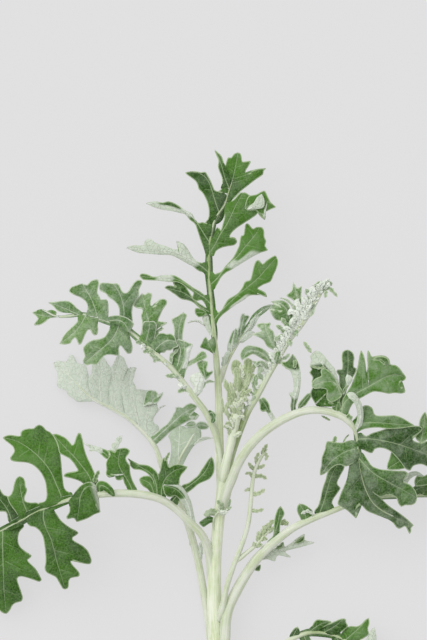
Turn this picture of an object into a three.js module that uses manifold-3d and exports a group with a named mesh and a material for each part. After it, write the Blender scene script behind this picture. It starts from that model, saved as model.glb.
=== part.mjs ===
// A cut stem of dusty miller (Jacobaea maritima) lying on a surface, leaves and side shoots still on it.
// Millimetres, +Z up, the surface at z = 0. The stem runs along +Y, its cut end at -Y.
// The tables below use the plant's own coordinates, and each mesh is placed at -SHIFT.
import * as THREE from "three";
import { mergeVertices } from "three/addons/utils/BufferGeometryUtils.js";
import Module from "manifold-3d";

const wasm = await Module();
wasm.setup();
const { Manifold, Mesh } = wasm;

const SHIFT = [-1.48, 69.035]; // middle of the box round the plant, in the plant's own coordinates
const BLADE = 0.85; // thickness of a blade
const SEAT = 0.32; // clearance that a stalk keeps from what it grows on
const VEIN_STEP = 6; // spacing of points along a vein
const STALK_STEP = 9; // spacing of sections along a stalk
const AXIS_STEP = 3; // spacing of the places on a main vein where lobes can start
const STEM_FORM = { sides: 10, flat: 1, step: 12 }; // section and spacing of sections of the stem
const NARROW = 5; // half lobes no wider than this have no row of points between vein and margin
const ARCH = 0.07; // rise of a half blade between vein and margin, per mm of width
const SWEEP = 0.55; // how far side veins lean towards the tip, per mm of distance from the main vein
const FALL = -0.12; // rise of a half blade from vein to margin, per mm of width, where none is given
const SNAP = 3.5; // a lobe that starts this near the main vein of its leaf starts on it
const FOOT_SHARE = 0.3; // half length of a lobe's foot on the main vein, as a share of its first width
const FOOT_LEAST = 0.7;
const FOOT_MOST = 3;
const FOOT_GAP = 0.3; // a foot shorter than this gets no row of its own
const LAST_FOOT = 0.97; // share of the vein that carries side veins
const LEAFLET_ROWS = [0.3, 0.72]; // where a plain leaflet has its margin points, as shares of its length
const STALK_FLAT = 0.72; // height of a stalk's section against its width
const STALK_LEAST = 0.42; // half height of the thinnest stalk
const TIP_CAP = 2; // length of the stem's tip that the clearance past its end overlaps
const BELOW = [600, 600, 60]; // size of the block below the surface, which nothing reaches into
const ROUGHNESS = 0.9; // felted leaves and stem are matt
const COLOURS = {
  stem: 0xc9d2b2,
  leaf_top: 0x7f9c74,
  leaf_top_side: 0xc3cdbb,
  leaf_upper_left: 0x6c8f5d,
  leaf_back_left: 0xb4c1ab,
  leaf_lower_left: 0x5f8650,
  shoot_upper_right: 0x8ca37f,
  shoot_centre: 0x9fae84,
  leaf_right: 0x64895a,
  leaf_lower_right: 0x5d8350,
  shoot_axil: 0xcbd3bf,
  leaf_stem_small: 0x8fa583,
  leaf_base_right: 0x66885a,
};

// ---------------------------------------------------------------- curves
const groups = (flat, n) => {
  const out = [];
  for (let i = 0; i < flat.length; i += n) out.push(flat.slice(i, i + n));
  return out;
};
const mix = (a, b, t) => a.map((v, i) => v + (b[i] - v) * t);
const flatDistance = (a, b) => Math.hypot(a[0] - b[0], a[1] - b[1]);
const distance = (a, b) => Math.hypot(a[0] - b[0], a[1] - b[1], a[2] - b[2]);

// Points along a smooth curve through the given ones, about `step` apart.
function smooth(points, step) {
  if (points.length < 3) {
    const n = Math.max(1, Math.round(distance(...points) / step));
    return Array.from({ length: n + 1 }, (_, i) => mix(...points, i / n));
  }
  const out = [];
  for (let i = 0; i + 1 < points.length; i++) {
    const before = points[Math.max(i - 1, 0)],
      after = points[Math.min(i + 2, points.length - 1)];
    const p = [before, points[i], points[i + 1], after];
    const n = Math.max(1, Math.round(distance(p[1], p[2]) / step));
    for (let j = 0; j < n; j++) {
      const t = j / n;
      out.push(
        p[1].map((_, k) => {
          const [a, b, c, d] = p.map((q) => q[k]);
          return b + 0.5 * t * (c - a + t * (2 * a - 5 * b + 4 * c - d + t * (3 * (b - c) + d - a)));
        }),
      );
    }
  }
  out.push(points[points.length - 1]);
  return out;
}
const lengths = (line) => {
  const out = [0];
  for (let i = 1; i < line.length; i++) out.push(out[i - 1] + flatDistance(line[i - 1], line[i]));
  return out;
};
function pointAt(line, along, s) {
  let i = 0;
  while (i < line.length - 2 && along[i + 1] < s) i++;
  const span = along[i + 1] - along[i] || 1;
  return mix(line[i], line[i + 1], Math.min(1, Math.max(0, (s - along[i]) / span)));
}
// The place along a line nearest to a point, seen from above: [length along it, distance].
function nearest(line, along, p) {
  let best = [0, Infinity];
  for (let i = 0; i + 1 < line.length; i++) {
    const [ax, ay] = line[i],
      dx = line[i + 1][0] - ax,
      dy = line[i + 1][1] - ay;
    const raw = ((p[0] - ax) * dx + (p[1] - ay) * dy) / (dx * dx + dy * dy || 1);
    const t = Math.min(1, Math.max(0, raw));
    const d = Math.hypot(ax + dx * t - p[0], ay + dy * t - p[1]);
    if (d < best[1]) best = [along[i] + t * (along[i + 1] - along[i]), d];
  }
  return best;
}

// ---------------------------------------------------------------- solids
function solidOf(points, triangles) {
  return new Manifold(
    new Mesh({
      numProp: 3,
      vertProperties: new Float32Array(points.flat()),
      triVerts: new Uint32Array(triangles.flat()),
    }),
  );
}
// A stalk: a tube through [x, y, z, half width], a little flatter than wide.
function stalk(line, { sides = 6, flat = STALK_FLAT, grow = 0, step = STALK_STEP } = {}) {
  const axis = smooth(line, step);
  const points = [],
    triangles = [];
  axis.forEach((p, i) => {
    const a = new THREE.Vector3(...axis[Math.max(0, i - 1)]),
      b = new THREE.Vector3(...axis[Math.min(axis.length - 1, i + 1)]);
    const along = b.sub(a).normalize();
    const side = new THREE.Vector3(along.y, -along.x, 0).normalize();
    const up = new THREE.Vector3().crossVectors(side, along);
    for (let k = 0; k < sides; k++) {
      const turn = (2 * Math.PI * (k + 0.5)) / sides;
      const w = (p[3] + grow) * Math.cos(turn),
        h = (Math.max(p[3] * flat, STALK_LEAST) + grow) * Math.sin(turn);
      points.push(new THREE.Vector3(...p).addScaledVector(side, w).addScaledVector(up, h).toArray());
    }
  });
  const ring = (i, k) => i * sides + (k % sides);
  for (let i = 0; i + 1 < axis.length; i++)
    for (let k = 0; k < sides; k++) {
      triangles.push([ring(i, k), ring(i + 1, k + 1), ring(i, k + 1)]);
      triangles.push([ring(i, k), ring(i + 1, k), ring(i + 1, k + 1)]);
    }
  const last = axis.length - 1;
  for (let k = 1; k + 1 < sides; k++) {
    triangles.push([ring(0, 0), ring(0, k), ring(0, k + 1)]);
    triangles.push([ring(last, 0), ring(last, k + 1), ring(last, k)]);
  }
  return solidOf(points, triangles);
}
// A sheet of triangles given the blade's thickness, split alike on both faces.
function thicken(points, triangles) {
  const normal = points.map(() => new THREE.Vector3());
  const v = points.map((p) => new THREE.Vector3(...p));
  for (const [a, b, c] of triangles) {
    const n = new THREE.Vector3().crossVectors(v[b].clone().sub(v[a]), v[c].clone().sub(v[a]));
    for (const i of [a, b, c]) normal[i].add(n);
  }
  for (const each of normal) each.setLength(BLADE / 2);
  const n = points.length,
    upper = v.map((p, i) => p.clone().add(normal[i]).toArray()),
    under = v.map((p, i) => p.clone().sub(normal[i]).toArray());
  const sides = ([a, b, c]) => [
    [a, b],
    [b, c],
    [c, a],
  ];
  const used = new Set(triangles.flatMap(sides).map(([a, b]) => a + "_" + b));
  const closed = triangles.flatMap(([a, b, c]) => [
    [a, b, c],
    [a + n, c + n, b + n],
  ]);
  for (const [a, b] of triangles.flatMap(sides))
    if (!used.has(b + "_" + a)) closed.push([b, a, a + n], [b, a + n, b + n]);
  return solidOf([...upper, ...under], closed);
}

// The two margins of a plain leaflet of half width `wide` along a vein.
function leafletMargins(vein, run, wide) {
  const total = run[run.length - 1];
  const points = (hand) =>
    LEAFLET_ROWS.map((share) => {
      const p = pointAt(vein, run, total * share),
        q = pointAt(vein, run, total * share + 0.5);
      const length = flatDistance(p, q) || 1;
      return [p[0] - ((q[1] - p[1]) / length) * hand, p[1] + ((q[0] - p[0]) / length) * hand];
    });
  return [points(wide), points(-wide)];
}
// A lobe as a thickened sheet: a vein, and a margin on each side of it, left and right as seen from its foot.
// v: x, y, z, ... along the vein; l and r: x, y, ... along the margins; s: rise of each side per mm from the
// vein; free: 1 for a lobe that starts off its leaf's main vein. Without margins it is a plain leaflet of
// half width w.
function lobe(rachis, along, d) {
  const ctrl = groups(d.v, 3);
  const at = nearest(rachis, along, ctrl[0]);
  if (at[1] < SNAP && !d.free) ctrl[0] = pointAt(rachis, along, at[0]).slice(0, 3);
  const vein = smooth(ctrl, VEIN_STEP),
    run = lengths(vein),
    total = run[run.length - 1];
  const sides = d.l ? [groups(d.l, 2), groups(d.r, 2)] : leafletMargins(vein, run, d.w);
  const firstWidth = flatDistance(sides[0][0], sides[1][0]);
  const foot = Math.min(FOOT_MOST, Math.max(FOOT_LEAST, FOOT_SHARE * firstWidth));
  const ends = [-foot, foot].map((by) => (d.free ? ctrl[0] : pointAt(rachis, along, at[0] + by).slice(0, 3)));
  const dir = [vein[1][0] - vein[0][0], vein[1][1] - vein[0][1]];
  const leftness = (p) => dir[0] * (p[1] - vein[0][1]) - dir[1] * (p[0] - vein[0][0]);
  if (leftness(ends[0]) < leftness(ends[1])) ends.reverse();
  const points = vein.map((p) => p.slice()),
    triangles = [],
    tip = vein.length - 1,
    spine = vein.map((_, i) => i);
  sides.forEach((margin, k) => {
    const left = k === 0,
      slope = d.s ? d.s[k] : FALL,
      inner = [],
      outer = [],
      params = [];
    const narrow = Math.max(...margin.map((m) => nearest(vein, run, m)[1])) < NARROW;
    let s = 0;
    const row = (m, station, wide) => {
      const p = pointAt(vein, run, station);
      params.push(station);
      if (!narrow) {
        points.push([(p[0] + m[0]) / 2, (p[1] + m[1]) / 2, (p[2] + m[2]) / 2 + ARCH * wide]);
        inner.push(points.length - 1);
      }
      points.push(m);
      outer.push(points.length - 1);
      if (narrow) inner.push(points.length - 1);
    };
    if (d.l && flatDistance(ends[k], vein[0]) > FOOT_GAP) row(ends[k], 0, 0);
    for (const m of margin) {
      const [on, wide] = nearest(vein, run, m);
      s = Math.min(Math.max(s, on - SWEEP * wide), total * LAST_FOOT);
      row([...m, pointAt(vein, run, s)[2] + slope * wide], s, wide);
    }
    inner.push(tip);
    outer.push(tip);
    params.push(total);
    const add = (a, b, c) => {
      if (a !== b && b !== c && c !== a) triangles.push(left ? [a, b, c] : [a, c, b]);
    };
    let i = 0,
      j = 0;
    while (i < spine.length - 1 || j < inner.length - 1) {
      const nextI = i < spine.length - 1 ? run[i + 1] : Infinity,
        nextJ = j < inner.length - 1 ? params[j + 1] : Infinity;
      if (nextI <= nextJ) {
        add(spine[i], spine[i + 1], inner[j]);
        i++;
      } else {
        add(spine[i], inner[j + 1], inner[j]);
        j++;
      }
    }
    for (let m = 0; m + 1 < inner.length; m++) {
      add(inner[m], inner[m + 1], outer[m + 1]);
      add(inner[m], outer[m + 1], outer[m]);
    }
  });
  return thicken(points, triangles);
}
// A leaf or a leafy shoot: its stalk, the lobes along it, and any smaller ones that grow from it.
function leaf({ stalk: line, lobes, more = [], sides }) {
  const rows = groups(line, 4);
  const axis = smooth(rows, AXIS_STEP),
    along = lengths(axis);
  const solids = [stalk(rows, { sides })];
  for (const d of lobes) solids.push(lobe(axis, along, d));
  for (const part of more) solids.push(leaf(part));
  return Manifold.union(solids);
}

// ---------------------------------------------------------------- the plant
const STEM = [
  1.5, -58, 3.3, 3.4, 1.5, -38, 4.2, 3.3, 1.4, -18, 6.4, 3.2, 1, 0, 9, 3.1, 0.3, 15, 11.5, 2.9,
  0.5, 30, 14.5, 2.6, 1.3, 40, 17.5, 2.4, 2.3, 50, 20.5, 2.3, 3.4, 59, 23, 2.3, 3.3, 65, 24.3, 2.2,
  2.5, 72, 25, 1.85, 2.2, 85, 25.6, 1.75, 2.1, 95, 25.8, 1.65, 1.8, 105, 26, 1.55,
];
const LEAVES = {
  leaf_top: {
    stalk: [
      1.75, 103.5, 26, 1.4, 1.2, 110, 26.3, 1.6, 0.8, 118, 26.6, 1.7, 0, 125, 27, 1.7,
      -1.3, 139, 28, 1.8, -1.7, 148, 28.5, 1.8, -1.7, 156.5, 29, 1.7, -0.4, 163, 29.3, 1.4,
      1.8, 168.7, 29.3, 1.2, 4.7, 174, 29, 1, 6.6, 179, 28.2, 0.7, 8, 184, 27, 0.5,
    ],
    lobes: [
      {
        v: [4.2, 173, 29, 6.6, 179, 28.2, 8, 184, 27.2, 9.2, 189, 25.8, 10, 195, 24],
        l: [2, 179.5, 3.5, 184, 1.5, 190, 0.3, 196, 4.7, 189.5, 5.5, 192.5, 8, 193.5],
        r: [10, 179.5, 14, 181.5, 20, 186.2, 20.5, 188.2, 12.5, 185.7, 14.5, 191],
      },
      {
        v: [2.2, 169.5, 29, 0.8, 175, 29.2, -1.5, 181, 28.8, -5, 185.2, 28, -9, 187.5, 27],
        l: [-3, 166.5, -2.2, 169, -1.8, 172, -3.5, 177, -6, 180.5, -7, 182.5, -11.5, 186.3],
        r: [2, 179.5, 1, 181.5, -2, 185.5, -3.5, 187.3],
      },
      {
        v: [-1.4, 157.5, 29, -5, 161, 30.5, -7.5, 167, 32, -11, 171, 32.5, -20, 174, 32, -27, 174.8, 30.5],
        l: [-6.3, 160, -9.5, 166, -13, 169.8, -20, 172.3, -24, 173.5],
        r: [-3.7, 163.2, -5.5, 168, -9.2, 172.6, -18, 175.8, -23, 175.8],
        s: [-0.5, 0.1],
      },
      {
        v: [
          -1.7, 149, 28.5, -7, 150.7, 30, -12, 153.3, 31, -18, 155.3, 31.5, -28, 156.3, 30,
          -34.5, 156.8, 28,
        ],
        l: [-6, 148.4, -14, 151.6, -20, 153.6, -30, 154.8],
        r: [-5, 152.6, -11, 155.7, -14.5, 159.3, -17, 157.5, -22, 158, -26, 160.3, -29, 158.2],
        s: [-0.45, 0.1],
      },
      {
        v: [
          -1.2, 137, 27.8, -7, 139.8, 28.7, -12, 142.7, 29.3, -16, 144.2, 29.5, -23, 145.3, 29,
          -29, 146, 27,
        ],
        l: [-7, 138, -12, 141, -17, 142.4, -24, 143.8],
        r: [-6, 141.8, -11, 144.8, -16, 146.5, -24, 147],
      },
      {
        v: [-0.7, 131, 27.4, -6, 133.7, 27.8, -10, 137, 28, -15, 139.8, 27.5, -19, 141, 26.5],
        l: [-7.5, 132.6, -13, 136.5, -16.5, 138.8],
        r: [-5, 135.5, -8, 139.3, -11.5, 141.4, -15, 144, -15.8, 142.2],
      },
      { v: [-0.4, 127.5, 27, -3.5, 129.8, 27.6, -6.5, 131, 27], w: 1.3 },
      {
        v: [-1.5, 154, 29, 2, 158.5, 31.5, 5, 165, 33.5, 8, 170, 34.3, 10, 174.5, 34, 11.5, 178.8, 32],
        l: [0.2, 159.3, 3.3, 165, 4.5, 172, 7, 176.5, 9.5, 178.2],
        r: [
          2.5, 155, 6, 157, 9, 158, 9.3, 160, 7, 161.8, 9.5, 166, 17, 170.3, 19, 171.3, 15, 175,
          13.5, 178.2,
        ],
      },
      {
        v: [9, 170.5, 34, 14, 173.5, 36, 19.5, 174.6, 36.6, 24.5, 173.2, 35],
        l: [14, 177, 20, 179.2, 23, 176.5],
        r: [14, 171.6, 18.4, 170.4, 20, 168.4, 22.6, 171.4],
        free: 1,
      },
      {
        v: [
          -1.6, 146, 28.4, 4, 148.6, 29.5, 8, 151.8, 30.3, 11.5, 154, 31, 14.5, 158, 31, 17, 162, 30.3,
          18.3, 165, 29,
        ],
        l: [3, 150.3, 7, 153.6, 9.5, 156, 11, 160.5, 12.5, 166.5, 15.3, 164.2],
        r: [5, 146.8, 8.5, 149.6, 12, 151.7, 17, 155, 21.5, 156.3, 20.5, 159.5, 20, 163.5],
      },
      {
        v: [
          -0.3, 130.5, 27.4, 4, 133.7, 28.7, 8, 136.8, 29.7, 10, 139, 30, 15, 143.3, 30.5, 20, 148, 30,
          24, 153.5, 28,
        ],
        l: [
          3.5, 135.3, 7, 138.4, 10.2, 141.5, 13, 143.5, 14, 146, 16, 150, 17.3, 152, 19.3, 150.4,
          21.3, 151.3,
        ],
        r: [
          5.5, 132.5, 9.5, 135.6, 12.5, 137.8, 16, 138.2, 21, 137.3, 19, 140.3, 22.5, 143, 25, 148.5,
          25.7, 151,
        ],
      },
    ],
  },
  leaf_top_side: {
    stalk: [
      1.9, 101.5, 23.5, 1.2, 4, 107, 20.5, 1.1, 7, 112, 19, 1.2, 10, 119, 18, 1.2, 14, 125, 17.5, 0.9,
      17, 130, 16.8, 0.6, 20, 132.3, 16, 0.4,
    ],
    lobes: [
      {
        v: [13, 123.5, 17.6, 17, 129.5, 17, 20, 132.2, 16, 24.2, 134, 14.5],
        l: [12.8, 127.5, 15.3, 131.2, 19, 134],
        r: [17, 126.5, 20.3, 129.6, 22, 131.8],
      },
      {
        v: [10, 119.5, 18, 10.6, 125, 19, 12.3, 130.3, 18.3],
        l: [8.4, 122, 9, 127.3, 10.8, 129.8],
        r: [12, 124, 13.6, 128.2],
      },
      {
        v: [7.5, 114, 18.8, 6.8, 118, 20, 8.8, 124, 20.2],
        l: [5, 114.5, 5.8, 120.5, 7.3, 124],
        r: [8.5, 117.5, 9.5, 121.5],
      },
      {
        v: [8.5, 116, 18.5, 12.5, 118.8, 19, 16.5, 121.3, 17.8],
        l: [11.5, 120, 14.5, 121.8],
        r: [12.8, 116.8, 16, 118.8],
      },
      { v: [4.5, 108, 20.5, 4.5, 112, 21.5, 6.5, 115.5, 21.7], w: 1.4 },
    ],
  },
  leaf_upper_left: {
    stalk: [
      2.3, 79, 26.5, 1.9, 0, 86, 30, 1.8, -2.3, 91, 32, 1.75, -6, 97, 34, 1.7, -14, 108, 37, 1.7,
      -19, 113, 38.4, 1.7, -25, 117.5, 39.3, 1.7, -34, 124, 40.3, 1.7, -42, 127.5, 40, 1.6,
      -52, 130, 38.3, 1.3, -60, 130.3, 36, 1, -66, 129.3, 34, 0.7, -70, 129.8, 32.3, 0.4,
    ],
    lobes: [
      {
        v: [-61, 130.3, 35.7, -66, 129.3, 34, -69, 129.8, 32.8, -73, 130.5, 31],
        l: [-63.5, 127.8, -67.5, 127.3, -71, 126.5, -70.5, 129],
        r: [-63.5, 132, -66.5, 131.2, -68, 132.4, -70, 131.4],
      },
      {
        v: [-54.5, 130.1, 37.5, -57.5, 132.3, 37, -61, 134.2, 35.8, -66, 135.5, 34],
        l: [-57.5, 130.4, -61.5, 132.3, -64, 133.3],
        r: [-54.5, 133, -58, 135.9, -61.5, 135.7],
      },
      {
        v: [-47.5, 129, 39, -49.3, 134, 38.8, -51, 138.5, 37.8, -52, 142.5, 36],
        l: [-52, 131.5, -54.5, 135.3, -57, 140, -53.6, 139.3],
        r: [-44, 130.5, -42, 136, -44.3, 139, -46, 143.6, -49, 140.4],
      },
      {
        v: [-36, 125.5, 40.3, -35.5, 130, 41, -36, 135.5, 40.5, -37, 139, 39.6, -38, 142.5, 38.3],
        l: [-39, 128.5, -39.5, 133, -41.3, 137.3, -45, 142, -40.3, 140.8],
        r: [-33, 127.5, -32.6, 132, -32.8, 136.6, -30, 143.5, -35, 139.8],
      },
      {
        v: [-24, 117, 39, -24.3, 123, 40, -25, 128.5, 40, -26, 134, 39, -27, 138.5, 37.8],
        l: [-28, 121.5, -29.3, 127.6, -31, 133.5, -28.6, 134.8],
        r: [-21.4, 120, -21.6, 127, -21.4, 130.5, -19, 136, -23.6, 133.8],
      },
      {
        v: [-13, 106.8, 36.8, -12.8, 114, 38, -13.6, 121, 38.3, -12.5, 127, 37.6, -11, 131, 36.4],
        l: [-15.6, 112, -16.6, 119.5, -17.6, 124.6, -16.6, 128.2, -13.4, 129],
        r: [-10.5, 113, -10.3, 120, -9.4, 126],
      },
      {
        v: [-42, 127.4, 40, -39, 129.2, 42.5, -35.5, 128, 43.8, -32.8, 124.6, 43],
        l: [-39.5, 131, -35, 130.2, -32.8, 127.4],
        r: [-38.8, 126.6, -36, 124.6],
      },
      {
        v: [-30, 121.2, 39.8, -28, 124.8, 41.8, -25.8, 126.7, 43, -22.8, 125.6, 42.6],
        l: [-30, 124.5, -27.6, 127.9, -24.6, 127.9],
        r: [-26.8, 122.4, -24.2, 123.6],
      },
      {
        v: [-23, 116, 39, -20.4, 119.6, 41.6, -17, 120.4, 43, -14.4, 117.6, 42.3],
        l: [-23, 120.5, -19.6, 122.6, -15.4, 121.6],
        r: [-21, 117, -17.8, 117.2],
      },
      {
        v: [-15, 109, 37.3, -13, 113.8, 39.6, -10.4, 117.4, 41.2, -7.8, 118.8, 40.6],
        l: [-15, 114, -12.4, 118.8],
        r: [-11, 113, -8.2, 115.8],
      },
      {
        v: [-51, 129.7, 38.5, -53, 126, 38.3, -56, 122.4, 37, -61, 119, 34.5],
        l: [-49, 127.3, -47, 122.3, -50.6, 121.7, -54, 118.5, -56.5, 120.3],
        r: [-55, 128.3, -58, 124.5, -60.6, 122],
      },
      {
        v: [-37.5, 125.6, 40.2, -39.5, 121, 40, -43.5, 117.4, 39, -48, 114.4, 37.4, -52, 110.5, 35],
        l: [-34, 122, -32.5, 116.4, -35, 116, -37, 118.2, -38.2, 114.4, -43, 113.8, -47, 110],
        r: [-42, 123, -46, 120.4, -51, 118.6, -52.3, 115],
      },
      {
        v: [-11.5, 104.8, 36.3, -8.6, 108.3, 37, -6.2, 112, 36.6, -2.8, 115.4, 35.5],
        l: [-11.4, 108.8, -8, 112.6, -5, 115.6],
        r: [-8, 106.4, -5.6, 108.6, -3.4, 112],
      },
      {
        v: [-7.2, 98.8, 34.4, -5.6, 102.6, 36, -6.4, 107.8, 36.8],
        l: [-8.3, 102, -8, 106.5],
        r: [-3.4, 101.5, -2.6, 105.4, -0.3, 107.8, -3.4, 108],
      },
      { v: [-6.3, 97.6, 34.2, -4.4, 101.4, 35, -2.4, 103.4, 34.8, 0.6, 103.3, 33.6], w: 0.7 },
      { v: [-1.9, 90.3, 31.8, -0.4, 91.2, 33.2, 0.3, 89, 33.6, -0.7, 86.8, 33.4], w: 1 },
    ],
  },
  leaf_back_left: {
    stalk: [
      1, -27, 4.6, 1.7, -0.4, -14, 4.2, 1.6, -1.4, 0, 5, 1.5, -2.9, 12, 6, 1.5, -4.4, 21, 7, 1.5,
      -6, 30, 8, 1.5, -8.5, 40, 9, 1.5, -11, 48, 9.8, 1.5, -15, 58, 10.5, 1.5, -19, 66, 10.8, 1.5,
      -21, 70, 10.6, 1.5, -22, 76, 10.2, 1.5, -25, 81, 9.8, 1.5, -30, 85.3, 9.2, 1.5,
      -34, 89.5, 8.6, 1.4, -40, 93, 7.8, 1.4, -47, 97, 6.8, 1.3, -53, 101.3, 5.4, 1.1,
      -58, 106, 2.6, 0.7, -61, 108.5, 1, 0.45,
    ],
    lobes: [
      {
        v: [-50, 99, 6.2, -53, 101.3, 5.4, -58, 106, 2.6, -63.5, 110, -0.2],
        l: [-54, 95.8, -58, 97, -62, 101, -62.5, 105, -64.5, 107.5],
        r: [-50.6, 104, -52.5, 111.5, -57.5, 113.5, -60, 111],
      },
      {
        v: [-43.5, 95, 7.4, -45, 101, 6.6, -46.2, 107, 5, -46.5, 112.8, 1.8],
        l: [-48.5, 98.6, -50.2, 104, -48.5, 110],
        r: [-41.6, 96.5, -42.2, 104, -42.7, 110, -43.8, 113],
      },
      {
        v: [-38, 92, 8, -39.3, 99, 7.6, -40.2, 106, 5.8, -40, 113.2, 2.2],
        l: [-41.2, 95.6, -42.3, 103.8, -42.9, 109.9],
        r: [-35.6, 94, -36.2, 101, -35.6, 107.2, -36, 112.2],
      },
      {
        v: [-31.5, 86.7, 9, -33, 94, 9, -34.3, 100.5, 7.6, -33.8, 108.6, 4],
        l: [-35.2, 92, -36.1, 99, -36, 104.6],
        r: [-28.5, 90, -30.4, 97.6, -32, 104, -31, 108.3],
      },
      {
        v: [-25.8, 81.8, 9.7, -25.6, 88, 10, -26, 94, 9, -28.4, 99.6, 6.6],
        l: [-28.2, 86, -29.8, 92, -31, 98.4],
        r: [-22.6, 84.5, -24, 87.5, -22.6, 92, -23.6, 96],
      },
      {
        v: [-24.4, 80.4, 9.4, -24.4, 88, 7, -24.7, 94, 5.6, -24.8, 99.8, 4.6],
        l: [-27, 88, -28, 94, -27.2, 98.6],
        r: [-22.4, 87, -21.8, 93, -22.6, 98],
      },
      {
        v: [-22.2, 77, 10.2, -19.6, 82.6, 11.5, -15.5, 87.6, 12.6, -11.4, 91.2, 12.3, -6.2, 93.4, 10.6],
        l: [-22, 82.6, -17.4, 88, -15.5, 92.5, -13, 93.6, -9, 94.6],
        r: [-18.6, 80.4, -15, 84.8, -11, 88, -5.5, 89.8, -7.6, 91.8],
      },
      {
        v: [-18.7, 65.4, 10.8, -15, 70, 12.4, -12.8, 77, 13.6, -11, 85.6, 12.3],
        l: [-18.6, 70, -18, 77, -18.2, 82.2, -15, 84.8],
        r: [-14, 66.4, -10, 74, -5.2, 80.6, -5.6, 84, -9, 86.5],
      },
      {
        v: [-13.4, 73, 13, -9, 77.2, 13.4, -5, 80.6, 12.8, 0, 80.4, 11.4],
        l: [-9.5, 79, -5.2, 82],
        r: [-8.6, 75.5, -4.6, 79.4],
        free: 1,
      },
      {
        v: [-12.4, 80, 13.2, -9, 84, 12.4, -5, 86, 11.4, -1.8, 85.2, 10.4],
        l: [-9.6, 86, -5.6, 87.2],
        r: [-8, 82.2, -4, 83.6],
        free: 1,
      },
      { v: [-6.5, 32.5, 8.2, -8.6, 38, 9.2, -9.4, 44, 9.6], w: 1.1 },
      { v: [-6.1, 30.5, 8.1, -5.2, 34.4, 9.4, -5.3, 38.6, 9.8], w: 1 },
    ],
  },
  leaf_lower_left: {
    stalk: [
      0.8, 24, 13.6, 1.9, -1, 32, 17, 1.8, -2.4, 37.4, 20, 1.75, -5, 42.6, 22.5, 1.7,
      -10, 48, 25.2, 1.65, -16, 54, 28.4, 1.6, -22, 58, 31, 1.6, -30, 60, 33, 1.6, -38, 60.3, 34, 1.6,
      -46, 59.5, 34, 1.6, -52, 58.5, 33, 1.55, -58, 57, 31, 1.5, -66, 54, 28, 1.4, -72, 51, 25.3, 1.3,
      -80, 47, 21, 1.2, -88, 42.5, 16, 1, -97, 37.5, 10.5, 0.8, -103, 34.3, 7.4, 0.5,
    ],
    lobes: [
      {
        v: [-60, 56.3, 30.5, -63, 62, 32, -65.5, 67.4, 33, -69.5, 73, 32.8, -75.5, 78, 31, -84, 80.6, 27.5],
        l: [-66.5, 56.8, -67.5, 64, -70, 68, -73, 70.5, -80.5, 71.5, -81.5, 73.5, -80.7, 77],
        r: [-58.2, 60, -60, 64, -61, 72, -63, 80, -65, 83, -69, 86, -72, 84.5, -76.5, 84.2, -80.6, 82.6],
      },
      {
        v: [-46.5, 59.4, 34, -48.5, 65, 35.5, -52, 70, 36, -56, 75, 35, -60, 78.6, 34, -64, 82.5, 32],
        l: [-51, 62.2, -52.6, 64, -59.5, 66.5, -55, 69, -56.2, 71.6, -61, 74.5, -62.6, 78.6],
        r: [-45, 62.5, -47, 67.5, -51, 76, -53.5, 83, -55.7, 78.4, -58, 80.5],
      },
      {
        v: [-44.6, 59.6, 34, -47.6, 63.8, 38.6, -52, 61.6, 41.4, -54.6, 56, 40.6, -54.5, 47.8, 37],
        l: [-46.4, 60.6, -48.4, 58, -45, 52, -50, 49.5],
        r: [-48.6, 65.2, -53.4, 62.6, -57, 57, -58.5, 49.5],
      },
      {
        v: [-43.6, 59.8, 34, -44.2, 62.6, 37.4, -41.6, 61.6, 38.5, -39.2, 58.2, 37],
        l: [-45.2, 64.6, -42.6, 64.2, -39.6, 61.4],
        r: [-43.2, 61.2, -42, 59.4],
      },
      {
        v: [-74, 50, 24.5, -76, 56, 25.6, -77.4, 61, 25.4, -77.6, 65.5, 24],
        l: [-77.6, 53, -79.6, 58.6, -79, 63],
        r: [-72, 54.5, -74.2, 59, -75.2, 63.6],
      },
      {
        v: [-83, 45.3, 19.3, -86, 52, 20.5, -89, 58.5, 19.5, -93.5, 64, 16.5],
        l: [-88.5, 49.4, -92, 54, -97, 58.6, -94.6, 60.6],
        r: [-81.6, 50, -83.6, 55, -84.6, 60, -88.6, 62.6],
      },
      {
        v: [-92.5, 40.2, 13.2, -97, 46, 13.6, -103, 50, 11.5, -109.5, 52.5, 8],
        l: [-98, 42, -103.5, 45, -109, 48],
        r: [-91.6, 45.6, -96, 50.6, -101, 55, -104, 53.4],
      },
      {
        v: [-67, 53.4, 27.6, -66.8, 46, 28, -65.2, 40, 27, -63.2, 32, 24, -60, 20.2, 18],
        l: [
          -63.6, 50.8, -62, 48.5, -57.5, 45, -54, 43, -56.5, 40.5, -52, 37.5, -49, 33.5, -49.6, 30.4,
          -57, 32.2, -54, 27.5, -53.8, 25.5, -57.4, 24.4, -58.5, 20.4,
        ],
        r: [-70.2, 51, -73, 46.2, -71, 45.3, -68.5, 42, -67.2, 34, -67.5, 28, -66.5, 26.8, -63, 24.6],
      },
      {
        v: [-84, 44.8, 18.5, -84, 38, 18.4, -84, 28, 16, -83.8, 18, 12, -83.6, 9.8, 7.5],
        l: [
          -79.4, 46, -78.3, 42, -75, 35.5, -73.2, 34, -74.5, 32, -71, 28.5, -69.2, 23.8, -78.5, 24.8,
          -76.8, 16, -80, 14.3,
        ],
        r: [
          -88.4, 40.4, -90.5, 36, -94, 33.5, -91.4, 30, -96, 26.4, -97.4, 21.5, -89.6, 23, -91, 15.5,
          -87.4, 13.4,
        ],
      },
      {
        v: [-95.5, 38.4, 11.4, -98.4, 31.6, 10, -100.6, 24.6, 7.6, -101.6, 18, 4.6],
        l: [-94.6, 33.6, -95.4, 27.4, -94, 22, -98.4, 20.6],
        r: [-101.2, 34, -104.6, 28, -106.6, 22, -103.4, 20.4],
      },
      {
        v: [-98, 37, 10, -103, 34.3, 8, -108, 32, 5.6, -114, 30.6, 3],
        l: [-103, 30.8, -108, 28, -112.6, 26.6, -111, 29],
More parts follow.
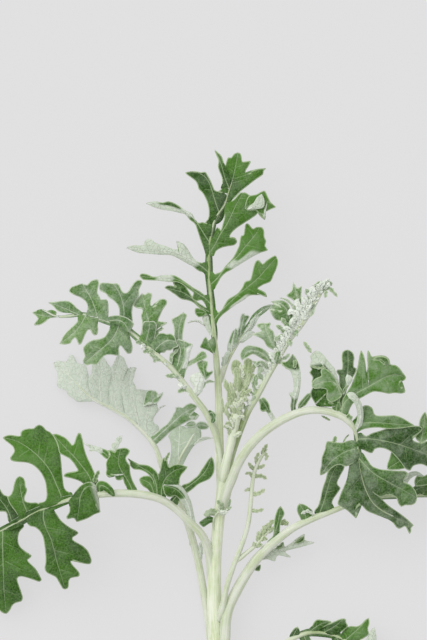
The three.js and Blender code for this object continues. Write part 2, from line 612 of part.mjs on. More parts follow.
        r: [-103.4, 37.8, -108.4, 37, -113.6, 36.4, -111, 33],
      },
      {
        v: [-33, 60.2, 33.5, -35, 65, 36, -38, 70, 38, -39.6, 76.6, 36.5],
        l: [-37.6, 62.6, -41.2, 66.6, -42.6, 72, -42, 76.2],
        r: [-32.6, 63.4, -33.6, 69, -35, 74, -37, 77],
      },
      { v: [-38.6, 71, 37.6, -42.5, 75.4, 37, -47, 77.8, 36, -51.4, 79, 34.5], w: 1.3, free: 1 },
      { v: [-38.6, 74, 37, -37.3, 78.6, 36.4, -35, 82.2, 35], w: 1.2, free: 1 },
      {
        v: [-24.5, 58.8, 31.6, -26.2, 63.5, 34, -29, 68, 34.8, -33, 72.2, 33.4],
        l: [-28, 62.4, -31.4, 67, -33.6, 70],
        r: [-23.4, 64, -25.2, 68.4, -29.4, 72],
      },
      {
        v: [-22.4, 58.1, 31.3, -19.4, 63, 33.4, -16, 67, 33.5, -10.4, 69, 31.5],
        l: [-22.6, 63.4, -20.6, 68.4, -18, 73, -15.4, 69.8],
        r: [-18.4, 60.8, -14.6, 63.6, -13.6, 65.6],
      },
      {
        v: [-17, 55, 28.6, -12.6, 59.3, 30.4, -7, 63.7, 31, -2.6, 68, 31, -1, 73.6, 30],
        l: [-14.4, 60.2, -9.6, 64, -6, 67, -3.6, 70.6],
        r: [-11.4, 57.4, -6.4, 61.6, -1.4, 64.6, 0.3, 67.4],
      },
      {
        v: [-9, 47, 24.7, -9.8, 52.6, 27.6, -12.4, 57.6, 30.6, -16.6, 61.4, 33, -20.4, 62, 33.6],
        l: [-11.6, 52, -14.6, 56.8, -18.6, 60],
        r: [-8.2, 51.5, -9.8, 57.5, -13, 61.4, -17, 63.4],
      },
    ],
  },
  shoot_upper_right: {
    sides: 5,
    stalk: [
      4, 62, 21.4, 1.5, 6, 70, 22.4, 1.5, 8.8, 79, 25.2, 1.5, 11.4, 86, 28, 1.45, 14, 92, 30.6, 1.4,
      17, 97, 32.6, 1.35, 19.7, 102, 34.4, 1.3, 21.6, 106, 35.6, 1.3, 24, 111, 36.8, 1.3,
      26.6, 116, 37.8, 1.3, 29.4, 121, 38.6, 1.3, 32, 125, 39.2, 1.3, 35, 129, 39.6, 1.3,
      38, 133, 39.8, 1.3, 41, 137, 39.6, 1.3, 43.4, 140.6, 39, 1.2, 45, 141.6, 38.6, 0.8,
    ],
    lobes: [
      {
        v: [23, 109.5, 36.4, 20.6, 113.8, 39, 16.6, 115.8, 41, 13.2, 115.2, 42, 11.3, 112, 41],
        l: [18.2, 113.2, 15.6, 114.4, 13.2, 113],
        r: [20.4, 116, 17, 117.5, 13, 117.7, 10.6, 114.6],
      },
      { v: [20.6, 104, 35, 18.2, 106.2, 37.4, 18.4, 109.4, 38, 15.6, 111.6, 37.4], w: 1.1 },
      { v: [22, 107, 36, 20.8, 109.6, 38.6, 18.6, 111.4, 39.4, 16.6, 109.4, 39], w: 0.9 },
      { v: [18.2, 99.4, 33.6, 16.4, 102.6, 35.4, 17.6, 106.6, 36], w: 1.2 },
      {
        v: [26, 115, 37.7, 24, 119.4, 39.4, 21.8, 123, 40, 20, 127, 39],
        l: [21.6, 117.6, 19.4, 120.6, 15, 122.6, 18, 124.2, 17, 125.8, 18.2, 127],
        r: [25.2, 121, 23.6, 124.8, 21.6, 125.4, 22.8, 127.2],
      },
      {
        v: [31, 123.6, 39, 30.4, 128.6, 41.4, 28.6, 132.8, 42.4, 26, 134.9, 42.2, 22.8, 135.2, 41],
        l: [28, 127.6, 24.6, 128.2, 22.5, 132.2, 26.8, 131.4, 26.8, 133.2],
        r: [31, 131, 29.8, 134.2, 27, 135.9],
      },
      { v: [29.4, 121, 38.6, 27.8, 124, 40.4, 24.7, 126, 40.4], w: 1.1 },
      {
        v: [34.4, 128.2, 39.5, 33.8, 133, 41, 33, 138, 41.4, 31.8, 143, 40.4],
        l: [32.3, 131.5, 32.3, 135.4, 29, 137.8, 31, 139.6],
        r: [35.4, 133, 34.8, 137, 35, 141.6, 33.4, 140.6],
      },
      { v: [33, 126.4, 39.3, 32.4, 132, 42.6, 29.6, 135.6, 43.6, 26.4, 136.8, 43], w: 0.6 },
      { v: [38.4, 133.4, 39.8, 38.4, 137, 41.4, 36.6, 140.6, 41.4], w: 1.2 },
      { v: [36.4, 131, 39.7, 38.6, 134.6, 42, 40, 132.4, 43, 38.4, 129.2, 42.6], w: 0.7 },
      { v: [28.6, 119.4, 38.4, 26.4, 121.4, 40.6, 24.2, 119.6, 41], w: 1.2 },
      { v: [31.4, 124, 39.1, 28.6, 126.6, 41.6, 27, 129, 42], w: 1.1 },
      { v: [33, 126.3, 39.3, 32.2, 129.6, 41.8, 34.6, 131.6, 42.6], w: 1.1 },
      { v: [30, 122, 38.8, 31.6, 124.4, 41, 33.4, 121.6, 41.6], w: 1.1 },
      { v: [27.4, 117.4, 38, 29.6, 119.8, 40.2, 30.8, 117.6, 40.6], w: 1.2 },
      { v: [41.6, 138, 39.5, 40.4, 141, 41, 43, 143.2, 41], w: 1.1 },
      { v: [43.6, 140.8, 39, 46.2, 140.6, 40.4, 49.3, 137.2, 39.4], w: 0.8 },
      { v: [42.8, 139.8, 39.2, 44.6, 139.4, 41, 44.4, 136.8, 41], w: 0.8 },
      { v: [44, 141.2, 38.8, 45.8, 143.2, 39.2, 47, 141.6, 39.2], w: 0.9 },
      { v: [24.4, 111.8, 37, 27.2, 111, 37.6, 30.2, 108.2, 36.4], w: 0.8 },
      { v: [25.2, 113.4, 37.2, 28, 112.6, 38.2, 30.4, 114.6, 37.8], w: 0.8 },
      { v: [23, 109, 36.4, 25, 112.6, 39.2, 25.6, 116, 40], w: 1.2 },
    ],
  },
  shoot_centre: {
    sides: 5,
    stalk: [
      3.2, 62, 24.4, 1.5, 4.6, 69, 27.2, 1.5, 5.9, 75, 29, 1.6, 7, 81, 30.4, 1.6, 7.9, 87, 31.6, 1.5,
      9, 94, 32.8, 1.4, 10.6, 100, 33.6, 1.2, 12.4, 105, 34, 0.9, 13.4, 109, 34, 0.6,
    ],
    lobes: [
      {
        v: [10.8, 100.6, 33.6, 12.8, 105, 34.4, 13.6, 109, 34.6, 14, 113.2, 33.6],
        l: [11, 103.4, 11.6, 108, 12.2, 111.6],
        r: [14.6, 102, 15.3, 106, 17.6, 107.2, 15.6, 109, 15.6, 112],
      },
      {
        v: [9.4, 95.4, 33, 9.4, 100.6, 35.6, 9.4, 105.4, 36.4, 8.2, 109.2, 35.6],
        l: [8, 99, 8, 103, 7.2, 107.6],
        r: [11.2, 100.8, 11, 105, 10, 108],
      },
      {
        v: [11.6, 102.8, 33.8, 10.6, 106.4, 33, 9.6, 112.4, 32],
        l: [8.8, 106, 7.4, 109.4],
        r: [11, 108, 11.2, 110.4],
      },
      { v: [8.4, 90, 32.2, 6.6, 94, 34.6, 6, 98.6, 35.2], w: 1 },
      { v: [7.9, 87, 31.6, 5.8, 89.6, 33.8, 5, 93.4, 34.6, 6, 95.6, 34.4], w: 0.8 },
      { v: [8.6, 91.6, 32.4, 7.4, 97, 35.2, 5.2, 101.4, 35.8, 4.6, 104.6, 35], w: 1.3 },
      { v: [8.8, 92.6, 32.6, 10.6, 95.4, 35, 13.4, 96.8, 35], w: 1 },
      { v: [9.6, 96.4, 33.2, 12.2, 98.6, 35, 15.2, 100.4, 35.2], w: 1 },
      { v: [7.4, 83.6, 31, 5, 86, 32.4, 3.6, 85, 32.8], w: 0.6 },
      { v: [8.2, 88.6, 32, 4, 92, 33.6, 3.4, 97.4, 34.4], w: 0.7 },
      { v: [10.2, 98.6, 33.4, 12.8, 101.4, 35.6, 14, 104.4, 35.8], w: 1 },
      { v: [9.4, 95, 33, 7.6, 100, 36.4, 6.6, 103.4, 36.4], w: 0.8 },
    ],
  },
  leaf_right: {
    stalk: [
      4.2, 56.5, 23.4, 2, 5.4, 62, 27.4, 1.95, 6.6, 67, 30.7, 1.95, 9, 72.5, 33.4, 1.9,
      13, 79, 36, 1.85, 19, 85, 39, 1.8, 25, 89, 42, 1.7, 32, 92.5, 44, 1.7, 38, 94, 45.5, 1.65,
      44, 94, 46, 1.65, 49, 92, 46, 1.65, 53, 89.5, 45.6, 1.6, 55.8, 86, 44.8, 1.6, 56.5, 80, 43, 1.5,
      57, 75, 41.5, 1.5, 58, 69, 39.5, 1.4, 60, 61, 36, 1.2, 63, 54, 32.4, 0.9, 67, 50.5, 30, 0.7,
      71, 49, 28, 0.45,
    ],
    lobes: [
      {
        v: [
          50.6, 91.2, 46, 51.8, 96, 48.4, 56, 98.7, 49.6, 62, 101.8, 49.6, 67, 105, 48.4, 72, 107, 46.4,
          76.3, 105.4, 44,
        ],
        l: [
          49.6, 95, 51.4, 99.4, 54.6, 102, 56.6, 107, 58.3, 116, 60.5, 111.6, 61.2, 116.4, 63, 113,
          67, 114.4, 70, 112.6, 71.6, 111.4, 74.8, 108.2,
        ],
        r: [53, 95, 57.6, 97, 62, 99.4, 69, 99.2, 75, 98.9, 76.1, 100, 73.3, 102.3],
        s: [-0.02, -0.1],
      },
      {
        v: [50.4, 91.4, 46, 51.4, 97, 46, 52.6, 103, 46.2, 53.3, 109, 45.6, 53.4, 116, 43.5],
        l: [49.2, 97, 50.2, 102, 49.2, 107.4, 51.3, 109.4, 51, 115],
        r: [53, 97, 54.6, 102, 56.7, 109, 55.8, 109.8, 56, 113.3, 54.8, 115.6],
        s: [-0.1, -0.1],
      },
      { v: [51.6, 97.2, 48.6, 53.4, 101, 51, 54.3, 104.2, 51.4, 53, 106.2, 51], w: 1.1, free: 1 },
      {
        v: [
          49.4, 92, 46, 49.4, 97, 48.6, 47.6, 103, 49.6, 44, 109, 49, 40.6, 113.5, 47.6,
          37.5, 117, 46.4, 35.3, 119.4, 45.4,
        ],
        l: [
          46.4, 95.4, 43.4, 96.4, 40, 94.8, 38.7, 99.8, 39.4, 103.6, 38, 108, 38.8, 112.6, 38, 115,
          36.4, 117,
        ],
        r: [51, 98, 49, 106, 46, 111.5, 43, 115.6, 40, 116.6, 38.2, 117.6],
        s: [-0.12, -0.1],
      },
      {
        v: [56.2, 84, 44.4, 58.2, 88.6, 47.6, 57.7, 94, 50.2, 55.6, 97.4, 51.4, 53, 98.9, 51],
        l: [56.4, 88.6, 56, 93.4, 54, 96.6],
        r: [59.2, 88.6, 59.2, 94, 57.8, 97.6, 55, 99.6],
      },
      {
        v: [55.7, 86.6, 45, 59, 87.8, 46.4, 66, 87.8, 46, 74, 86.4, 43.6, 80, 86, 41.2],
        l: [57.6, 91, 59.3, 93.5, 62, 94.3, 64, 93.3, 65, 90.3, 73, 89.9, 77, 88.2],
        r: [59.6, 85.8, 67, 85.6, 74, 84.6],
      },
      {
        v: [56.5, 80.5, 43.2, 62, 80.8, 43.8, 68, 79.8, 43.2, 74, 78, 41.8, 82, 75, 38.6, 91, 72, 34],
        l: [60, 82.4, 66, 84, 72, 85.8, 82, 86.2, 83.5, 85, 79, 81, 86, 80.6, 89.6, 76.6],
        r: [60.6, 78, 64, 77, 68, 77, 74, 72, 77, 70, 82.6, 71.6, 86, 68.6, 89.6, 69.8],
      },
      {
        v: [57.6, 71.2, 40.3, 63, 66.8, 40.4, 69, 63.5, 39.4, 75, 61, 37.6, 81.5, 57.5, 34],
        l: [60, 72, 64, 70.4, 70, 70, 76, 68.6, 77.5, 67, 75.5, 63.6, 80, 61.2],
        r: [60.4, 65.6, 61.4, 60.4, 66, 56, 73, 55.5, 76, 54, 80, 54.8],
      },
      {
        v: [58.9, 65, 37.4, 60, 61, 35.8, 63, 54, 32.4, 67, 50.5, 30, 75, 48, 26.6, 79.4, 45.6, 24.6],
        l: [61.6, 62.6, 65, 57.6, 70, 53.4, 76, 50],
        r: [58.6, 57, 60, 53, 63.5, 49.5, 68, 47, 74.5, 44.3, 77, 45.4, 79, 42],
      },
      {
        v: [58.8, 65.8, 38.2, 56, 61.4, 38.4, 53, 57, 37.6, 49.7, 54.2, 36],
        l: [59.4, 60, 59, 55, 57, 49.5, 53.5, 52.3],
        r: [55.5, 67, 53.6, 63.6, 51, 60, 49.6, 56],
      },
      {
        v: [57, 76.4, 41.8, 51.6, 75, 43, 46.4, 71.4, 42.6, 42.8, 66, 40],
        l: [54.6, 72.8, 52, 69.8, 49, 70.4, 45.4, 66.4],
        r: [55, 80, 50, 79.8, 45.2, 79, 43.2, 74.5, 42.2, 69],
      },
      {
        v: [31, 92.2, 43.8, 32, 97, 46.4, 33.3, 103, 47.4, 33, 109, 47, 31.6, 114.2, 45],
        l: [30, 97, 31, 103, 30.6, 107.8, 27, 111.4, 29, 113.6],
        r: [34, 97, 35.4, 103, 34.9, 109],
      },
      {
        v: [23.3, 88.2, 41.2, 22.2, 92, 43, 20.6, 95.4, 44, 17.4, 97.4, 43.4],
        l: [21.4, 91.2, 18.4, 92.4],
        r: [23, 92.6, 22, 95.6, 19.6, 97.8],
      },
      { v: [34, 93.2, 44.6, 35.6, 96.2, 46.4, 38.6, 98.4, 46.6], w: 1.4 },
      { v: [57.6, 71.4, 40.3, 52.6, 73, 38, 49.4, 76, 36, 47.4, 80.6, 33.6], w: 2.2 },
      { v: [80, 76, 39, 82.4, 82, 38, 84.2, 91.4, 36], w: 1.7, free: 1 },
    ],
  },
  leaf_lower_right: {
    stalk: [
      2.2, -24, 8.6, 1.9, 3.8, -12, 11.6, 1.9, 4.8, -2, 13, 1.9, 5.2, 5, 13.6, 1.9, 6.8, 13, 14.4, 1.9,
      9.2, 20, 15.4, 1.85, 13.2, 27.6, 16.6, 1.8, 18.6, 34, 18, 1.75, 24, 40, 19.4, 1.7,
      32, 45.5, 20.6, 1.65, 40, 49.4, 21.4, 1.6, 48, 52.5, 21.6, 1.6, 54, 54.2, 21, 1.5,
      66, 57, 18.6, 1.4, 75, 57.6, 15.8, 1.3, 85.5, 57.6, 11.6, 1.1, 95, 57, 7.2, 0.8,
      101, 56.7, 4.6, 0.5,
    ],
    lobes: [
      {
        v: [24.3, 41, 19.6, 25.3, 46, 20.4, 26.3, 50, 20.6, 26.7, 53.4, 20],
        l: [24.2, 45, 25.2, 50.2],
        r: [26.2, 44.5, 27, 47.6, 28.5, 50.4],
      },
      {
        v: [38.6, 48.8, 21.3, 36.6, 51.4, 23.2, 34.4, 54.4, 23.4],
        l: [35, 49.4, 33.5, 51.6],
        r: [40.4, 51, 37.6, 54],
      },
      {
        v: [42, 50.2, 21.5, 44.5, 56, 22.8, 46, 62, 23.2, 48, 67.4, 22.6, 50.6, 71, 21],
        l: [42.8, 56, 43.5, 61, 44, 65.5, 46.3, 69.4],
        r: [46.6, 54.4, 48.6, 58, 51, 61, 49.8, 62.8, 51.6, 66, 53, 69.8],
      },
      {
        v: [57, 55, 20.6, 59.6, 60.4, 21.6, 63, 64.4, 20.8, 68, 66.6, 18.4],
        l: [57.4, 60, 60, 64.8, 64, 67.8],
        r: [62.4, 60.4, 66.6, 63.4, 69.4, 64.4],
      },
      {
        v: [69.6, 57.3, 17.6, 73.4, 62, 18.4, 79, 64.4, 17.2, 86, 64.6, 14.6],
        l: [70.6, 61.4, 75, 65.4, 80.6, 66.6],
        r: [75, 59.8, 79.4, 61.8, 85, 62],
      },
      {
        v: [83, 57.6, 12.6, 88, 62, 13, 94, 66, 11, 101, 68, 7.6],
        l: [85.4, 62.8, 90.6, 67.4, 96.6, 70],
        r: [88.4, 59.4, 94.4, 62.4, 100.4, 65],
      },
      {
        v: [88, 57.5, 10.4, 92.6, 52, 9.6, 97, 47, 7, 100.6, 41, 3.4],
        l: [93.8, 54, 99.6, 49.6, 104, 44.4],
        r: [88.8, 52.4, 92.4, 46.6, 96, 41.6],
      },
      {
        v: [94, 57.1, 7.6, 100, 56.8, 5.2, 105, 56, 3, 111, 54, -0.2],
        l: [98.4, 61, 104.6, 61.4, 109.4, 59.6, 108.6, 57],
        r: [98.4, 53.4, 103.6, 51, 108.4, 49.6, 108.6, 52.4],
      },
      {
        v: [15.4, 30.4, 17.2, 21, 33.4, 14, 27, 35.8, 13, 33, 38, 13, 40.4, 38.6, 12.4],
        l: [22.6, 35.4, 25.5, 36.8, 28, 38.9, 28.6, 37, 31.4, 38.6, 33.6, 40.4, 36.6, 42, 36.4, 39.8],
        r: [21.6, 32, 24.6, 31.2, 25.6, 33.4, 31, 32.7, 28.6, 34.8, 35, 36.8],
      },
      { v: [14, 28.8, 16.6, 16, 28.2, 14.6, 18.6, 29.4, 13.8], w: 1 },
    ],
  },
  shoot_axil: {
    sides: 5,
    stalk: [
      2.2, 7, 12.6, 1.2, 3.9, 14, 15.8, 1.15, 5.3, 21, 18, 1.1, 8.2, 30, 20.4, 1.05, 11.3, 38, 22, 1,
      13.8, 46, 23.4, 0.95, 14.8, 54, 24.4, 0.9, 15.5, 62, 25, 0.85, 16.6, 68, 25.4, 0.8,
      19, 73, 25.6, 0.7, 21.6, 76.4, 25.4, 0.5,
    ],
    lobes: [
      { v: [14.7, 52, 24.3, 17.6, 51.6, 25, 20, 52.4, 24.6], w: 0.8 },
      { v: [15.4, 58.6, 24.8, 17.6, 58.4, 25.6, 20.6, 60.4, 25.4], w: 0.9 },
      { v: [15.4, 60, 24.8, 14.2, 60.4, 25.6, 12.4, 59.6, 25.6], w: 0.7 },
      { v: [16.2, 65, 25.2, 18.6, 65.8, 26, 21.4, 64.4, 25.6], w: 0.9 },
      { v: [16, 64.6, 25.2, 14.6, 66.8, 26, 12.6, 66.4, 25.8], w: 0.7 },
      { v: [17, 69, 25.4, 19, 69.2, 26.2, 20.6, 70.2, 26], w: 0.8 },
      { v: [16.6, 68, 25.4, 15, 69.4, 26.4, 14, 71, 26.2], w: 0.8 },
      { v: [20.4, 75, 25.5, 21.4, 73.4, 26.2, 20.8, 71.8, 26], w: 0.7 },
      { v: [19.6, 73.8, 25.6, 20, 76, 26.4, 21.6, 78.4, 26.2], w: 0.8 },
      { v: [17.4, 70.2, 25.4, 17, 72.6, 26.4, 18.2, 75, 26.2], w: 0.8 },
    ],
    more: [
      {
        stalk: [
          8.4, 30.6, 20.5, 0.8, 13, 34.6, 22, 0.75, 17, 38, 23, 0.7, 19.6, 41, 23.4, 0.7,
          21.4, 44.4, 23.6, 0.6, 23.4, 47, 23.4, 0.4,
        ],
        lobes: [
          { v: [19.2, 40.4, 23.3, 18.2, 42, 24, 18.2, 44.4, 23.8], w: 1 },
          { v: [20.4, 42.6, 23.5, 19.6, 45, 24.2, 20.4, 47.6, 24], w: 1.2 },
          { v: [21, 43.6, 23.6, 23, 43.4, 24.4, 24.4, 44.8, 24.2], w: 1.1 },
          { v: [19.6, 41, 23.4, 21.4, 40.2, 24.2, 22.6, 41, 24], w: 0.9 },
          { v: [22, 45.4, 23.6, 21.8, 47.6, 24.2, 23, 49.2, 24], w: 1.1 },
          { v: [22.4, 45.8, 23.6, 24.4, 46.6, 24.2, 25.6, 48.6, 23.8], w: 1.2 },
        ],
      },
    ],
  },
  leaf_stem_small: {
    sides: 5,
    stalk: [
      0.8, 40, 18.6, 0.8, -0.9, 43.6, 20.6, 0.75, -0.6, 47, 23, 0.7, 0.8, 50.2, 24.8, 0.65,
      3, 51.8, 26, 0.6, 5, 52, 26.4, 0.5, 6.6, 53.2, 26.4, 0.4,
    ],
    lobes: [
      {
        v: [-0.6, 47.4, 23.2, -3, 48.2, 24.4, -5.8, 46.8, 24],
        l: [-2.6, 46.6, -4.2, 45.2],
        r: [-1.4, 49.2, -4, 49.6],
      },
      {
        v: [0.4, 49.6, 24.4, -1.2, 51.6, 25.6, -4, 50.2, 25.4],
        l: [-1.2, 50, -3.6, 49.6],
        r: [-0.8, 53.2, -3, 52.2],
      },
      { v: [2.4, 51.4, 25.7, 2.6, 54, 26.8, 1, 56.2, 26.6], w: 1.1 },
      { v: [5.4, 52.2, 26.4, 6.2, 54.4, 27.2, 6.8, 56.6, 27], w: 0.7 },
      { v: [4.4, 52, 26.3, 5, 50.6, 27, 7, 52, 27], w: 0.8 },
    ],
  },
  leaf_base_right: {
    stalk: [
      2.2, -46, 6.2, 1.7, 5.4, -38, 9.6, 1.7, 10, -29, 11.4, 1.65, 16, -18, 12.6, 1.6,
      23, -8, 13.2, 1.5, 30, -1, 13.2, 1.4, 36, 2.4, 12.8, 1.4, 41, 3.7, 12.4, 1.3, 47, 3, 12, 1.2,
      53, 1.2, 11.4, 1.1, 60, 0.6, 10.6, 1, 68, 0.4, 9.6, 0.8, 76, -1, 8.2, 0.6, 82, -3, 6.8, 0.4,
    ],
    lobes: [
      {
        v: [30, -1, 13.2, 31.6, 1.6, 14, 33.6, 4.6, 13.8],
        l: [29.6, 1.4, 31.4, 4],
        r: [33.4, 0.6, 34.4, 3],
      },
      {
        v: [38, 3.1, 12.6, 40.4, 5.4, 13.2, 42, 7.6, 12.8],
        l: [37.4, 4, 39.6, 6.4],
        r: [42.6, 5.2, 46.8, 6.4, 44.4, 7.6],
      },
      {
        v: [44, 3.6, 12.2, 48.6, 5.4, 13.2, 52.6, 8.2, 13],
        l: [46, 5.6, 50, 7.6],
        r: [48.6, 3.6, 52.6, 4.8, 53.4, 6.2],
      },
      {
        v: [52, 1.4, 11.4, 56.6, 3.6, 12.4, 62.4, 7.9, 12],
        l: [53.4, 4.2, 57.4, 5.2, 60, 6.8],
        r: [57.4, 1.6, 61.8, 3.4, 61.6, 5.4],
      },
      { v: [62, 0.6, 10.4, 65, 4, 11.2, 66, 7.6, 10.8], w: 1 },
      {
        v: [66, 0.5, 9.9, 71, 3.6, 10.4, 77, 5.4, 9.4],
        l: [69.4, 4.4, 74.4, 6.4],
        r: [72.4, 1.8, 77.6, 3.2],
      },
      {
        v: [24, -7, 13.2, 27, -12, 12.4, 33, -15.4, 10.4, 40, -17, 7.6],
        l: [28.4, -9, 34.4, -12, 39.4, -14],
        r: [24.8, -12.4, 30.4, -17.6, 37, -19.6],
      },
      {
        v: [36, 2.4, 12.8, 39, -4, 12, 44.4, -9.4, 10, 51, -13.4, 7],
        l: [40.4, -0.6, 46, -4.6, 53.4, -8.6, 50.4, -10.4],
        r: [36.4, -4, 40.4, -10.6, 45.4, -15.6, 47.4, -12.6],
      },
      {
        v: [49, 2.4, 11.8, 53, -3.4, 11, 58.4, -8.6, 9, 65.4, -12.4, 6],
        l: [54.4, 0, 60.4, -3.6, 66.6, -7.4, 63.6, -9.6],
        r: [50.4, -4, 54.4, -9.8, 59.4, -15, 61.4, -11.6],
      },
      {
        v: [64, 0.6, 10.2, 68, -3.6, 9.4, 74, -8.4, 7.4, 79.4, -13, 4.8],
        l: [68.6, -1, 75, -4.6, 80.4, -9],
        r: [64.8, -4, 69.4, -9.6, 75, -14],
      },
      {
        v: [75, -0.8, 8.4, 81, -2.6, 7, 86, -4.6, 5.4, 91, -7.6, 3.4],
        l: [79.6, 1, 85.4, 0.4, 90.4, -2.4],
        r: [79.6, -5.4, 84.4, -8.6, 89, -11],
      },
      { v: [17, -16.6, 12.7, 14.6, -11, 13, 14, -6, 12.6], w: 1.8 },
    ],
  },
};

// ---------------------------------------------------------------- assembly
// The stem, and the same stem grown by SEAT all round and past its tip, cut out of all that grows on it.
const stemRows = groups(STEM, 4);
const stem = stalk(stemRows, STEM_FORM);
const topRow = stemRows[stemRows.length - 1];
const clearOfStem = Manifold.union([
  stalk(stemRows, { ...STEM_FORM, grow: SEAT }),
  stalk(
    [-TIP_CAP, SEAT].map((by) => [topRow[0], topRow[1] + by, topRow[2], topRow[3]]),
    { ...STEM_FORM, grow: SEAT },
  ),
]);
const below = new THREE.BoxGeometry(...BELOW).translate(0, 0, -BELOW[2] / 2);
below.deleteAttribute("normal");
below.deleteAttribute("uv");
const merged = mergeVertices(below);
const surface = new Manifold(
  new Mesh({
    numProp: 3,
    vertProperties: merged.getAttribute("position").array,
    triVerts: new Uint32Array(merged.index.array),
  }),
);
const solids = { stem: stem.subtract(surface) };
// What the cut leaves of a leaf inside the stem is a small loose scrap, and only the leaf is kept.
for (const [name, data] of Object.entries(LEAVES)) {
  const bodies = leaf(data).subtract(clearOfStem).subtract(surface).decompose();
  solids[name] = bodies.sort((a, b) => b.volume() - a.volume())[0];
}

const root = new THREE.Group();
for (const [name, solid] of Object.entries(solids)) {
  const mesh = solid.getMesh(),
    n = mesh.numProp;
  const points = new Float32Array(mesh.numVert * 3);
  for (let i = 0; i < mesh.numVert; i++) points.set(mesh.vertProperties.subarray(i * n, i * n + 3), i * 3);
  const geometry = new THREE.BufferGeometry()
    .setAttribute("position", new THREE.BufferAttribute(points, 3))
    .setIndex(new THREE.BufferAttribute(mesh.triVerts, 1));
  const made = new THREE.Mesh(
    geometry,
    new THREE.MeshStandardMaterial({ color: COLOURS[name], roughness: ROUGHNESS, metalness: 0 }),
  );
  made.name = name;
  made.position.set(-SHIFT[0], -SHIFT[1], 0);
  root.add(made);
}
export default root;
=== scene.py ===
"""A cut stem of dusty miller lying on a pale surface, seen from straight above.

The tables are in millimetres, in the plant's own coordinates: x to the right, y up along the stem, z over
the surface. place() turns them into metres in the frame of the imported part.
"""

import math
import random

import bpy
import numpy as np
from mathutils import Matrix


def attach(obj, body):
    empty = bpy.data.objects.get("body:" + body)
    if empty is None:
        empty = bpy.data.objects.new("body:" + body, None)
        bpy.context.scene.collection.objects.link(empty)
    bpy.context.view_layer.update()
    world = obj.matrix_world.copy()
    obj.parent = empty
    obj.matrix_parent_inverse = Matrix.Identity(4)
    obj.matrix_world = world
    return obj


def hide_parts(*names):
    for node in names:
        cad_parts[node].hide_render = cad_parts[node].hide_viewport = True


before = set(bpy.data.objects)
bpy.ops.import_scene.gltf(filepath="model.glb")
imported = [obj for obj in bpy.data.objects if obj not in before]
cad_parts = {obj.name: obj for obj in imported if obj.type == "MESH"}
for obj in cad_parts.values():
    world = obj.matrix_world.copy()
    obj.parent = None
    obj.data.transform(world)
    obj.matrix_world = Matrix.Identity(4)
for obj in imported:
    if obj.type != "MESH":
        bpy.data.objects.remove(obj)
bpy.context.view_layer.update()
bpy.ops.object.select_all(action="DESELECT")

MM = 0.001
SHIFT = np.array([-1.48, 69.035, 0.0])  # middle of the part's box, in the plant's own coordinates
LEFT, BOTH, RIGHT = 1, 0, -1  # sides of a blade or a shoot, seen from its foot

# ------------------------------------------------------------------ sizes, in millimetres
# Blades
VEIN_STEP = 1.2  # spacing of points along a blade's main vein
MARGIN_STEP = 0.75  # spacing of points along a blade's margin
SMALL_MARGIN_STEP = 0.5  # the same for a small leaflet
COLUMNS = np.array([0.07, 0.2, 0.36, 0.53, 0.7, 0.85, 0.95, 1.0])  # from vein to margin, as shares
ARCH = 0.07  # rise of a half blade between vein and margin, per mm of width
SWEEP = 0.55  # how far side veins lean towards the tip, per mm of distance from the main vein
FALL = -0.12  # rise of a half blade from vein to margin, per mm of width, where none is given
SNAP = 3.5  # a lobe that starts this near the main vein of its leaf starts on it
FOOT_NEAR = 6.0  # a margin that starts this near the main vein meets it opposite its first point
FOOT_MOST = 9.0  # most that a lobe's foot reaches along the main vein, each way
FOOT_LEAST = 2.0  # the same where the margin starts farther away
FOOT_BLEND = 3.0  # length along the margin over which a lobe leaves the main vein's height
LAST_FOOT = 0.97  # share of the vein that carries side veins
FULL_WIDTH = 6.0  # half width from which a blade swells and waves in full
TOOTH_WIDTH = 1.6  # least half width where a tooth is looked for
TOOTH_GAP = 2.0  # least distance between two teeth, along the margin
SWELL_REACH = 2.4  # a blade swells in full this far from its teeth's veins
SINK = 0.3  # how far the margin sinks along a tooth's vein
WAVE_SHARES, WAVE_LENGTHS = (0.6, 0.4), (1.9, 1.1)  # two waves that ripple a margin together
FOOT_LINE, TIP_LINE = 0.24, 0.13  # half width of a lobe's main vein at its foot and at its tip
NO_TWIG = 9.0  # distance from a side vein that stands for none near
NO_RIM = 2.0  # added distance from the margin that hides its pale rim
WING_STEP = 0.6  # spacing of points along the wings of a main vein
WING_START = 1.2  # extra width of the wings, up to their "broad" length
WING_COLUMNS = np.array([0, 0.15, 0.35, 0.6, 0.85, 1.0])  # from main vein to the wing's margin, as shares
ZONE_BLUR, INNER_BLUR = 0.03, 0.06  # half width of a turned zone's ends and inner edge, as shares
THICK = 0.36  # thickness of a blade
THIN_MARGIN = 0.62  # thickness of the margin, as a share of THICK
MARGIN_WIDTH = 0.9  # width over which the blade thins towards its margin
LIFT = 0.05  # lowest height of any blade over the surface
VEIN_RIDGE, VEIN_GROOVE = 0.28, 0.12  # height of a main vein over the felted face, depth in the green one
TWIG_RIDGE, TWIG_GROOVE = 0.1, 0.06  # the same for the veins that lead to the teeth
VEIN_TAPER, TWIG_WIDTH = 0.9, 0.35  # 1 / half width of the one's ridge, and half width of the other's
# Stalks and the stem
AXIS_STEP = 1.5  # spacing of points along a stalk
STALK_SIDES = 14
STEM_STEP = 1.2
STEM_SIDES = 48
STREAK_STRETCH = 0.08  # marks on a stalk are 1 / this times as long as wide
PITH_INSET, PITH_DEPTH = 0.5, 0.1  # ring of skin round the pith of the cut end, and how far the pith sinks
# Picture
PICTURE_MIDDLE = (0, 128)  # point under the camera
PICTURE_HEIGHT = 256  # what the camera sees from the bottom of the picture to its top ...
PICTURE_LEVEL = 25  # ... at this height over the surface
CAMERA_HEIGHT = 3000
SENSOR = 36


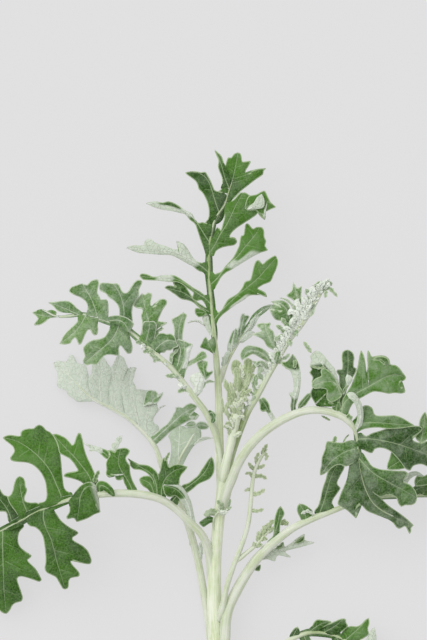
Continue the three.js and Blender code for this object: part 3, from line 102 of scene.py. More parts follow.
def blade(vein, left=None, right=None, rise=(FALL, FALL), wide=None, free=False, pale=(), plain=(), tone=None,
          wool=None):
    """A lobe: its vein (x, y, z, ...), its left and right margins as seen from its foot (x, y, ...) and the
    rise of its sides, or its vein and the half width of a plain leaflet. A free one isn't joined to the main
    vein. pale lists where the felted face is turned up: (side, from, to, inner), as shares of the vein and
    of the width. plain lists, as (side, from, to), where a margin has no pale rim of its own."""
    return dict(vein=vein, left=left, right=right, rise=rise, wide=wide, free=free, pale=pale, plain=plain,
                tone=tone, wool=wool)


ALL_OVER = [(BOTH, 0, 1)]  # felted face turned up from foot to tip

# Each leaf's stalk is x, y, z, radius, ... and "green" is how much of the stalk's wool is missing: share of
# its length, value, ... Each row of "young" gives where a young shoot's leaflets start and stop as shares of
# the stalk, how many, their length and half width, how many of them turn up their felt, and their side.
STEM = [1.5, -58, 3.3, 3.4, 1.5, -38, 4.2, 3.3, 1.4, -18, 6.4, 3.2, 1, 0, 9, 3.1, 0.3, 15, 11.5, 2.9,
    0.5, 30, 14.5, 2.6, 1.3, 40, 17.5, 2.4, 2.3, 50, 20.5, 2.3, 3.4, 59, 23, 2.3, 3.3, 65, 24.3, 2.2,
    2.5, 72, 25, 1.85, 2.2, 85, 25.6, 1.7, 2.1, 95, 25.8, 1.5, 1.8, 104, 26, 1.35, 1.7, 107.5, 26.2, 0.8]
STEM_GREEN = [0, 0, 0.9, 0.02, 1, 0.4]

LEAVES = {}
# Top leaf, green face up, with curled lobes at its right
LEAVES["leaf_top"] = dict(
    stalk=[1.9, 101, 25.9, 1.2, 1.3, 110, 26.3, 1.3, 0.6, 118, 26.6, 1.2, 0, 125, 27, 1.1,
        -1.3, 139, 28, 1.4, -1.9, 149, 28.7, 1.3, -1.7, 156.5, 29.8, 1.35, -0.8, 163.5, 30.8, 1.4,
        1, 169, 30.8, 1.5, 4.4, 174, 29.8, 1.1, 6, 179, 28.6, 0.7, 7.6, 184, 27.4, 0.5],
    green=[0, 0.4, 0.2, 0.65, 0.5, 1, 0.68, 1, 0.75, 0.5, 0.86, 0.5, 0.93, 0.9, 1, 0.8],
)
LEAVES["leaf_top"]["blades"] = [
    blade([0.8, 113, 26.6, -0.6, 116, 28.4, -2, 118.4, 29, -3, 121.2, 28.4], [0.2, 114.6, -1.6, 115.6,
        -3.4, 116.4, -5.4, 117.2, -4.6, 118.8, -3.8, 120.6], [1, 115.4, 0.7, 118.6, 0, 121.4, -1, 120.2,
        -2, 119.8], tone=1.2, wool=0.7),
    blade([-0.8, 121.6, 26.6, -2.6, 126, 26.4, -3.4, 129.4, 26.4, -4, 132, 26.8], [-1.2, 121.8, -2.7, 124,
        -4.1, 127.3, -4.7, 130.7, -5, 132], [-0.4, 123.6, -1.2, 127.3, -1.8, 130.7, -2.6, 132], free=True,
        pale=ALL_OVER),
    blade([-3.4, 125.6, 26.5, -5.6, 127.4, 27.2, -8.4, 127.6, 27.6, -10.2, 126.8, 27.4], wide=0.4, free=True,
        pale=ALL_OVER),
    blade([4.4, 174, 29, 5.8, 178, 28.6, 7.2, 182.5, 27.6, 8.3, 187, 26.4, 9.1, 191, 25.2, 9.8, 195, 24],
        [1.9, 179.4, 3, 180.2, 3.7, 182.5, 4.1, 185, 4.4, 187.6, 4.8, 189.8, 5.2, 191.5, 5.8, 193, 7, 192.9,
        7.8, 194, 8.6, 194.7], [6, 175, 8.5, 177, 11, 179.6, 14, 182, 17, 184.3, 19.8, 186.2, 20, 187.5,
        21, 188.6, 18.5, 188.5, 16.8, 188.2, 15, 187, 13.3, 185.9, 12.7, 186.5, 12.9, 187.8, 14, 189.5,
        14.9, 191.5, 13.2, 191.5, 11.6, 191.2, 11.3, 193, 10.8, 194.6], plain=[(BOTH, 0, 0.06)]),
    blade([6.4, 180.4, 28.5, 4.6, 184.6, 28.2, 3.4, 189, 27.5, 2.2, 192.6, 26.9, 0.5, 196, 26.2], [3, 180.6,
        3.5, 182.5, 3.3, 185, 2.4, 187.2, 1.8, 189.2, 2, 191.8, 1.2, 193.6], [6.6, 184, 5.4, 187.6,
        4.7, 189.6, 4.1, 191, 3.3, 193.4, 1.8, 195], free=True, plain=[(BOTH, 0, 0.1), (RIGHT, 0, 0.55)],
        tone=0.5),
    blade([2.2, 171, 29, 1.2, 173.8, 29.3, 0, 177.5, 29.3, -1, 181, 28.8, -2.6, 184.3, 28.2, -5, 186.3, 27.6,
        -9.5, 187.4, 27], [-3.3, 166.8, -2.1, 168.5, -1.8, 171, -2.2, 174, -3.3, 177, -4.8, 179.3, -6, 180.3,
        -6.2, 181.5, -7, 183.3, -9, 185, -10.5, 186, -11.3, 186.9], [1.9, 179.4, 0.6, 179.8, -0.2, 181.5,
        -1.3, 184, -2.4, 186, -3.2, 187.2, -5, 187, -7, 187.4]),
    blade([-1.6, 159, 29, -3.5, 162, 30, -6, 166, 31, -8.3, 168.8, 31.8, -10.8, 171, 32.5, -15, 172.8, 32.8,
        -20, 174, 32, -26.8, 174.6, 30.5], [-2.6, 153.5, -3.6, 156, -5, 159.5, -6.3, 163.5, -7.5, 166.5,
        -9.2, 167.8, -10.6, 169.4, -11.4, 170.3, -14, 170.9, -17, 171.6, -20, 172, -23, 172.8, -25.5, 173.8],
        [-3.3, 166.8, -4.7, 167.1, -5.8, 166.8, -7.2, 167.6, -8, 169.5, -9.3, 171, -11, 171.6, -13, 173,
        -15.5, 174.6, -18, 175.4, -20.5, 174.9, -23.5, 175.4], rise=(-0.4, 0.1), pale=[(LEFT, 0.4, 1, 0),
        (RIGHT, 0.36, 0.55, 0), (RIGHT, 0.84, 1, 0)]),
    blade([-1.8, 147, 28.5, -5, 149.6, 29.6, -8, 151.2, 30.3, -12, 153.6, 31, -16, 155.2, 31.5,
        -20, 155.7, 31.3, -26, 155.7, 30.3, -34.6, 156.8, 28], [-2.6, 144.6, -3.8, 146.8, -6, 147.7,
        -8.5, 149.6, -11, 150.9, -14, 152.6, -17, 153.9, -21, 154.1, -26, 154.5, -30, 154.9, -33, 156],
        [-3.2, 151.2, -4.5, 150.9, -6.6, 151.4, -8.2, 153, -10, 155.8, -12, 158.3, -14.8, 159.5,
        -13.8, 157.5, -14, 156.3, -16, 156.3, -19, 157.5, -22.8, 158.6, -24.5, 159.9, -26, 160.4,
        -27.5, 159.3, -28, 157.9, -31, 157.9, -33.5, 157.6], rise=(-0.35, 0.1), pale=[(BOTH, 0.15, 1, 0)]),
    blade([-1.2, 134, 27.8, -3.2, 136.6, 28.2, -6.5, 138.8, 28.7, -10, 141.6, 29.2, -14, 144, 29.5,
        -18, 144.8, 29.3, -23, 144.8, 28.6, -29.5, 145.6, 27], [-1.7, 131.5, -3.4, 134.3, -4.8, 136,
        -7.2, 135.6, -8.6, 137, -8, 138.8, -10, 140.4, -14, 143, -18, 143.2, -22, 143.7, -25.5, 143.9,
        -28.3, 144.2], [-3.4, 138, -5.5, 139.5, -8, 140.9, -11, 143, -14, 145, -16, 145.9, -20, 145.9,
        -24, 145.3, -26.5, 146.3, -29, 146.5], pale=[(BOTH, 0.58, 0.78, 0)]),
    blade([-0.8, 130.6, 27.4, -3, 132, 27.7, -6, 133.9, 28, -9, 137, 28.3, -13, 139.3, 28,
        -19.5, 140.9, 26.5], [-1.4, 129.7, -3.8, 131.6, -6, 133.1, -8, 134.9, -10, 135.8, -13, 136.4,
        -15, 137.9, -17.5, 139.6], [-1.6, 132.3, -4.5, 133.9, -6.5, 135.3, -8.3, 137, -9.6, 139,
        -11.5, 141.7, -13, 143.6, -14.8, 144.2, -16.2, 143.3, -15.6, 142, -15, 141.2, -16.5, 141.7,
        -18.6, 141.7]),
    blade([-1, 129.6, 27, -4, 131, 27.5, -7.4, 130.8, 27], [-2.4, 130.4, -4.3, 129.5, -6, 129.2],
        [-2.6, 131.6, -5, 132.4, -7.2, 132.7]),
    blade([-1.5, 154.5, 29, 0.5, 158, 30.2, 2.6, 162, 31.8, 4.5, 165, 33, 6, 167.5, 33.6, 7.6, 170.8, 34.2,
        9, 174, 34, 11.6, 178.9, 32], [-0.6, 160.5, 0.8, 163.5, 1.5, 164.9, 2.4, 164.6, 2.9, 163.9,
        3.8, 166.5, 4.4, 169, 4.5, 172.5, 5.5, 174.6, 7.8, 175.8, 9.5, 177.6, 10.6, 178.8], [0, 153.6,
        1, 155.5, 3, 156.8, 6, 157.6, 8.3, 158, 9.4, 159.2, 8.6, 160.9, 6.5, 161.1, 7, 162.5, 9, 164.5,
        12, 166.6, 15, 168.5, 17.3, 170.2, 17.8, 171.6, 15.5, 172, 13.3, 171.8, 12.8, 173.5, 13.8, 175.5,
        15, 177, 14, 178, 12.6, 178.9], tone=1.25),
    blade([0.8, 166.2, 29.2, 2, 168.6, 29.4, 3.4, 171.4, 29.2, 4.8, 174, 28.9], [0.2, 167, 1.2, 169.8,
        2.8, 172.6, 4.2, 174.2], [2.2, 166.8, 3.6, 168.2, 4.5, 170.6, 5, 173], free=True,
        plain=[(BOTH, 0, 1)]),
    blade([12.3, 172.6, 34, 17, 175, 35.4, 21, 175.5, 36, 24.8, 173, 35], [14, 177.3, 17, 178, 20.4, 179.5,
        21.5, 177.5, 22.8, 175], [13.5, 171.8, 17.5, 171.6, 18.3, 169.8, 20.5, 168, 19.5, 170.6, 21, 171.3,
        23.4, 172.4], free=True),
    blade([13.2, 172, 36.4, 17, 173.8, 37.6, 19.2, 178, 36.6], [14.4, 173.4, 16, 174.6, 17.3, 176.8],
        [17, 172.2, 20, 173, 20.1, 176.4], free=True, pale=ALL_OVER),
    blade([-1.2, 142, 28.2, 1.5, 144.7, 28.8, 4, 148, 29.5, 7, 151.2, 30.2, 9.5, 153.3, 30.7,
        12, 156.5, 31.2, 15, 160, 31, 17, 162.5, 30.3, 18.4, 165.2, 29], [-0.8, 147.5, 0.4, 146.4,
        1.6, 146.8, 3, 147.3, 5, 149.8, 7.5, 152.5, 9, 155, 10.3, 158, 10.7, 160.6, 11.1, 161.7, 12, 161.9,
        12.4, 164, 12.9, 166.3, 13.8, 166.5, 14.8, 165.3, 15.8, 164.4, 17, 165.1], [0, 140, 1.4, 142.2,
        3, 145, 5, 147, 7, 148, 9, 149.3, 13, 151.8, 16, 153.6, 19, 155, 21.7, 156, 20.6, 157.5, 21, 159.6,
        20.3, 161, 20.2, 163.6, 19.4, 165], pale=[(RIGHT, 0.32, 0.45, 0), (RIGHT, 0.45, 0.64, 0.5)],
        tone=1.4),
    blade([-0.4, 127.5, 27.4, 2.5, 131, 28.2, 6, 134.6, 29.2, 10, 138.3, 29.9, 14, 141.5, 30.4,
        18, 145, 30.3, 22, 149.5, 29.4, 25.2, 153.2, 28], [0.2, 133, 1.8, 131.1, 3.2, 132, 4.5, 134.2,
        6, 136.4, 8.2, 137.7, 9.8, 138.8, 11.5, 141, 12.7, 143.4, 13.8, 143.7, 14.6, 144, 15.3, 146, 16, 149,
        16.8, 151.3, 18, 152, 18.9, 151, 19.6, 150.4, 21, 151.6, 23, 153, 24.6, 153.8], [0.9, 126, 1.8, 128,
        3.5, 130, 6, 132, 9, 134.2, 12, 136, 14.5, 137.8, 17, 138, 19.5, 137.9, 21.3, 137.1, 20.8, 138.8,
        19, 139.9, 17.6, 140.5, 20, 142.2, 22.8, 143.4, 24, 146, 25.3, 149, 25.8, 151.6],
        pale=[(RIGHT, 0.22, 0.45, 0.6)], tone=1.6),
]
# Small pale leaf right of the upper stem
LEAVES["leaf_top_side"] = dict(
    stalk=[1.9, 101.5, 23.5, 1.2, 3.6, 107, 20.5, 1.1, 5.8, 112, 19, 1.1, 8.6, 117, 18, 1.1,
        11.4, 121.4, 17.8, 1, 14.4, 125.2, 17.5, 0.8, 17, 129.2, 16.8, 0.5, 20, 132, 16, 0.4],
)
LEAVES["leaf_top_side"]["blades"] = [
    blade([11.6, 121.6, 18, 14.8, 125.6, 18, 17, 129.3, 17, 20, 132.1, 16, 24.2, 134.1, 14.5], [10.8, 122.6,
        12.4, 125, 14, 127.2, 15.4, 129.8, 17.2, 131.6, 19.6, 133.2, 22, 134.2], [13, 121.4, 15.2, 124,
        16.8, 126.2, 18.2, 129, 20.4, 130.9, 22.4, 132.4], pale=[(BOTH, 0.55, 1, 0), (LEFT, 0.1, 0.6, 0.4)]),
    blade([10, 119.6, 18, 11.2, 125.4, 19, 12.4, 130.5, 18.3], [8.6, 120.4, 9.6, 123.4, 10.4, 126.4,
        10.7, 129, 11.4, 130.5], [12.4, 123.6, 13.2, 127, 14.4, 129.4, 13.6, 130, 12.9, 129.9],
        pale=[(BOTH, 0.15, 1, 0)]),
    blade([7.2, 114.4, 18.8, 7.4, 118.4, 20, 8.8, 124.4, 20.2], [5.8, 114.4, 5.7, 118, 6.5, 121, 7.8, 123.8],
        [8.8, 116.6, 9.5, 120, 10, 123, 9.6, 124.7], pale=[(BOTH, 0.35, 1, 0.2)]),
    blade([9.4, 118.4, 18.5, 13, 121.4, 19, 16.3, 123, 17.8], [10.8, 120.6, 12.6, 122.2, 14.6, 123.6],
        [11.4, 118.8, 13.6, 120.2, 15.6, 121.6]),
    blade([13, 123.2, 18.2, 15, 126, 19.2, 15.6, 128.4, 19], wide=0.9),
    blade([4.2, 108.6, 20.5, 4.5, 112, 21.5, 6.4, 115.6, 21.7], wide=1.1),
]
# Leaf at the upper left, with curled lobes
LEAVES["leaf_upper_left"] = dict(
    stalk=[2.9, 68, 25.4, 1, 2.5, 74, 26.4, 1.3, 1.2, 81, 28, 1.4, -1, 87, 30.4, 1.4, -3.3, 91.4, 32, 1.35,
        -7.3, 96.8, 34, 1.25, -15.4, 107.4, 37, 1.15, -20, 112, 38.4, 1.1, -25.4, 116.6, 39.3, 1.1,
        -34, 124, 40.3, 1.4, -42, 127.5, 40, 1.2, -52, 130.1, 38.3, 1.2, -57, 129.7, 37.4, 1.4,
        -61, 129.3, 36.5, 1.6, -64, 129.9, 35.8, 1.7, -66.6, 131.3, 35, 1.4, -68.4, 132.2, 33.8, 0.6],
    green=[0, 0.1, 0.25, 0.2, 0.5, 0.3, 0.8, 0.1, 1, 0],
    young=[(0.3, 0.6, 14, 4.4, 0.8, 0.7, LEFT)],
)
LEAVES["leaf_upper_left"]["blades"] = [
    blade([-61.6, 129.4, 34.8, -65, 129.5, 33.6, -68.5, 129.8, 32.6, -72.4, 130.9, 31], [-62.5, 129.2,
        -65.5, 128.6, -67, 127.3, -69.3, 126, -71.6, 126, -71, 127.3, -70, 128.6, -71.2, 129.8],
        [-62.5, 131.1, -64.6, 132, -66.2, 131.6, -67.3, 131, -67.4, 131.8, -68.6, 132.3, -70.5, 131.8]),
    blade([-53.8, 130, 37.7, -57, 131.6, 37.2, -60, 133, 36.2, -65.9, 135, 34], [-55.5, 130.5, -59, 130.9,
        -62.2, 131.6, -63.3, 132.8, -64.6, 134], [-52.2, 130.8, -54, 132.4, -55.8, 134.3, -57.5, 135.5,
        -60, 135.7, -63, 135.3]),
    blade([-46, 129.2, 39.2, -47.3, 133, 39, -49, 137, 38.2, -50.8, 140, 37.2, -52.4, 142.6, 36],
        [-50.6, 130.4, -50.2, 132, -50.3, 134, -51.4, 135.8, -53.5, 137.2, -55.5, 138, -57.4, 139,
        -57.5, 140.2, -56.5, 141.2, -54.5, 141.9], [-42, 128, -41.8, 130.5, -41.8, 133, -42, 135.2,
        -42.6, 136.2, -44.8, 136.3, -45.4, 137.4, -46.3, 139.2, -46, 141, -45.6, 142.8, -46, 144.1,
        -47.6, 144.1, -49.3, 143.2, -50.3, 142]),
    blade([-36.6, 125.6, 40.3, -35.6, 130, 41, -36.2, 135, 40.5, -37.6, 139, 39.6, -40, 142.6, 38.3],
        [-38.4, 127.4, -37.7, 129, -37.5, 131.5, -38.2, 134, -40, 135.9, -41.6, 136.9, -43, 138.6,
        -44.8, 139.4, -45.5, 140.6, -45, 142.7, -42.5, 142.8], [-32.6, 125, -32.2, 128, -32.4, 131,
        -31.9, 134, -30.7, 136, -29.6, 138, -29.6, 140.2, -28.7, 142, -28.4, 143.4, -29.8, 144.1,
        -31.4, 143.1, -32.6, 141.4, -33.8, 139.4, -35, 138.7, -36.4, 139.6, -37.3, 141.6, -38.4, 142.7]),
    blade([-24.8, 117.4, 39, -25, 122, 39.9, -25.7, 127, 40, -26.9, 131.5, 39.6, -27.7, 135, 38.8,
        -28.5, 138.6, 37.8], [-29.4, 120.8, -28.6, 124, -28.4, 127.5, -28.9, 129.5, -28.3, 131.6,
        -28.7, 132.7, -30.2, 132.7, -31.7, 133.4, -31.6, 134.5, -30.4, 136.2, -29.4, 137.6], [-21.2, 114.8,
        -21, 118, -21.2, 121.5, -21.8, 123.4, -19.8, 124.5, -20.9, 125.6, -18.4, 126.9, -20.4, 127.4,
        -22, 127.6, -21.2, 130, -20.2, 132.2, -18.6, 134.4, -18.7, 135.9, -20.6, 136.5, -22.2, 135.6,
        -23.1, 133.7, -24.1, 133.1, -24.9, 133.9, -24.9, 135.8, -24.4, 137.4, -24.8, 138.7, -26.3, 138.9,
        -27.3, 138.1]),
    blade([-13.9, 107, 36.8, -13.8, 114, 38, -14, 121, 38.3, -13.6, 126, 37.5, -12, 131, 36.4],
        [-16.8, 109.5, -16.2, 115, -15.7, 121, -15.8, 125, -16.7, 128.2, -14.6, 129.4], [-11.4, 106.5,
        -11.6, 113, -12.4, 119, -12, 124, -11.3, 127.5, -10.7, 130.1]),
    blade([-42, 127.4, 40, -38.5, 128, 42.3, -35.5, 126.8, 43.6, -33.6, 123.2, 43], [-42.4, 128.6,
        -39.8, 129.8, -36, 129.5, -33, 128, -31.6, 126.4, -32.6, 124.6], [-40.8, 126.4, -38, 126.2, -36, 125,
        -34.8, 123.6]),
    blade([-27, 118.8, 39.6, -26.2, 122, 41.4, -25.6, 125, 42.8, -25.3, 127.5, 42.4], [-29, 120.3,
        -28.5, 123, -28.3, 126, -27.6, 127.4], [-24.6, 117.2, -23.4, 121, -22.8, 124, -22.6, 126.2,
        -23.6, 127.5]),
    blade([-23.4, 116.2, 39, -20.5, 118.8, 41.2, -17.5, 120, 42.6, -14.6, 119, 42.2], [-24.4, 118,
        -23.4, 120.6, -21.8, 122.6, -20, 122.9, -18.5, 122.4, -17.2, 122.7, -15.4, 121.4], [-21.6, 115.2,
        -19.6, 115, -18.5, 116, -17, 115.9, -15.8, 116.8, -14, 117.6]),
    blade([-21.5, 114.6, 38.4, -23.6, 114.9, 38.9, -25.8, 115.8, 38.6], wide=0.9),
    blade([-13.6, 106.8, 36.8, -12, 111.5, 39, -11.6, 115.5, 40.8, -11.8, 119.8, 40.8], [-15, 108.6,
        -13.8, 112.5, -13.3, 116, -14.5, 120.2], [-12, 104.8, -10.4, 110, -9.6, 113.5, -8.9, 116.2,
        -8.2, 118.3, -10, 119], pale=[(RIGHT, 0.2, 0.75, 0.2)]),
    # Small free leaflet, green face up, set where the base of the lobe beside it lies in shade: a dark sheet
    # that stands for painted shade
    blade([-16.4, 110.6, 38.6, -17.2, 113.2, 39.4, -15.6, 115, 39.8, -13.9, 116.6, 39.4], wide=0.75,
        free=True),
    blade([-50.8, 129.8, 38.5, -52.6, 126.8, 38.3, -55, 123.6, 37.3, -58, 121, 36, -61.3, 118.5, 34.5],
        [-45.8, 128.8, -46.1, 126, -46, 123.6, -46.4, 122.2, -47.5, 121.9, -48.4, 122.8, -49, 124,
        -49.8, 124.1, -51, 122.4, -52, 120, -52.8, 118.4, -53.7, 118.2, -54.2, 119.4, -55, 121, -56, 120.3,
        -57, 118.7, -58.4, 118.3], [-54, 129.6, -54.2, 127.6, -55.6, 126, -57.8, 124, -59.6, 122,
        -60.8, 119.8]),
    blade([-37.8, 125.4, 40.2, -39.6, 121.5, 40, -43, 117.8, 39, -46.5, 115, 37.8, -51.8, 110.6, 35],
        [-33.8, 123, -32.8, 119.8, -32.2, 116.6, -32.8, 114.8, -34.2, 114.6, -35.6, 116.2, -37, 117.8,
        -37.8, 116.6, -37.4, 114.8, -37.8, 113.8, -41, 114.2, -43.4, 113.8, -45, 112, -46.6, 110.2,
        -48.6, 110.4, -50.4, 109.9], [-40.8, 126.2, -41.8, 123.8, -43.4, 121.4, -45.8, 120.4, -48.2, 120.1,
        -50.3, 118.8, -51.9, 117, -51.7, 115.2, -51.3, 113.6, -52.1, 112]),
    blade([-13.4, 105.6, 36.5, -11.4, 108.8, 37.3, -8.6, 111.4, 37.7, -5.8, 113.2, 37.1, -3, 114.6, 35.6],
        [-12.6, 109, -11.2, 110.3, -9.6, 111.7, -7.4, 113.1, -5.9, 114.8, -4.6, 115.7, -3.5, 115.4],
        [-11.8, 106.8, -9.9, 109.4, -8.2, 110.4, -5.9, 111.4, -3.9, 112.2, -2.5, 113.4],
        pale=[(BOTH, 0, 0.38, 0)]),
    blade([-7.4, 98.2, 34.2, -6.4, 101.6, 35.6, -5.6, 104.2, 36.2, -5.2, 107, 35.8], [-7.9, 100.4,
        -8.4, 102.2, -9.5, 104, -9.3, 105.6, -7.8, 106.6, -6.4, 107], [-4.6, 99.4, -4.1, 101.2, -3.6, 103.4,
        -4, 105.6, -4.8, 106.8], pale=ALL_OVER),
    blade([-3.1, 104, 36, -3.9, 108, 36.8, -4.4, 111.9, 36.2], [-3.8, 105, -5.2, 107.2, -6.6, 110.6,
        -5.5, 111.6], [-2.2, 104.8, -1.2, 106.1, -0.2, 107.2, -0.6, 107.9, -1.9, 107.4, -2.8, 108,
        -2.2, 110.6, -2.5, 111.6], free=True),
    blade([-6.8, 97.4, 34.2, -4.6, 101.2, 35, -2.4, 103.4, 34.8, 0.6, 103.3, 33.6], wide=0.7),
    blade([-2.4, 90.3, 31.8, -0.6, 91.2, 33.2, 0.3, 89, 33.6, -0.7, 86.8, 33.4], wide=1, tone=-1, wool=0.15),
]
# Leaf behind at the left, felted face up
LEAVES["leaf_back_left"] = dict(
    stalk=[1.6, -40, 4.6, 1, 1.3, -33, 4.6, 1.6, 0.8, -25, 4.4, 1.7, -0.4, -14, 4.2, 1.6, -1.4, 0, 5, 1.5,
        -2.9, 12, 6, 1.5, -4.4, 21, 7, 1.5, -6, 30, 8, 1.5, -8.5, 40, 9, 1.5, -11, 48, 9.8, 1.5,
        -15, 58, 10.5, 1.5, -19, 65.6, 10.8, 1.5, -21.3, 71, 10.6, 1.4, -23, 76, 10.2, 1.3,
        -26, 80.6, 9.8, 1.3, -30, 84.6, 9.2, 1.2, -34, 88.4, 8.6, 1.1, -38, 90.8, 8, 1, -42, 93, 7.5, 0.9,
        -46, 95, 7, 0.8, -50, 97.4, 6.4, 0.7, -53, 100.2, 5.6, 0.6, -57, 104.4, 3.4, 0.5,
        -61, 108, 1.2, 0.4],
    twig=dict(
        stalk=[-14.4, 69.6, 12.5, 0.42, -13.4, 72.6, 13.2, 0.42, -12.1, 75, 13.7, 0.4,
            -10.6, 77.5, 13.95, 0.38, -9.2, 79.9, 13.75, 0.34, -7.6, 82.4, 13.2, 0.24],
        blades=[],
    ),
)
LEAVES["leaf_back_left"]["blades"] = [
    blade([-49.5, 97.2, 6.4, -53, 100.3, 5.6, -57, 104.5, 3.4, -61, 108, 1.2, -64.2, 110.6, 0.2],
        [-48.6, 95.4, -51.5, 95.2, -54.5, 95.1, -56, 96, -57.2, 96.9, -58.6, 97.8, -59.2, 99.4, -60.8, 100.2,
        -62.6, 100.9, -63.1, 102.4, -62.7, 104.6, -63, 107, -64.2, 109], [-48.6, 97.8, -49.8, 101.5,
        -50.1, 104.4, -50.7, 107, -51.4, 109.6, -53, 110.2, -54.8, 110.6, -55.6, 112, -56.3, 113.4,
        -57.3, 114, -58.3, 113, -59, 111.4, -61, 111.2, -63, 111.6]),
    blade([-45.2, 94.6, 7.2, -45.6, 100, 7, -46, 106, 5.4, -46, 113.2, 2], [-48.8, 97.4, -50.2, 101,
        -50.3, 104.4, -49.2, 106.4, -49, 109, -48.6, 111.6, -47.4, 113.2], [-41.6, 93.4, -41.4, 98,
        -41.4, 103, -41.3, 108.6, -42.6, 110.4, -43.6, 112.2, -44.6, 113.5], rise=(0, -0.02)),
    blade([-38.8, 91.4, 8, -39.8, 97, 7.8, -40.4, 102, 6.8, -39.8, 108, 5, -37.6, 113.6, 2.2], [-41.8, 93.2,
        -42, 98, -42, 103, -41.7, 108.4, -40.6, 109.8, -39.6, 112.2, -38.8, 113.4], [-35.2, 89.4, -35.8, 94,
        -36.3, 100, -36, 105, -34.6, 108.6, -35.4, 110.8, -36, 112.6], rise=(-0.06, 0.02)),
    blade([-29.4, 85.2, 9.2, -31, 91, 9.4, -33, 97, 8.6, -34.2, 102, 7, -33.4, 108.6, 4], [-35.6, 90.2,
        -36.4, 95, -37, 100, -36.6, 104.6, -35.4, 107.4, -34.6, 108.6], [-27.4, 83.6, -28.6, 90, -30, 95,
        -31, 99.8, -31.6, 102, -32.5, 103.4, -32, 105, -31.6, 107, -31, 108.6, -32, 109], rise=(-0.05, 0)),
    blade([-26.6, 82, 9.7, -27.2, 88, 10.2, -26.4, 92, 9.8, -25.2, 96, 8.6, -25, 99.6, 6.6], [-29, 85,
        -30.4, 90, -31.2, 95, -31.3, 99.8, -29.2, 100, -27.4, 99.7, -26, 99.8], [-22.4, 80.2, -22.1, 85.2,
        -22.9, 86, -24, 86.5, -24.3, 87.8, -23.8, 89.2, -22.8, 90.7, -22.3, 92.2, -22.7, 94.4, -23, 96.6,
        -23.8, 98.8], rise=(-0.04, -0.08)),
    blade([-24.2, 94.4, 11, -24.8, 97, 10.4, -24.8, 99.8, 8.8], [-26, 94.8, -28.2, 93.2, -27.9, 96,
        -27.1, 99, -26, 99.8], [-22.9, 94.4, -22.1, 95.2, -20.2, 98.5, -20.5, 98.9, -22.5, 97.1, -22.3, 98.5,
        -23.4, 99.5], free=True, pale=ALL_OVER),
    blade([-22.8, 90.8, 9.4, -21.4, 92.8, 9.2, -19.3, 93.6, 8.8], wide=0.3, free=True),
    blade([-22.4, 80.8, 10, -19.6, 83.8, 11.2, -15.5, 87.6, 12.4, -11.4, 91, 12.3, -6.6, 93.2, 10.8],
        [-22.6, 83, -21, 84.6, -19, 86, -17.4, 88, -16.2, 90.2, -15.4, 91.4, -15.3, 92.8, -14, 93.1,
        -12.4, 92.9, -11, 94, -9, 94.6, -7.4, 94], [-21.9, 78.8, -19.5, 81, -17, 83.4, -14.4, 85, -12, 86.4,
        -10.2, 87.4, -8.6, 87.9, -7.2, 87.9, -5.8, 89.7, -7.8, 89, -9.6, 89, -9.2, 90, -7.6, 91.6],
        pale=ALL_OVER),
    blade([-18.7, 65.4, 10.8, -14.4, 70.4, 12.5, -14, 76, 13.6, -13.6, 85.2, 12.6], [-18.6, 69, -17.4, 72,
        -17, 77, -17.4, 79.6, -18.1, 81.4, -17, 83.2, -15.4, 84.4], [-14, 66.4, -12, 70.4, -10.2, 74,
        -8, 77.4, -5.4, 79.8, -4.9, 82, -5.4, 84.4, -7, 85.6, -9, 85.4, -10.8, 84.6, -12, 85.4], tone=-1),
    blade([-8, 77.8, 13.4, -4.6, 80.5, 12.8, 0, 80.5, 11.6], [-6, 80.3, -3, 81.1], [-5.6, 78.9, -2.6, 80],
        free=True),
    blade([-7.4, 85.4, 12.8, -5.4, 86, 12.2, -1.8, 85.2, 10.6], [-6.8, 86.8, -4.4, 87.3, -2.6, 86.4],
        [-6.4, 84.3, -4.4, 83.9, -2.4, 84.3], free=True, pale=ALL_OVER),
    blade([-11.6, 85.4, 13.2, -9, 86.6, 13.2, -6.8, 86, 12.6], [-10.6, 87, -8.4, 87.6], [-10.4, 85.1,
        -8.4, 85], free=True, pale=ALL_OVER),
    blade([-6.5, 32.5, 8.2, -8.6, 38, 9.2, -9.4, 44, 9.6], wide=1.1),
    blade([-6.1, 30.5, 8.1, -5.2, 34.4, 9.4, -5.3, 38.6, 9.8], wide=1),
]
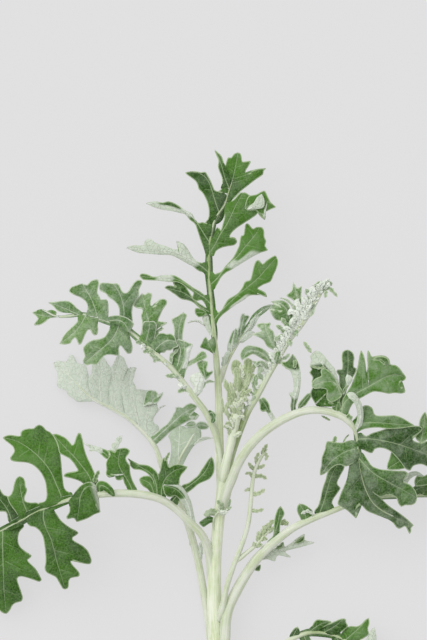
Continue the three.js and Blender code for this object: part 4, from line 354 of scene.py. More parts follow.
# Largest leaf, at the lower left
LEAVES["leaf_lower_left"] = dict(
    stalk=[0.3, 17, 10.8, 1.5, -0.1, 22, 12.2, 1.9, -0.7, 27, 13.6, 2, -1.3, 32.6, 15.9, 1.9,
        -2.6, 37.4, 18.9, 1.8, -5, 42.4, 22.3, 1.7, -10, 47.6, 25.2, 1.7, -16, 53.2, 28.4, 1.7,
        -22, 56.8, 31, 1.7, -30, 58.6, 33, 1.7, -38, 58.9, 34, 1.6, -46, 58.5, 34, 1.5, -52, 57.6, 33, 1.4,
        -58, 56.2, 31, 1.3, -66, 53.3, 28, 1.2, -72, 50.5, 25.3, 1.1, -80, 46.2, 21, 1, -88, 41.9, 16, 0.9,
        -97, 37.2, 10.5, 0.7, -103, 34.3, 7.4, 0.5],
)
LEAVES["leaf_lower_left"]["blades"] = [
    blade([-60, 55.5, 30.5, -61.5, 59.5, 31.4, -63.2, 63.5, 32.4, -64.8, 67.2, 33, -67.6, 71.2, 33,
        -71, 74.6, 32.4, -74.8, 77.6, 31, -79, 79.8, 29.4, -84.2, 81, 27.5], [-70, 54.9, -67.6, 55.4,
        -66.7, 57.2, -66.7, 60.5, -67.3, 64, -68.8, 67, -70.6, 69, -72.5, 70.4, -75, 71.2, -78.5, 71.4,
        -80.4, 71.7, -81.2, 72.8, -80.3, 74.2, -79.5, 75.6, -80, 77.2, -81.8, 78.8, -83.6, 80.1], [-56.5, 59,
        -58.4, 59.6, -59.6, 61, -60.1, 64, -60.5, 68, -60.8, 71.5, -61.4, 75.5, -62.5, 79.2, -63.8, 81.8,
        -65.5, 83.4, -66.8, 84.1, -67.8, 85.3, -69.6, 86.2, -71, 85.6, -71.6, 84.8, -73.4, 84.7, -75.8, 84.2,
        -77, 83.2, -77, 81.8, -78.6, 81.8, -80.6, 82.1, -82.6, 81.9]),
    blade([-47.5, 58.4, 34, -48.3, 62.5, 35, -50, 66.5, 35.7, -53, 70.5, 36, -56, 74, 35.4, -59, 77, 34.2,
        -64, 82.4, 32], [-50.5, 60.6, -52.4, 63.2, -54.5, 64.3, -57, 65, -59.6, 65.6, -59.4, 66.6,
        -57.5, 67.3, -55.5, 67.6, -54.1, 68, -54.8, 69.5, -56.2, 71.5, -57.8, 73, -59.8, 74, -61.4, 75,
        -62, 77.5, -62.8, 79.8, -63.8, 81.4], [-45, 61.5, -46.2, 64.5, -47.6, 67.4, -49, 70.6, -50.5, 73.6,
        -51.6, 77, -52.2, 80.4, -53, 82.8, -53.8, 83, -54.6, 81.6, -55.2, 79.8, -55.7, 78.4, -56.4, 78.2,
        -57.4, 79.4, -59, 81, -61, 82, -62.6, 82.6]),
    blade([-47.6, 63, 35.6, -46.8, 65.6, 35.8, -45.6, 68, 35.4], wide=0.9, free=True),
    blade([-46, 58.6, 34.5, -48.2, 61.6, 37.4, -51, 61.2, 40, -53, 57.6, 41.2, -53.6, 52.6, 39.8,
        -54.6, 47.6, 37], [-46, 57.6, -47.8, 58.4, -47.9, 56.8, -47, 54.6, -45.9, 52.8, -45.1, 51.5,
        -47.5, 50.6, -50, 49.1, -52.4, 48.2], [-46.6, 61.4, -48.8, 63.5, -52, 62.7, -54.2, 60.7, -55.8, 58.2,
        -57.5, 56, -57.3, 53.6, -57.4, 51.6, -58.6, 49.7, -58.2, 48.7, -56.6, 49.1, -55.4, 49],
        pale=[(BOTH, 0, 0.18, 0)]),
    blade([-45.2, 58.6, 34.4, -45.4, 62, 37.2, -42.6, 61.4, 38.4, -39.4, 57.7, 37], [-46.8, 60.4, -46.6, 63,
        -45.4, 63.9, -43.2, 63.7, -41.2, 62.3, -39.7, 60], [-44, 60.4, -42.8, 59.8, -41, 58.3]),
    blade([-74, 49.6, 24.5, -76, 55, 25.6, -77.2, 60, 25.4, -77.6, 65.5, 24], [-79, 51, -81.5, 54.6,
        -82.4, 57.3, -81.2, 58, -80.3, 59.8, -79.8, 62.2, -78.9, 64.6], [-70.5, 54.8, -73.4, 55, -75.4, 55.7,
        -75.6, 57, -74.9, 58.8, -74.6, 60.3, -75.2, 61.4, -75.3, 63.2, -76.2, 64.9]),
    blade([-80.6, 45.9, 20.4, -82, 51, 21.2, -85, 55.5, 20.6, -89, 59.5, 19, -93.5, 64, 16.5], [-82.4, 48.2,
        -83.2, 51.1, -86.4, 51.4, -90, 53.2, -93.4, 56, -97, 58.4, -96.6, 60.4, -94.6, 61.8], [-77.4, 49.6,
        -79.8, 54, -82.2, 57.2, -84.2, 58.2, -85.6, 60.4, -88, 62, -90, 64.4, -92, 64.8]),
    blade([-92.5, 39.6, 13.2, -97, 46, 13.6, -103, 50, 11.5, -109.5, 52.5, 8], [-98, 40.4, -100.4, 44.4,
        -103.5, 45, -106, 46.8, -109, 48, -109, 50.4], [-90, 45, -92.6, 49, -96, 50.8, -98.6, 53, -101, 55.2,
        -103.6, 54.8, -105.4, 53.2]),
    blade([-67.6, 52.4, 27.6, -68, 49, 28.2, -67, 45, 28.2, -65.2, 41, 27.2, -63.8, 36, 25.4,
        -62.6, 31, 23.4, -61, 25.4, 20.8, -59.4, 20, 18], [-62.4, 53.8, -63.8, 52.4, -62.6, 50.2,
        -61.4, 48.4, -59.5, 46.6, -57, 44.8, -54.6, 43.6, -54, 42.9, -54.8, 42, -56.2, 41.2, -56.3, 40.2,
        -54.5, 39, -52.2, 37.6, -50.2, 35.6, -49.2, 33.4, -48.8, 31.6, -49.4, 30.4, -51, 30.4, -53.5, 31,
        -55.5, 31.7, -57, 32.1, -57, 31, -56, 29.6, -54.4, 27.8, -53.6, 26.2, -54, 25.3, -55.6, 25,
        -57.2, 24.6, -57.9, 23.6, -58, 22, -58.3, 20.6], [-73.6, 45.7, -71.4, 45.2, -69.6, 43.8, -68.2, 41.4,
        -67.6, 38, -67.2, 34, -67.2, 31, -67.6, 28.6, -66.9, 27.1, -65, 26, -63.2, 25, -62.2, 23.4,
        -61, 21.2, -60.3, 20.2]),
    blade([-84.4, 43.8, 18.5, -84.6, 38, 18.2, -84.4, 30, 16.4, -84.2, 20, 12.6, -83.4, 9.8, 7.5],
        [-76, 45.4, -77.8, 43, -78.4, 40, -77.8, 37.4, -76, 35.6, -74, 34.3, -73, 33.5, -73.6, 32.5,
        -74.6, 31.8, -73.4, 30.2, -71.4, 28.2, -69.8, 25.6, -69, 23.8, -69.8, 23, -72, 23.7, -75, 24.7,
        -77.6, 25.1, -78.7, 24.4, -78.2, 21.8, -77.2, 18.8, -76.6, 16.4, -77.2, 15, -79, 14.5, -80.6, 13.6,
        -81.8, 11.4], [-88.6, 41, -90.4, 37.6, -92.6, 35, -93.8, 33.4, -92.6, 31.8, -92.4, 30.4, -94.6, 28.4,
        -96.6, 25, -97.4, 22, -96, 21.6, -93, 22.8, -90, 23.2, -89.8, 20.4, -90.8, 17, -90.8, 15.2,
        -89, 14.4, -87.2, 13, -85.6, 10.8]),
    blade([-95.5, 37.8, 11.4, -98.4, 31.6, 10, -100.6, 24.6, 7.6, -101.6, 18, 4.6], [-94, 36.6, -94.4, 33.6,
        -95.2, 31, -95.4, 28, -94.4, 24.8, -94, 22, -96, 21.4, -98.4, 20.4], [-98.6, 36, -101.2, 33.6,
        -103.6, 30, -105.4, 26.4, -106.8, 22.4, -105, 21.4, -103.4, 20]),
    blade([-98, 36.6, 10, -103, 34.3, 8, -108, 32, 5.6, -114, 30.6, 3], [-99.6, 33.6, -103, 31, -106, 29.6,
        -109.6, 27.4, -112.4, 26.6, -112, 28.4], [-99.4, 38.8, -103.4, 38, -108.4, 37.2, -111.4, 37,
        -113.6, 36.2, -112.6, 33.6]),
    blade([-32, 59, 33.5, -33.4, 62.6, 35.2, -35.2, 65.6, 37, -37, 68.6, 38, -38, 72, 38, -37, 76.9, 36.5],
        [-34.2, 60.4, -35.6, 63, -36.2, 65.2, -37.2, 64.2, -38.7, 64.4, -39.6, 66.2, -40.6, 66.6,
        -41.6, 65.3, -42.8, 66.4, -42.6, 68.6, -42.8, 71, -42, 73, -41.2, 74.4, -42.2, 76, -40.6, 76.1,
        -39.4, 75.2, -38.8, 76.4], [-30.6, 60.4, -31.8, 63, -32.8, 65.4, -33.3, 67.8, -33.4, 70, -34.6, 71.8,
        -34.9, 73.2, -33.8, 74.6, -33.4, 76, -34.8, 77]),
    blade([-41.4, 73, 37, -44, 75.4, 37, -47.4, 77, 36, -52, 79, 34.5], [-42.6, 72.6, -44.8, 74.4, -47, 75.8,
        -49.4, 75.7, -49.2, 76.9], [-42, 75.7, -44.6, 77, -48, 78], free=True, pale=[(BOTH, 0.3, 1, 0)]),
    blade([-40.6, 73.4, 36.4, -39.4, 77.4, 36.6, -36.6, 81.8, 35], wide=1.3, free=True, pale=ALL_OVER),
    blade([-22.6, 56.8, 31.3, -22.8, 62, 33.4, -24.6, 66.4, 34.4, -28.4, 69, 34.4, -34.2, 72.7, 33],
        [-24.4, 59.4, -24, 63.4, -25.4, 65.8, -27.6, 67.6, -29.8, 68.3, -31.8, 68.5, -33.2, 70, -33.4, 71.4],
        [-21.2, 59, -21.6, 64.6, -22.8, 67.6, -24.6, 69.2, -26.6, 70.2, -29.4, 70.5, -32.2, 71.8]),
    blade([-23.4, 57.4, 31.6, -25, 62.2, 33.6, -27.4, 64, 34, -29.6, 64.5, 33.2], [-24.8, 59, -26.6, 60.8,
        -28.2, 61.8, -29.2, 63], [-22.6, 61, -25, 65.4, -27.2, 65.9, -28.8, 65.4]),
    blade([-20.8, 56.2, 30.8, -20.6, 61, 33, -19, 65, 33.8, -15.4, 68, 33.2, -10.4, 69.4, 31.5], [-22.4, 58,
        -22.6, 62, -22.4, 65.6, -21.2, 68.2, -20.7, 71, -20, 73, -18.8, 73, -18.3, 71, -17.8, 69.3,
        -16, 70.2, -13.8, 70.5, -12, 70], [-19.2, 56.6, -18.8, 60, -17, 61.4, -15.2, 61.9, -13.7, 62.6,
        -13.5, 64.6, -12.7, 66.4, -11.2, 68]),
    blade([-19.4, 71.4, 33.4, -18.4, 73.6, 33.2, -17.5, 75.2, 32.6], wide=0.6, free=True),
    blade([-17.6, 54, 28.8, -13.6, 59, 30.2, -10, 61.6, 31, -5.6, 65, 31.2, -2.6, 68.6, 30.8,
        -0.8, 73.4, 30], [-16.4, 57.4, -13.4, 60.6, -12.2, 62.2, -10, 63, -8, 64.5, -6.2, 66, -5, 68,
        -3.6, 70, -2.2, 72.2], [-14.6, 54, -12, 57.8, -9.8, 59.4, -8, 60.8, -6, 62.5, -3.6, 63.6, -1.6, 64.6,
        0, 66.8, 0.4, 69.6, 0, 72.2]),
    blade([-9, 46.6, 24.7, -9.4, 52, 27.6, -11.8, 57.2, 30.8, -15.4, 60.8, 33.2, -20.2, 62, 33.8],
        [-10.8, 48.6, -10.8, 52, -13, 55.6, -15.4, 58, -17.4, 57.3, -19.4, 58.4, -20, 60.4], [-7.4, 46.4,
        -8.1, 51.5, -9.2, 56, -11.4, 60, -14, 62.6, -17.4, 63.1], pale=[(BOTH, 0, 0.5, 0),
        (RIGHT, 0.5, 1, 0.35)]),
]
# Leafy side shoot at the upper right
LEAVES["shoot_upper_right"] = dict(
    stalk=[4, 62, 21.4, 1.5, 6, 70, 22.4, 1.5, 8.8, 79, 25.2, 1.5, 11.4, 86, 28, 1.45, 14, 92, 30.6, 1.4,
        17, 97, 32.6, 1.35, 19.7, 102, 34.4, 1.3, 21.8, 106, 35.6, 1.3, 24.6, 111, 36.8, 1.3,
        27.4, 116, 38, 1.35, 30.2, 120.6, 39.2, 1.4, 33.2, 124.4, 40, 1.5, 35.8, 128, 40.6, 1.5,
        38.2, 131.8, 40.8, 1.5, 40.4, 135.6, 40.4, 1.4, 42.4, 139.2, 39.6, 1.2, 44.6, 141.8, 38.6, 0.8],
    green=[0, 1, 0.3, 0.9, 0.45, 0.3, 0.6, 0, 1, 0],
    young=[(0.3, 0.5, 12, 5, 0.8, 0.5, LEFT), (0.5, 0.85, 34, 7, 1, 1, LEFT),
        (0.8, 1, 18, 4.6, 0.7, 1, LEFT), (0.55, 1, 16, 1.8, 0.6, 1, RIGHT)],
)
LEAVES["shoot_upper_right"]["blades"] = [
    blade([30, 119.6, 39.6, 30.6, 122.6, 42, 29.6, 124.8, 42.6, 27.6, 124.6, 42], wide=1.1, pale=ALL_OVER),
    blade([33, 123.8, 40.6, 31.2, 126.2, 43, 31.6, 128.4, 43.4, 33.4, 128.2, 43], wide=1.2, pale=ALL_OVER),
    blade([34.4, 126, 41, 33.6, 129.6, 43.4, 31, 131.6, 43.6, 29.6, 130, 43], wide=1.3, pale=ALL_OVER),
    blade([36.4, 129, 41.4, 34.6, 132, 43.4, 33, 134.6, 43.6, 34, 136.4, 43], wide=1.4, pale=ALL_OVER),
    blade([38, 131.4, 41.6, 37, 135, 43.2, 35.4, 137.2, 43.4], wide=1.4, pale=ALL_OVER),
    blade([37.6, 129.8, 42, 38, 132.6, 43.6, 39.6, 134.6, 43.4, 39.9, 132.2, 42.4], wide=0.6,
        pale=[(BOTH, 0, 0.6, 0)]),
    blade([40, 134.8, 41.4, 38.8, 138.4, 42.8, 40, 141.4, 42.4], wide=1.4, pale=ALL_OVER),
    blade([42, 138.4, 40.8, 42.2, 141.4, 42, 44.4, 143.4, 41.4], wide=1.2, pale=ALL_OVER),
    blade([43.2, 139.8, 40.4, 45, 141.4, 41.4, 46.2, 143, 41], wide=0.9, pale=ALL_OVER),
    blade([23, 109.5, 36.4, 20.6, 113.8, 39, 16.6, 115.8, 41, 13.2, 115.2, 42, 11.3, 112, 41], [18.2, 113.2,
        15.6, 114.4, 13.2, 113], [20.4, 116, 17, 117.5, 13, 117.7, 10.6, 114.6]),
    blade([20.6, 104, 35, 18.2, 106.2, 37.4, 18.4, 109.4, 38, 15.6, 111.6, 37.4], wide=1.1),
    blade([22, 107, 36, 20.8, 109.6, 38.6, 18.6, 111.4, 39.4, 16.6, 109.4, 39], wide=0.9),
    blade([18.2, 99.4, 33.6, 16.4, 102.6, 35.4, 17.6, 106.6, 36], wide=1.2),
    blade([26, 115, 37.7, 23.6, 118.6, 39.4, 21.4, 122.6, 40, 20.2, 126.8, 39], [23.6, 116.2, 21, 117.8,
        20, 119.8, 18, 121.2, 15.4, 122.3, 17.6, 123.2, 19, 123.7, 18.2, 124.6, 17, 125.6, 17.6, 126.5,
        19, 126.8], [26, 117, 25, 119.4, 24.4, 121.8, 23.6, 123.8, 22.2, 125, 22.8, 126.2, 22.4, 127,
        21.4, 126.8]),
    blade([31, 123.6, 39, 30.4, 128.6, 41.4, 28.6, 132.8, 42.4, 26, 134.9, 42.2, 22.8, 135.2, 41],
        [28, 127.6, 24.6, 128.2, 22.5, 132.2, 26.8, 131.4, 26.8, 133.2], [31, 131, 29.8, 134.2, 27, 135.9]),
    blade([29.4, 121, 38.6, 27.8, 124, 40.4, 24.7, 126, 40.4], wide=1.1),
    blade([34.4, 128.2, 39.5, 33.8, 133, 41, 33, 138, 41.4, 31.8, 143, 40.4], [32.3, 131.5, 32.3, 135.4,
        29, 137.8, 31, 139.6], [35.4, 133, 34.8, 137, 35, 141.6, 33.4, 140.6]),
    blade([33, 126.4, 39.3, 32.4, 132, 42.6, 29.6, 135.6, 43.6, 26.4, 136.8, 43], wide=0.6),
    blade([38.4, 133.4, 39.8, 38.4, 137, 41.4, 36.6, 140.6, 41.4], wide=1.2),
    blade([36.4, 131, 39.7, 38.6, 134.6, 42, 40, 132.4, 43, 38.4, 129.2, 42.6], wide=0.7),
    blade([28.6, 119.4, 38.4, 26.4, 121.4, 40.6, 24.2, 119.6, 41], wide=1.2),
    blade([31.4, 124, 39.1, 28.6, 126.6, 41.6, 27, 129, 42], wide=1.1),
    blade([33, 126.3, 39.3, 32.2, 129.6, 41.8, 34.6, 131.6, 42.6], wide=1.1),
    blade([30, 122, 38.8, 31.6, 124.4, 41, 33.4, 121.6, 41.6], wide=1.1),
    blade([27.4, 117.4, 38, 29.6, 119.8, 40.2, 30.8, 117.6, 40.6], wide=1.2),
    blade([41.6, 138, 39.5, 40.4, 141, 41, 43, 143.2, 41], wide=1.1),
    blade([43.6, 140.8, 39, 46.2, 140.6, 40.4, 49.3, 137.2, 39.4], wide=0.8),
    blade([42.8, 139.8, 39.2, 44.6, 139.4, 41, 44.4, 136.8, 41], wide=0.8),
    blade([44, 141.2, 38.8, 45.8, 143.2, 39.2, 47, 141.6, 39.2], wide=0.9),
    blade([24.4, 111.8, 37, 27.2, 111, 37.6, 30.2, 108.2, 36.4], wide=0.8),
    blade([25.2, 113.4, 37.2, 28, 112.6, 38.2, 30.4, 114.6, 37.8], wide=0.8),
    blade([23, 109, 36.4, 25, 112.6, 39.2, 25.6, 116, 40], wide=1.2),
]
# Small yellowish shoot beside the stem
LEAVES["shoot_centre"] = dict(
    stalk=[3.2, 62, 24.4, 1.5, 4.6, 69, 27.2, 1.6, 6, 75, 28.8, 1.7, 7.4, 81, 30.2, 1.8, 8.3, 87, 31.4, 2.15,
        9.5, 93, 32.2, 2.1, 10.6, 98.6, 33, 1.7, 11.2, 103, 33.6, 1.2, 12.4, 106, 34, 0.8,
        13.4, 109, 34, 0.5],
    young=[(0.4, 0.62, 16, 4.4, 0.8, 0.7, BOTH), (0.6, 0.95, 40, 5.6, 0.95, 0.6, BOTH)],
)
LEAVES["shoot_centre"]["blades"] = [
    blade([10.8, 100.6, 33.6, 12.8, 104.6, 35, 13.6, 108.6, 35.4, 14, 112.8, 34], [10.8, 102.6, 11.6, 105,
        11.8, 107.6, 12.2, 109.4, 12, 111.4, 13, 112.6], [13, 100.6, 14.4, 102.4, 15, 104.6, 15.2, 107,
        15.7, 108.4, 15.3, 110, 15.6, 111.6]),
    blade([9.4, 95.4, 33, 9.4, 100.6, 36, 9.4, 105.4, 36.6, 9, 109.2, 35.6], [8.2, 98, 8.4, 101, 7.9, 103.6,
        8.3, 105.4, 7.8, 107.4], [11, 97.6, 10.8, 101, 11, 104, 10.6, 106, 10.7, 108]),
    blade([11.6, 102.8, 33.8, 10.4, 106.6, 33.4, 9.2, 112.2, 32.6], [9.4, 104.6, 7.2, 107.4, 7, 110,
        7.8, 111.8], [11.4, 106, 11, 108.6, 10.8, 111]),
    blade([8.4, 90, 32.2, 6.6, 94, 34.6, 6, 98.6, 35.2], wide=1),
    blade([7.9, 87, 31.6, 5.8, 89.6, 33.8, 5, 93.4, 34.6, 6, 95.6, 34.4], wide=0.8),
    blade([8.6, 91.6, 32.4, 7.4, 97, 35.2, 5.2, 101.4, 35.8, 4.6, 104.6, 35], wide=1.3),
    blade([8.8, 92.6, 32.6, 10.6, 95.4, 35, 13.4, 96.8, 35], wide=1),
    blade([9.6, 96.4, 33.2, 12.2, 98.6, 35, 15.2, 100.4, 35.2], wide=1),
    blade([7.4, 83.6, 31, 5, 86, 32.4, 3.6, 85, 32.8], wide=0.6),
    blade([8.2, 88.6, 32, 4, 92, 33.6, 3.4, 97.4, 34.4], wide=0.7),
    blade([10.2, 98.6, 33.4, 12.8, 101.4, 35.6, 14, 104.4, 35.8], wide=1),
    blade([9.4, 95, 33, 7.6, 100, 36.4, 6.6, 103.4, 36.4], wide=0.8),
]
# Large leaf at the right
LEAVES["leaf_right"] = dict(
    stalk=[2.8, 48, 20, 1.2, 3.4, 52, 21.8, 1.8, 4.4, 56.4, 24.2, 1.95, 5.6, 60.4, 27, 1.95,
        7.2, 64, 29.4, 1.9, 9.3, 69.5, 32.2, 1.9, 12.2, 74.8, 35, 1.95, 15.8, 79.4, 37.4, 1.95,
        20.2, 83.6, 39.6, 1.95, 25, 87, 42, 1.9, 30, 89.7, 43.6, 1.8, 35, 91.6, 45, 1.7,
        40, 92.3, 45.6, 1.65, 44, 92, 46, 1.6, 48, 91, 46, 1.6, 51.6, 89.4, 45.8, 1.55,
        54.2, 87.2, 45.2, 1.5, 56, 84.4, 44.4, 1.1, 57, 81, 43.2, 0.7, 57.4, 77, 42, 0.4, 58, 72, 40.4, 0.3,
        59, 66, 38, 0.25, 60.6, 60.5, 35.6, 0.22, 63.6, 55, 32.6, 0.2, 68, 51.4, 30, 0.18,
        72, 49.4, 28, 0.16],
)
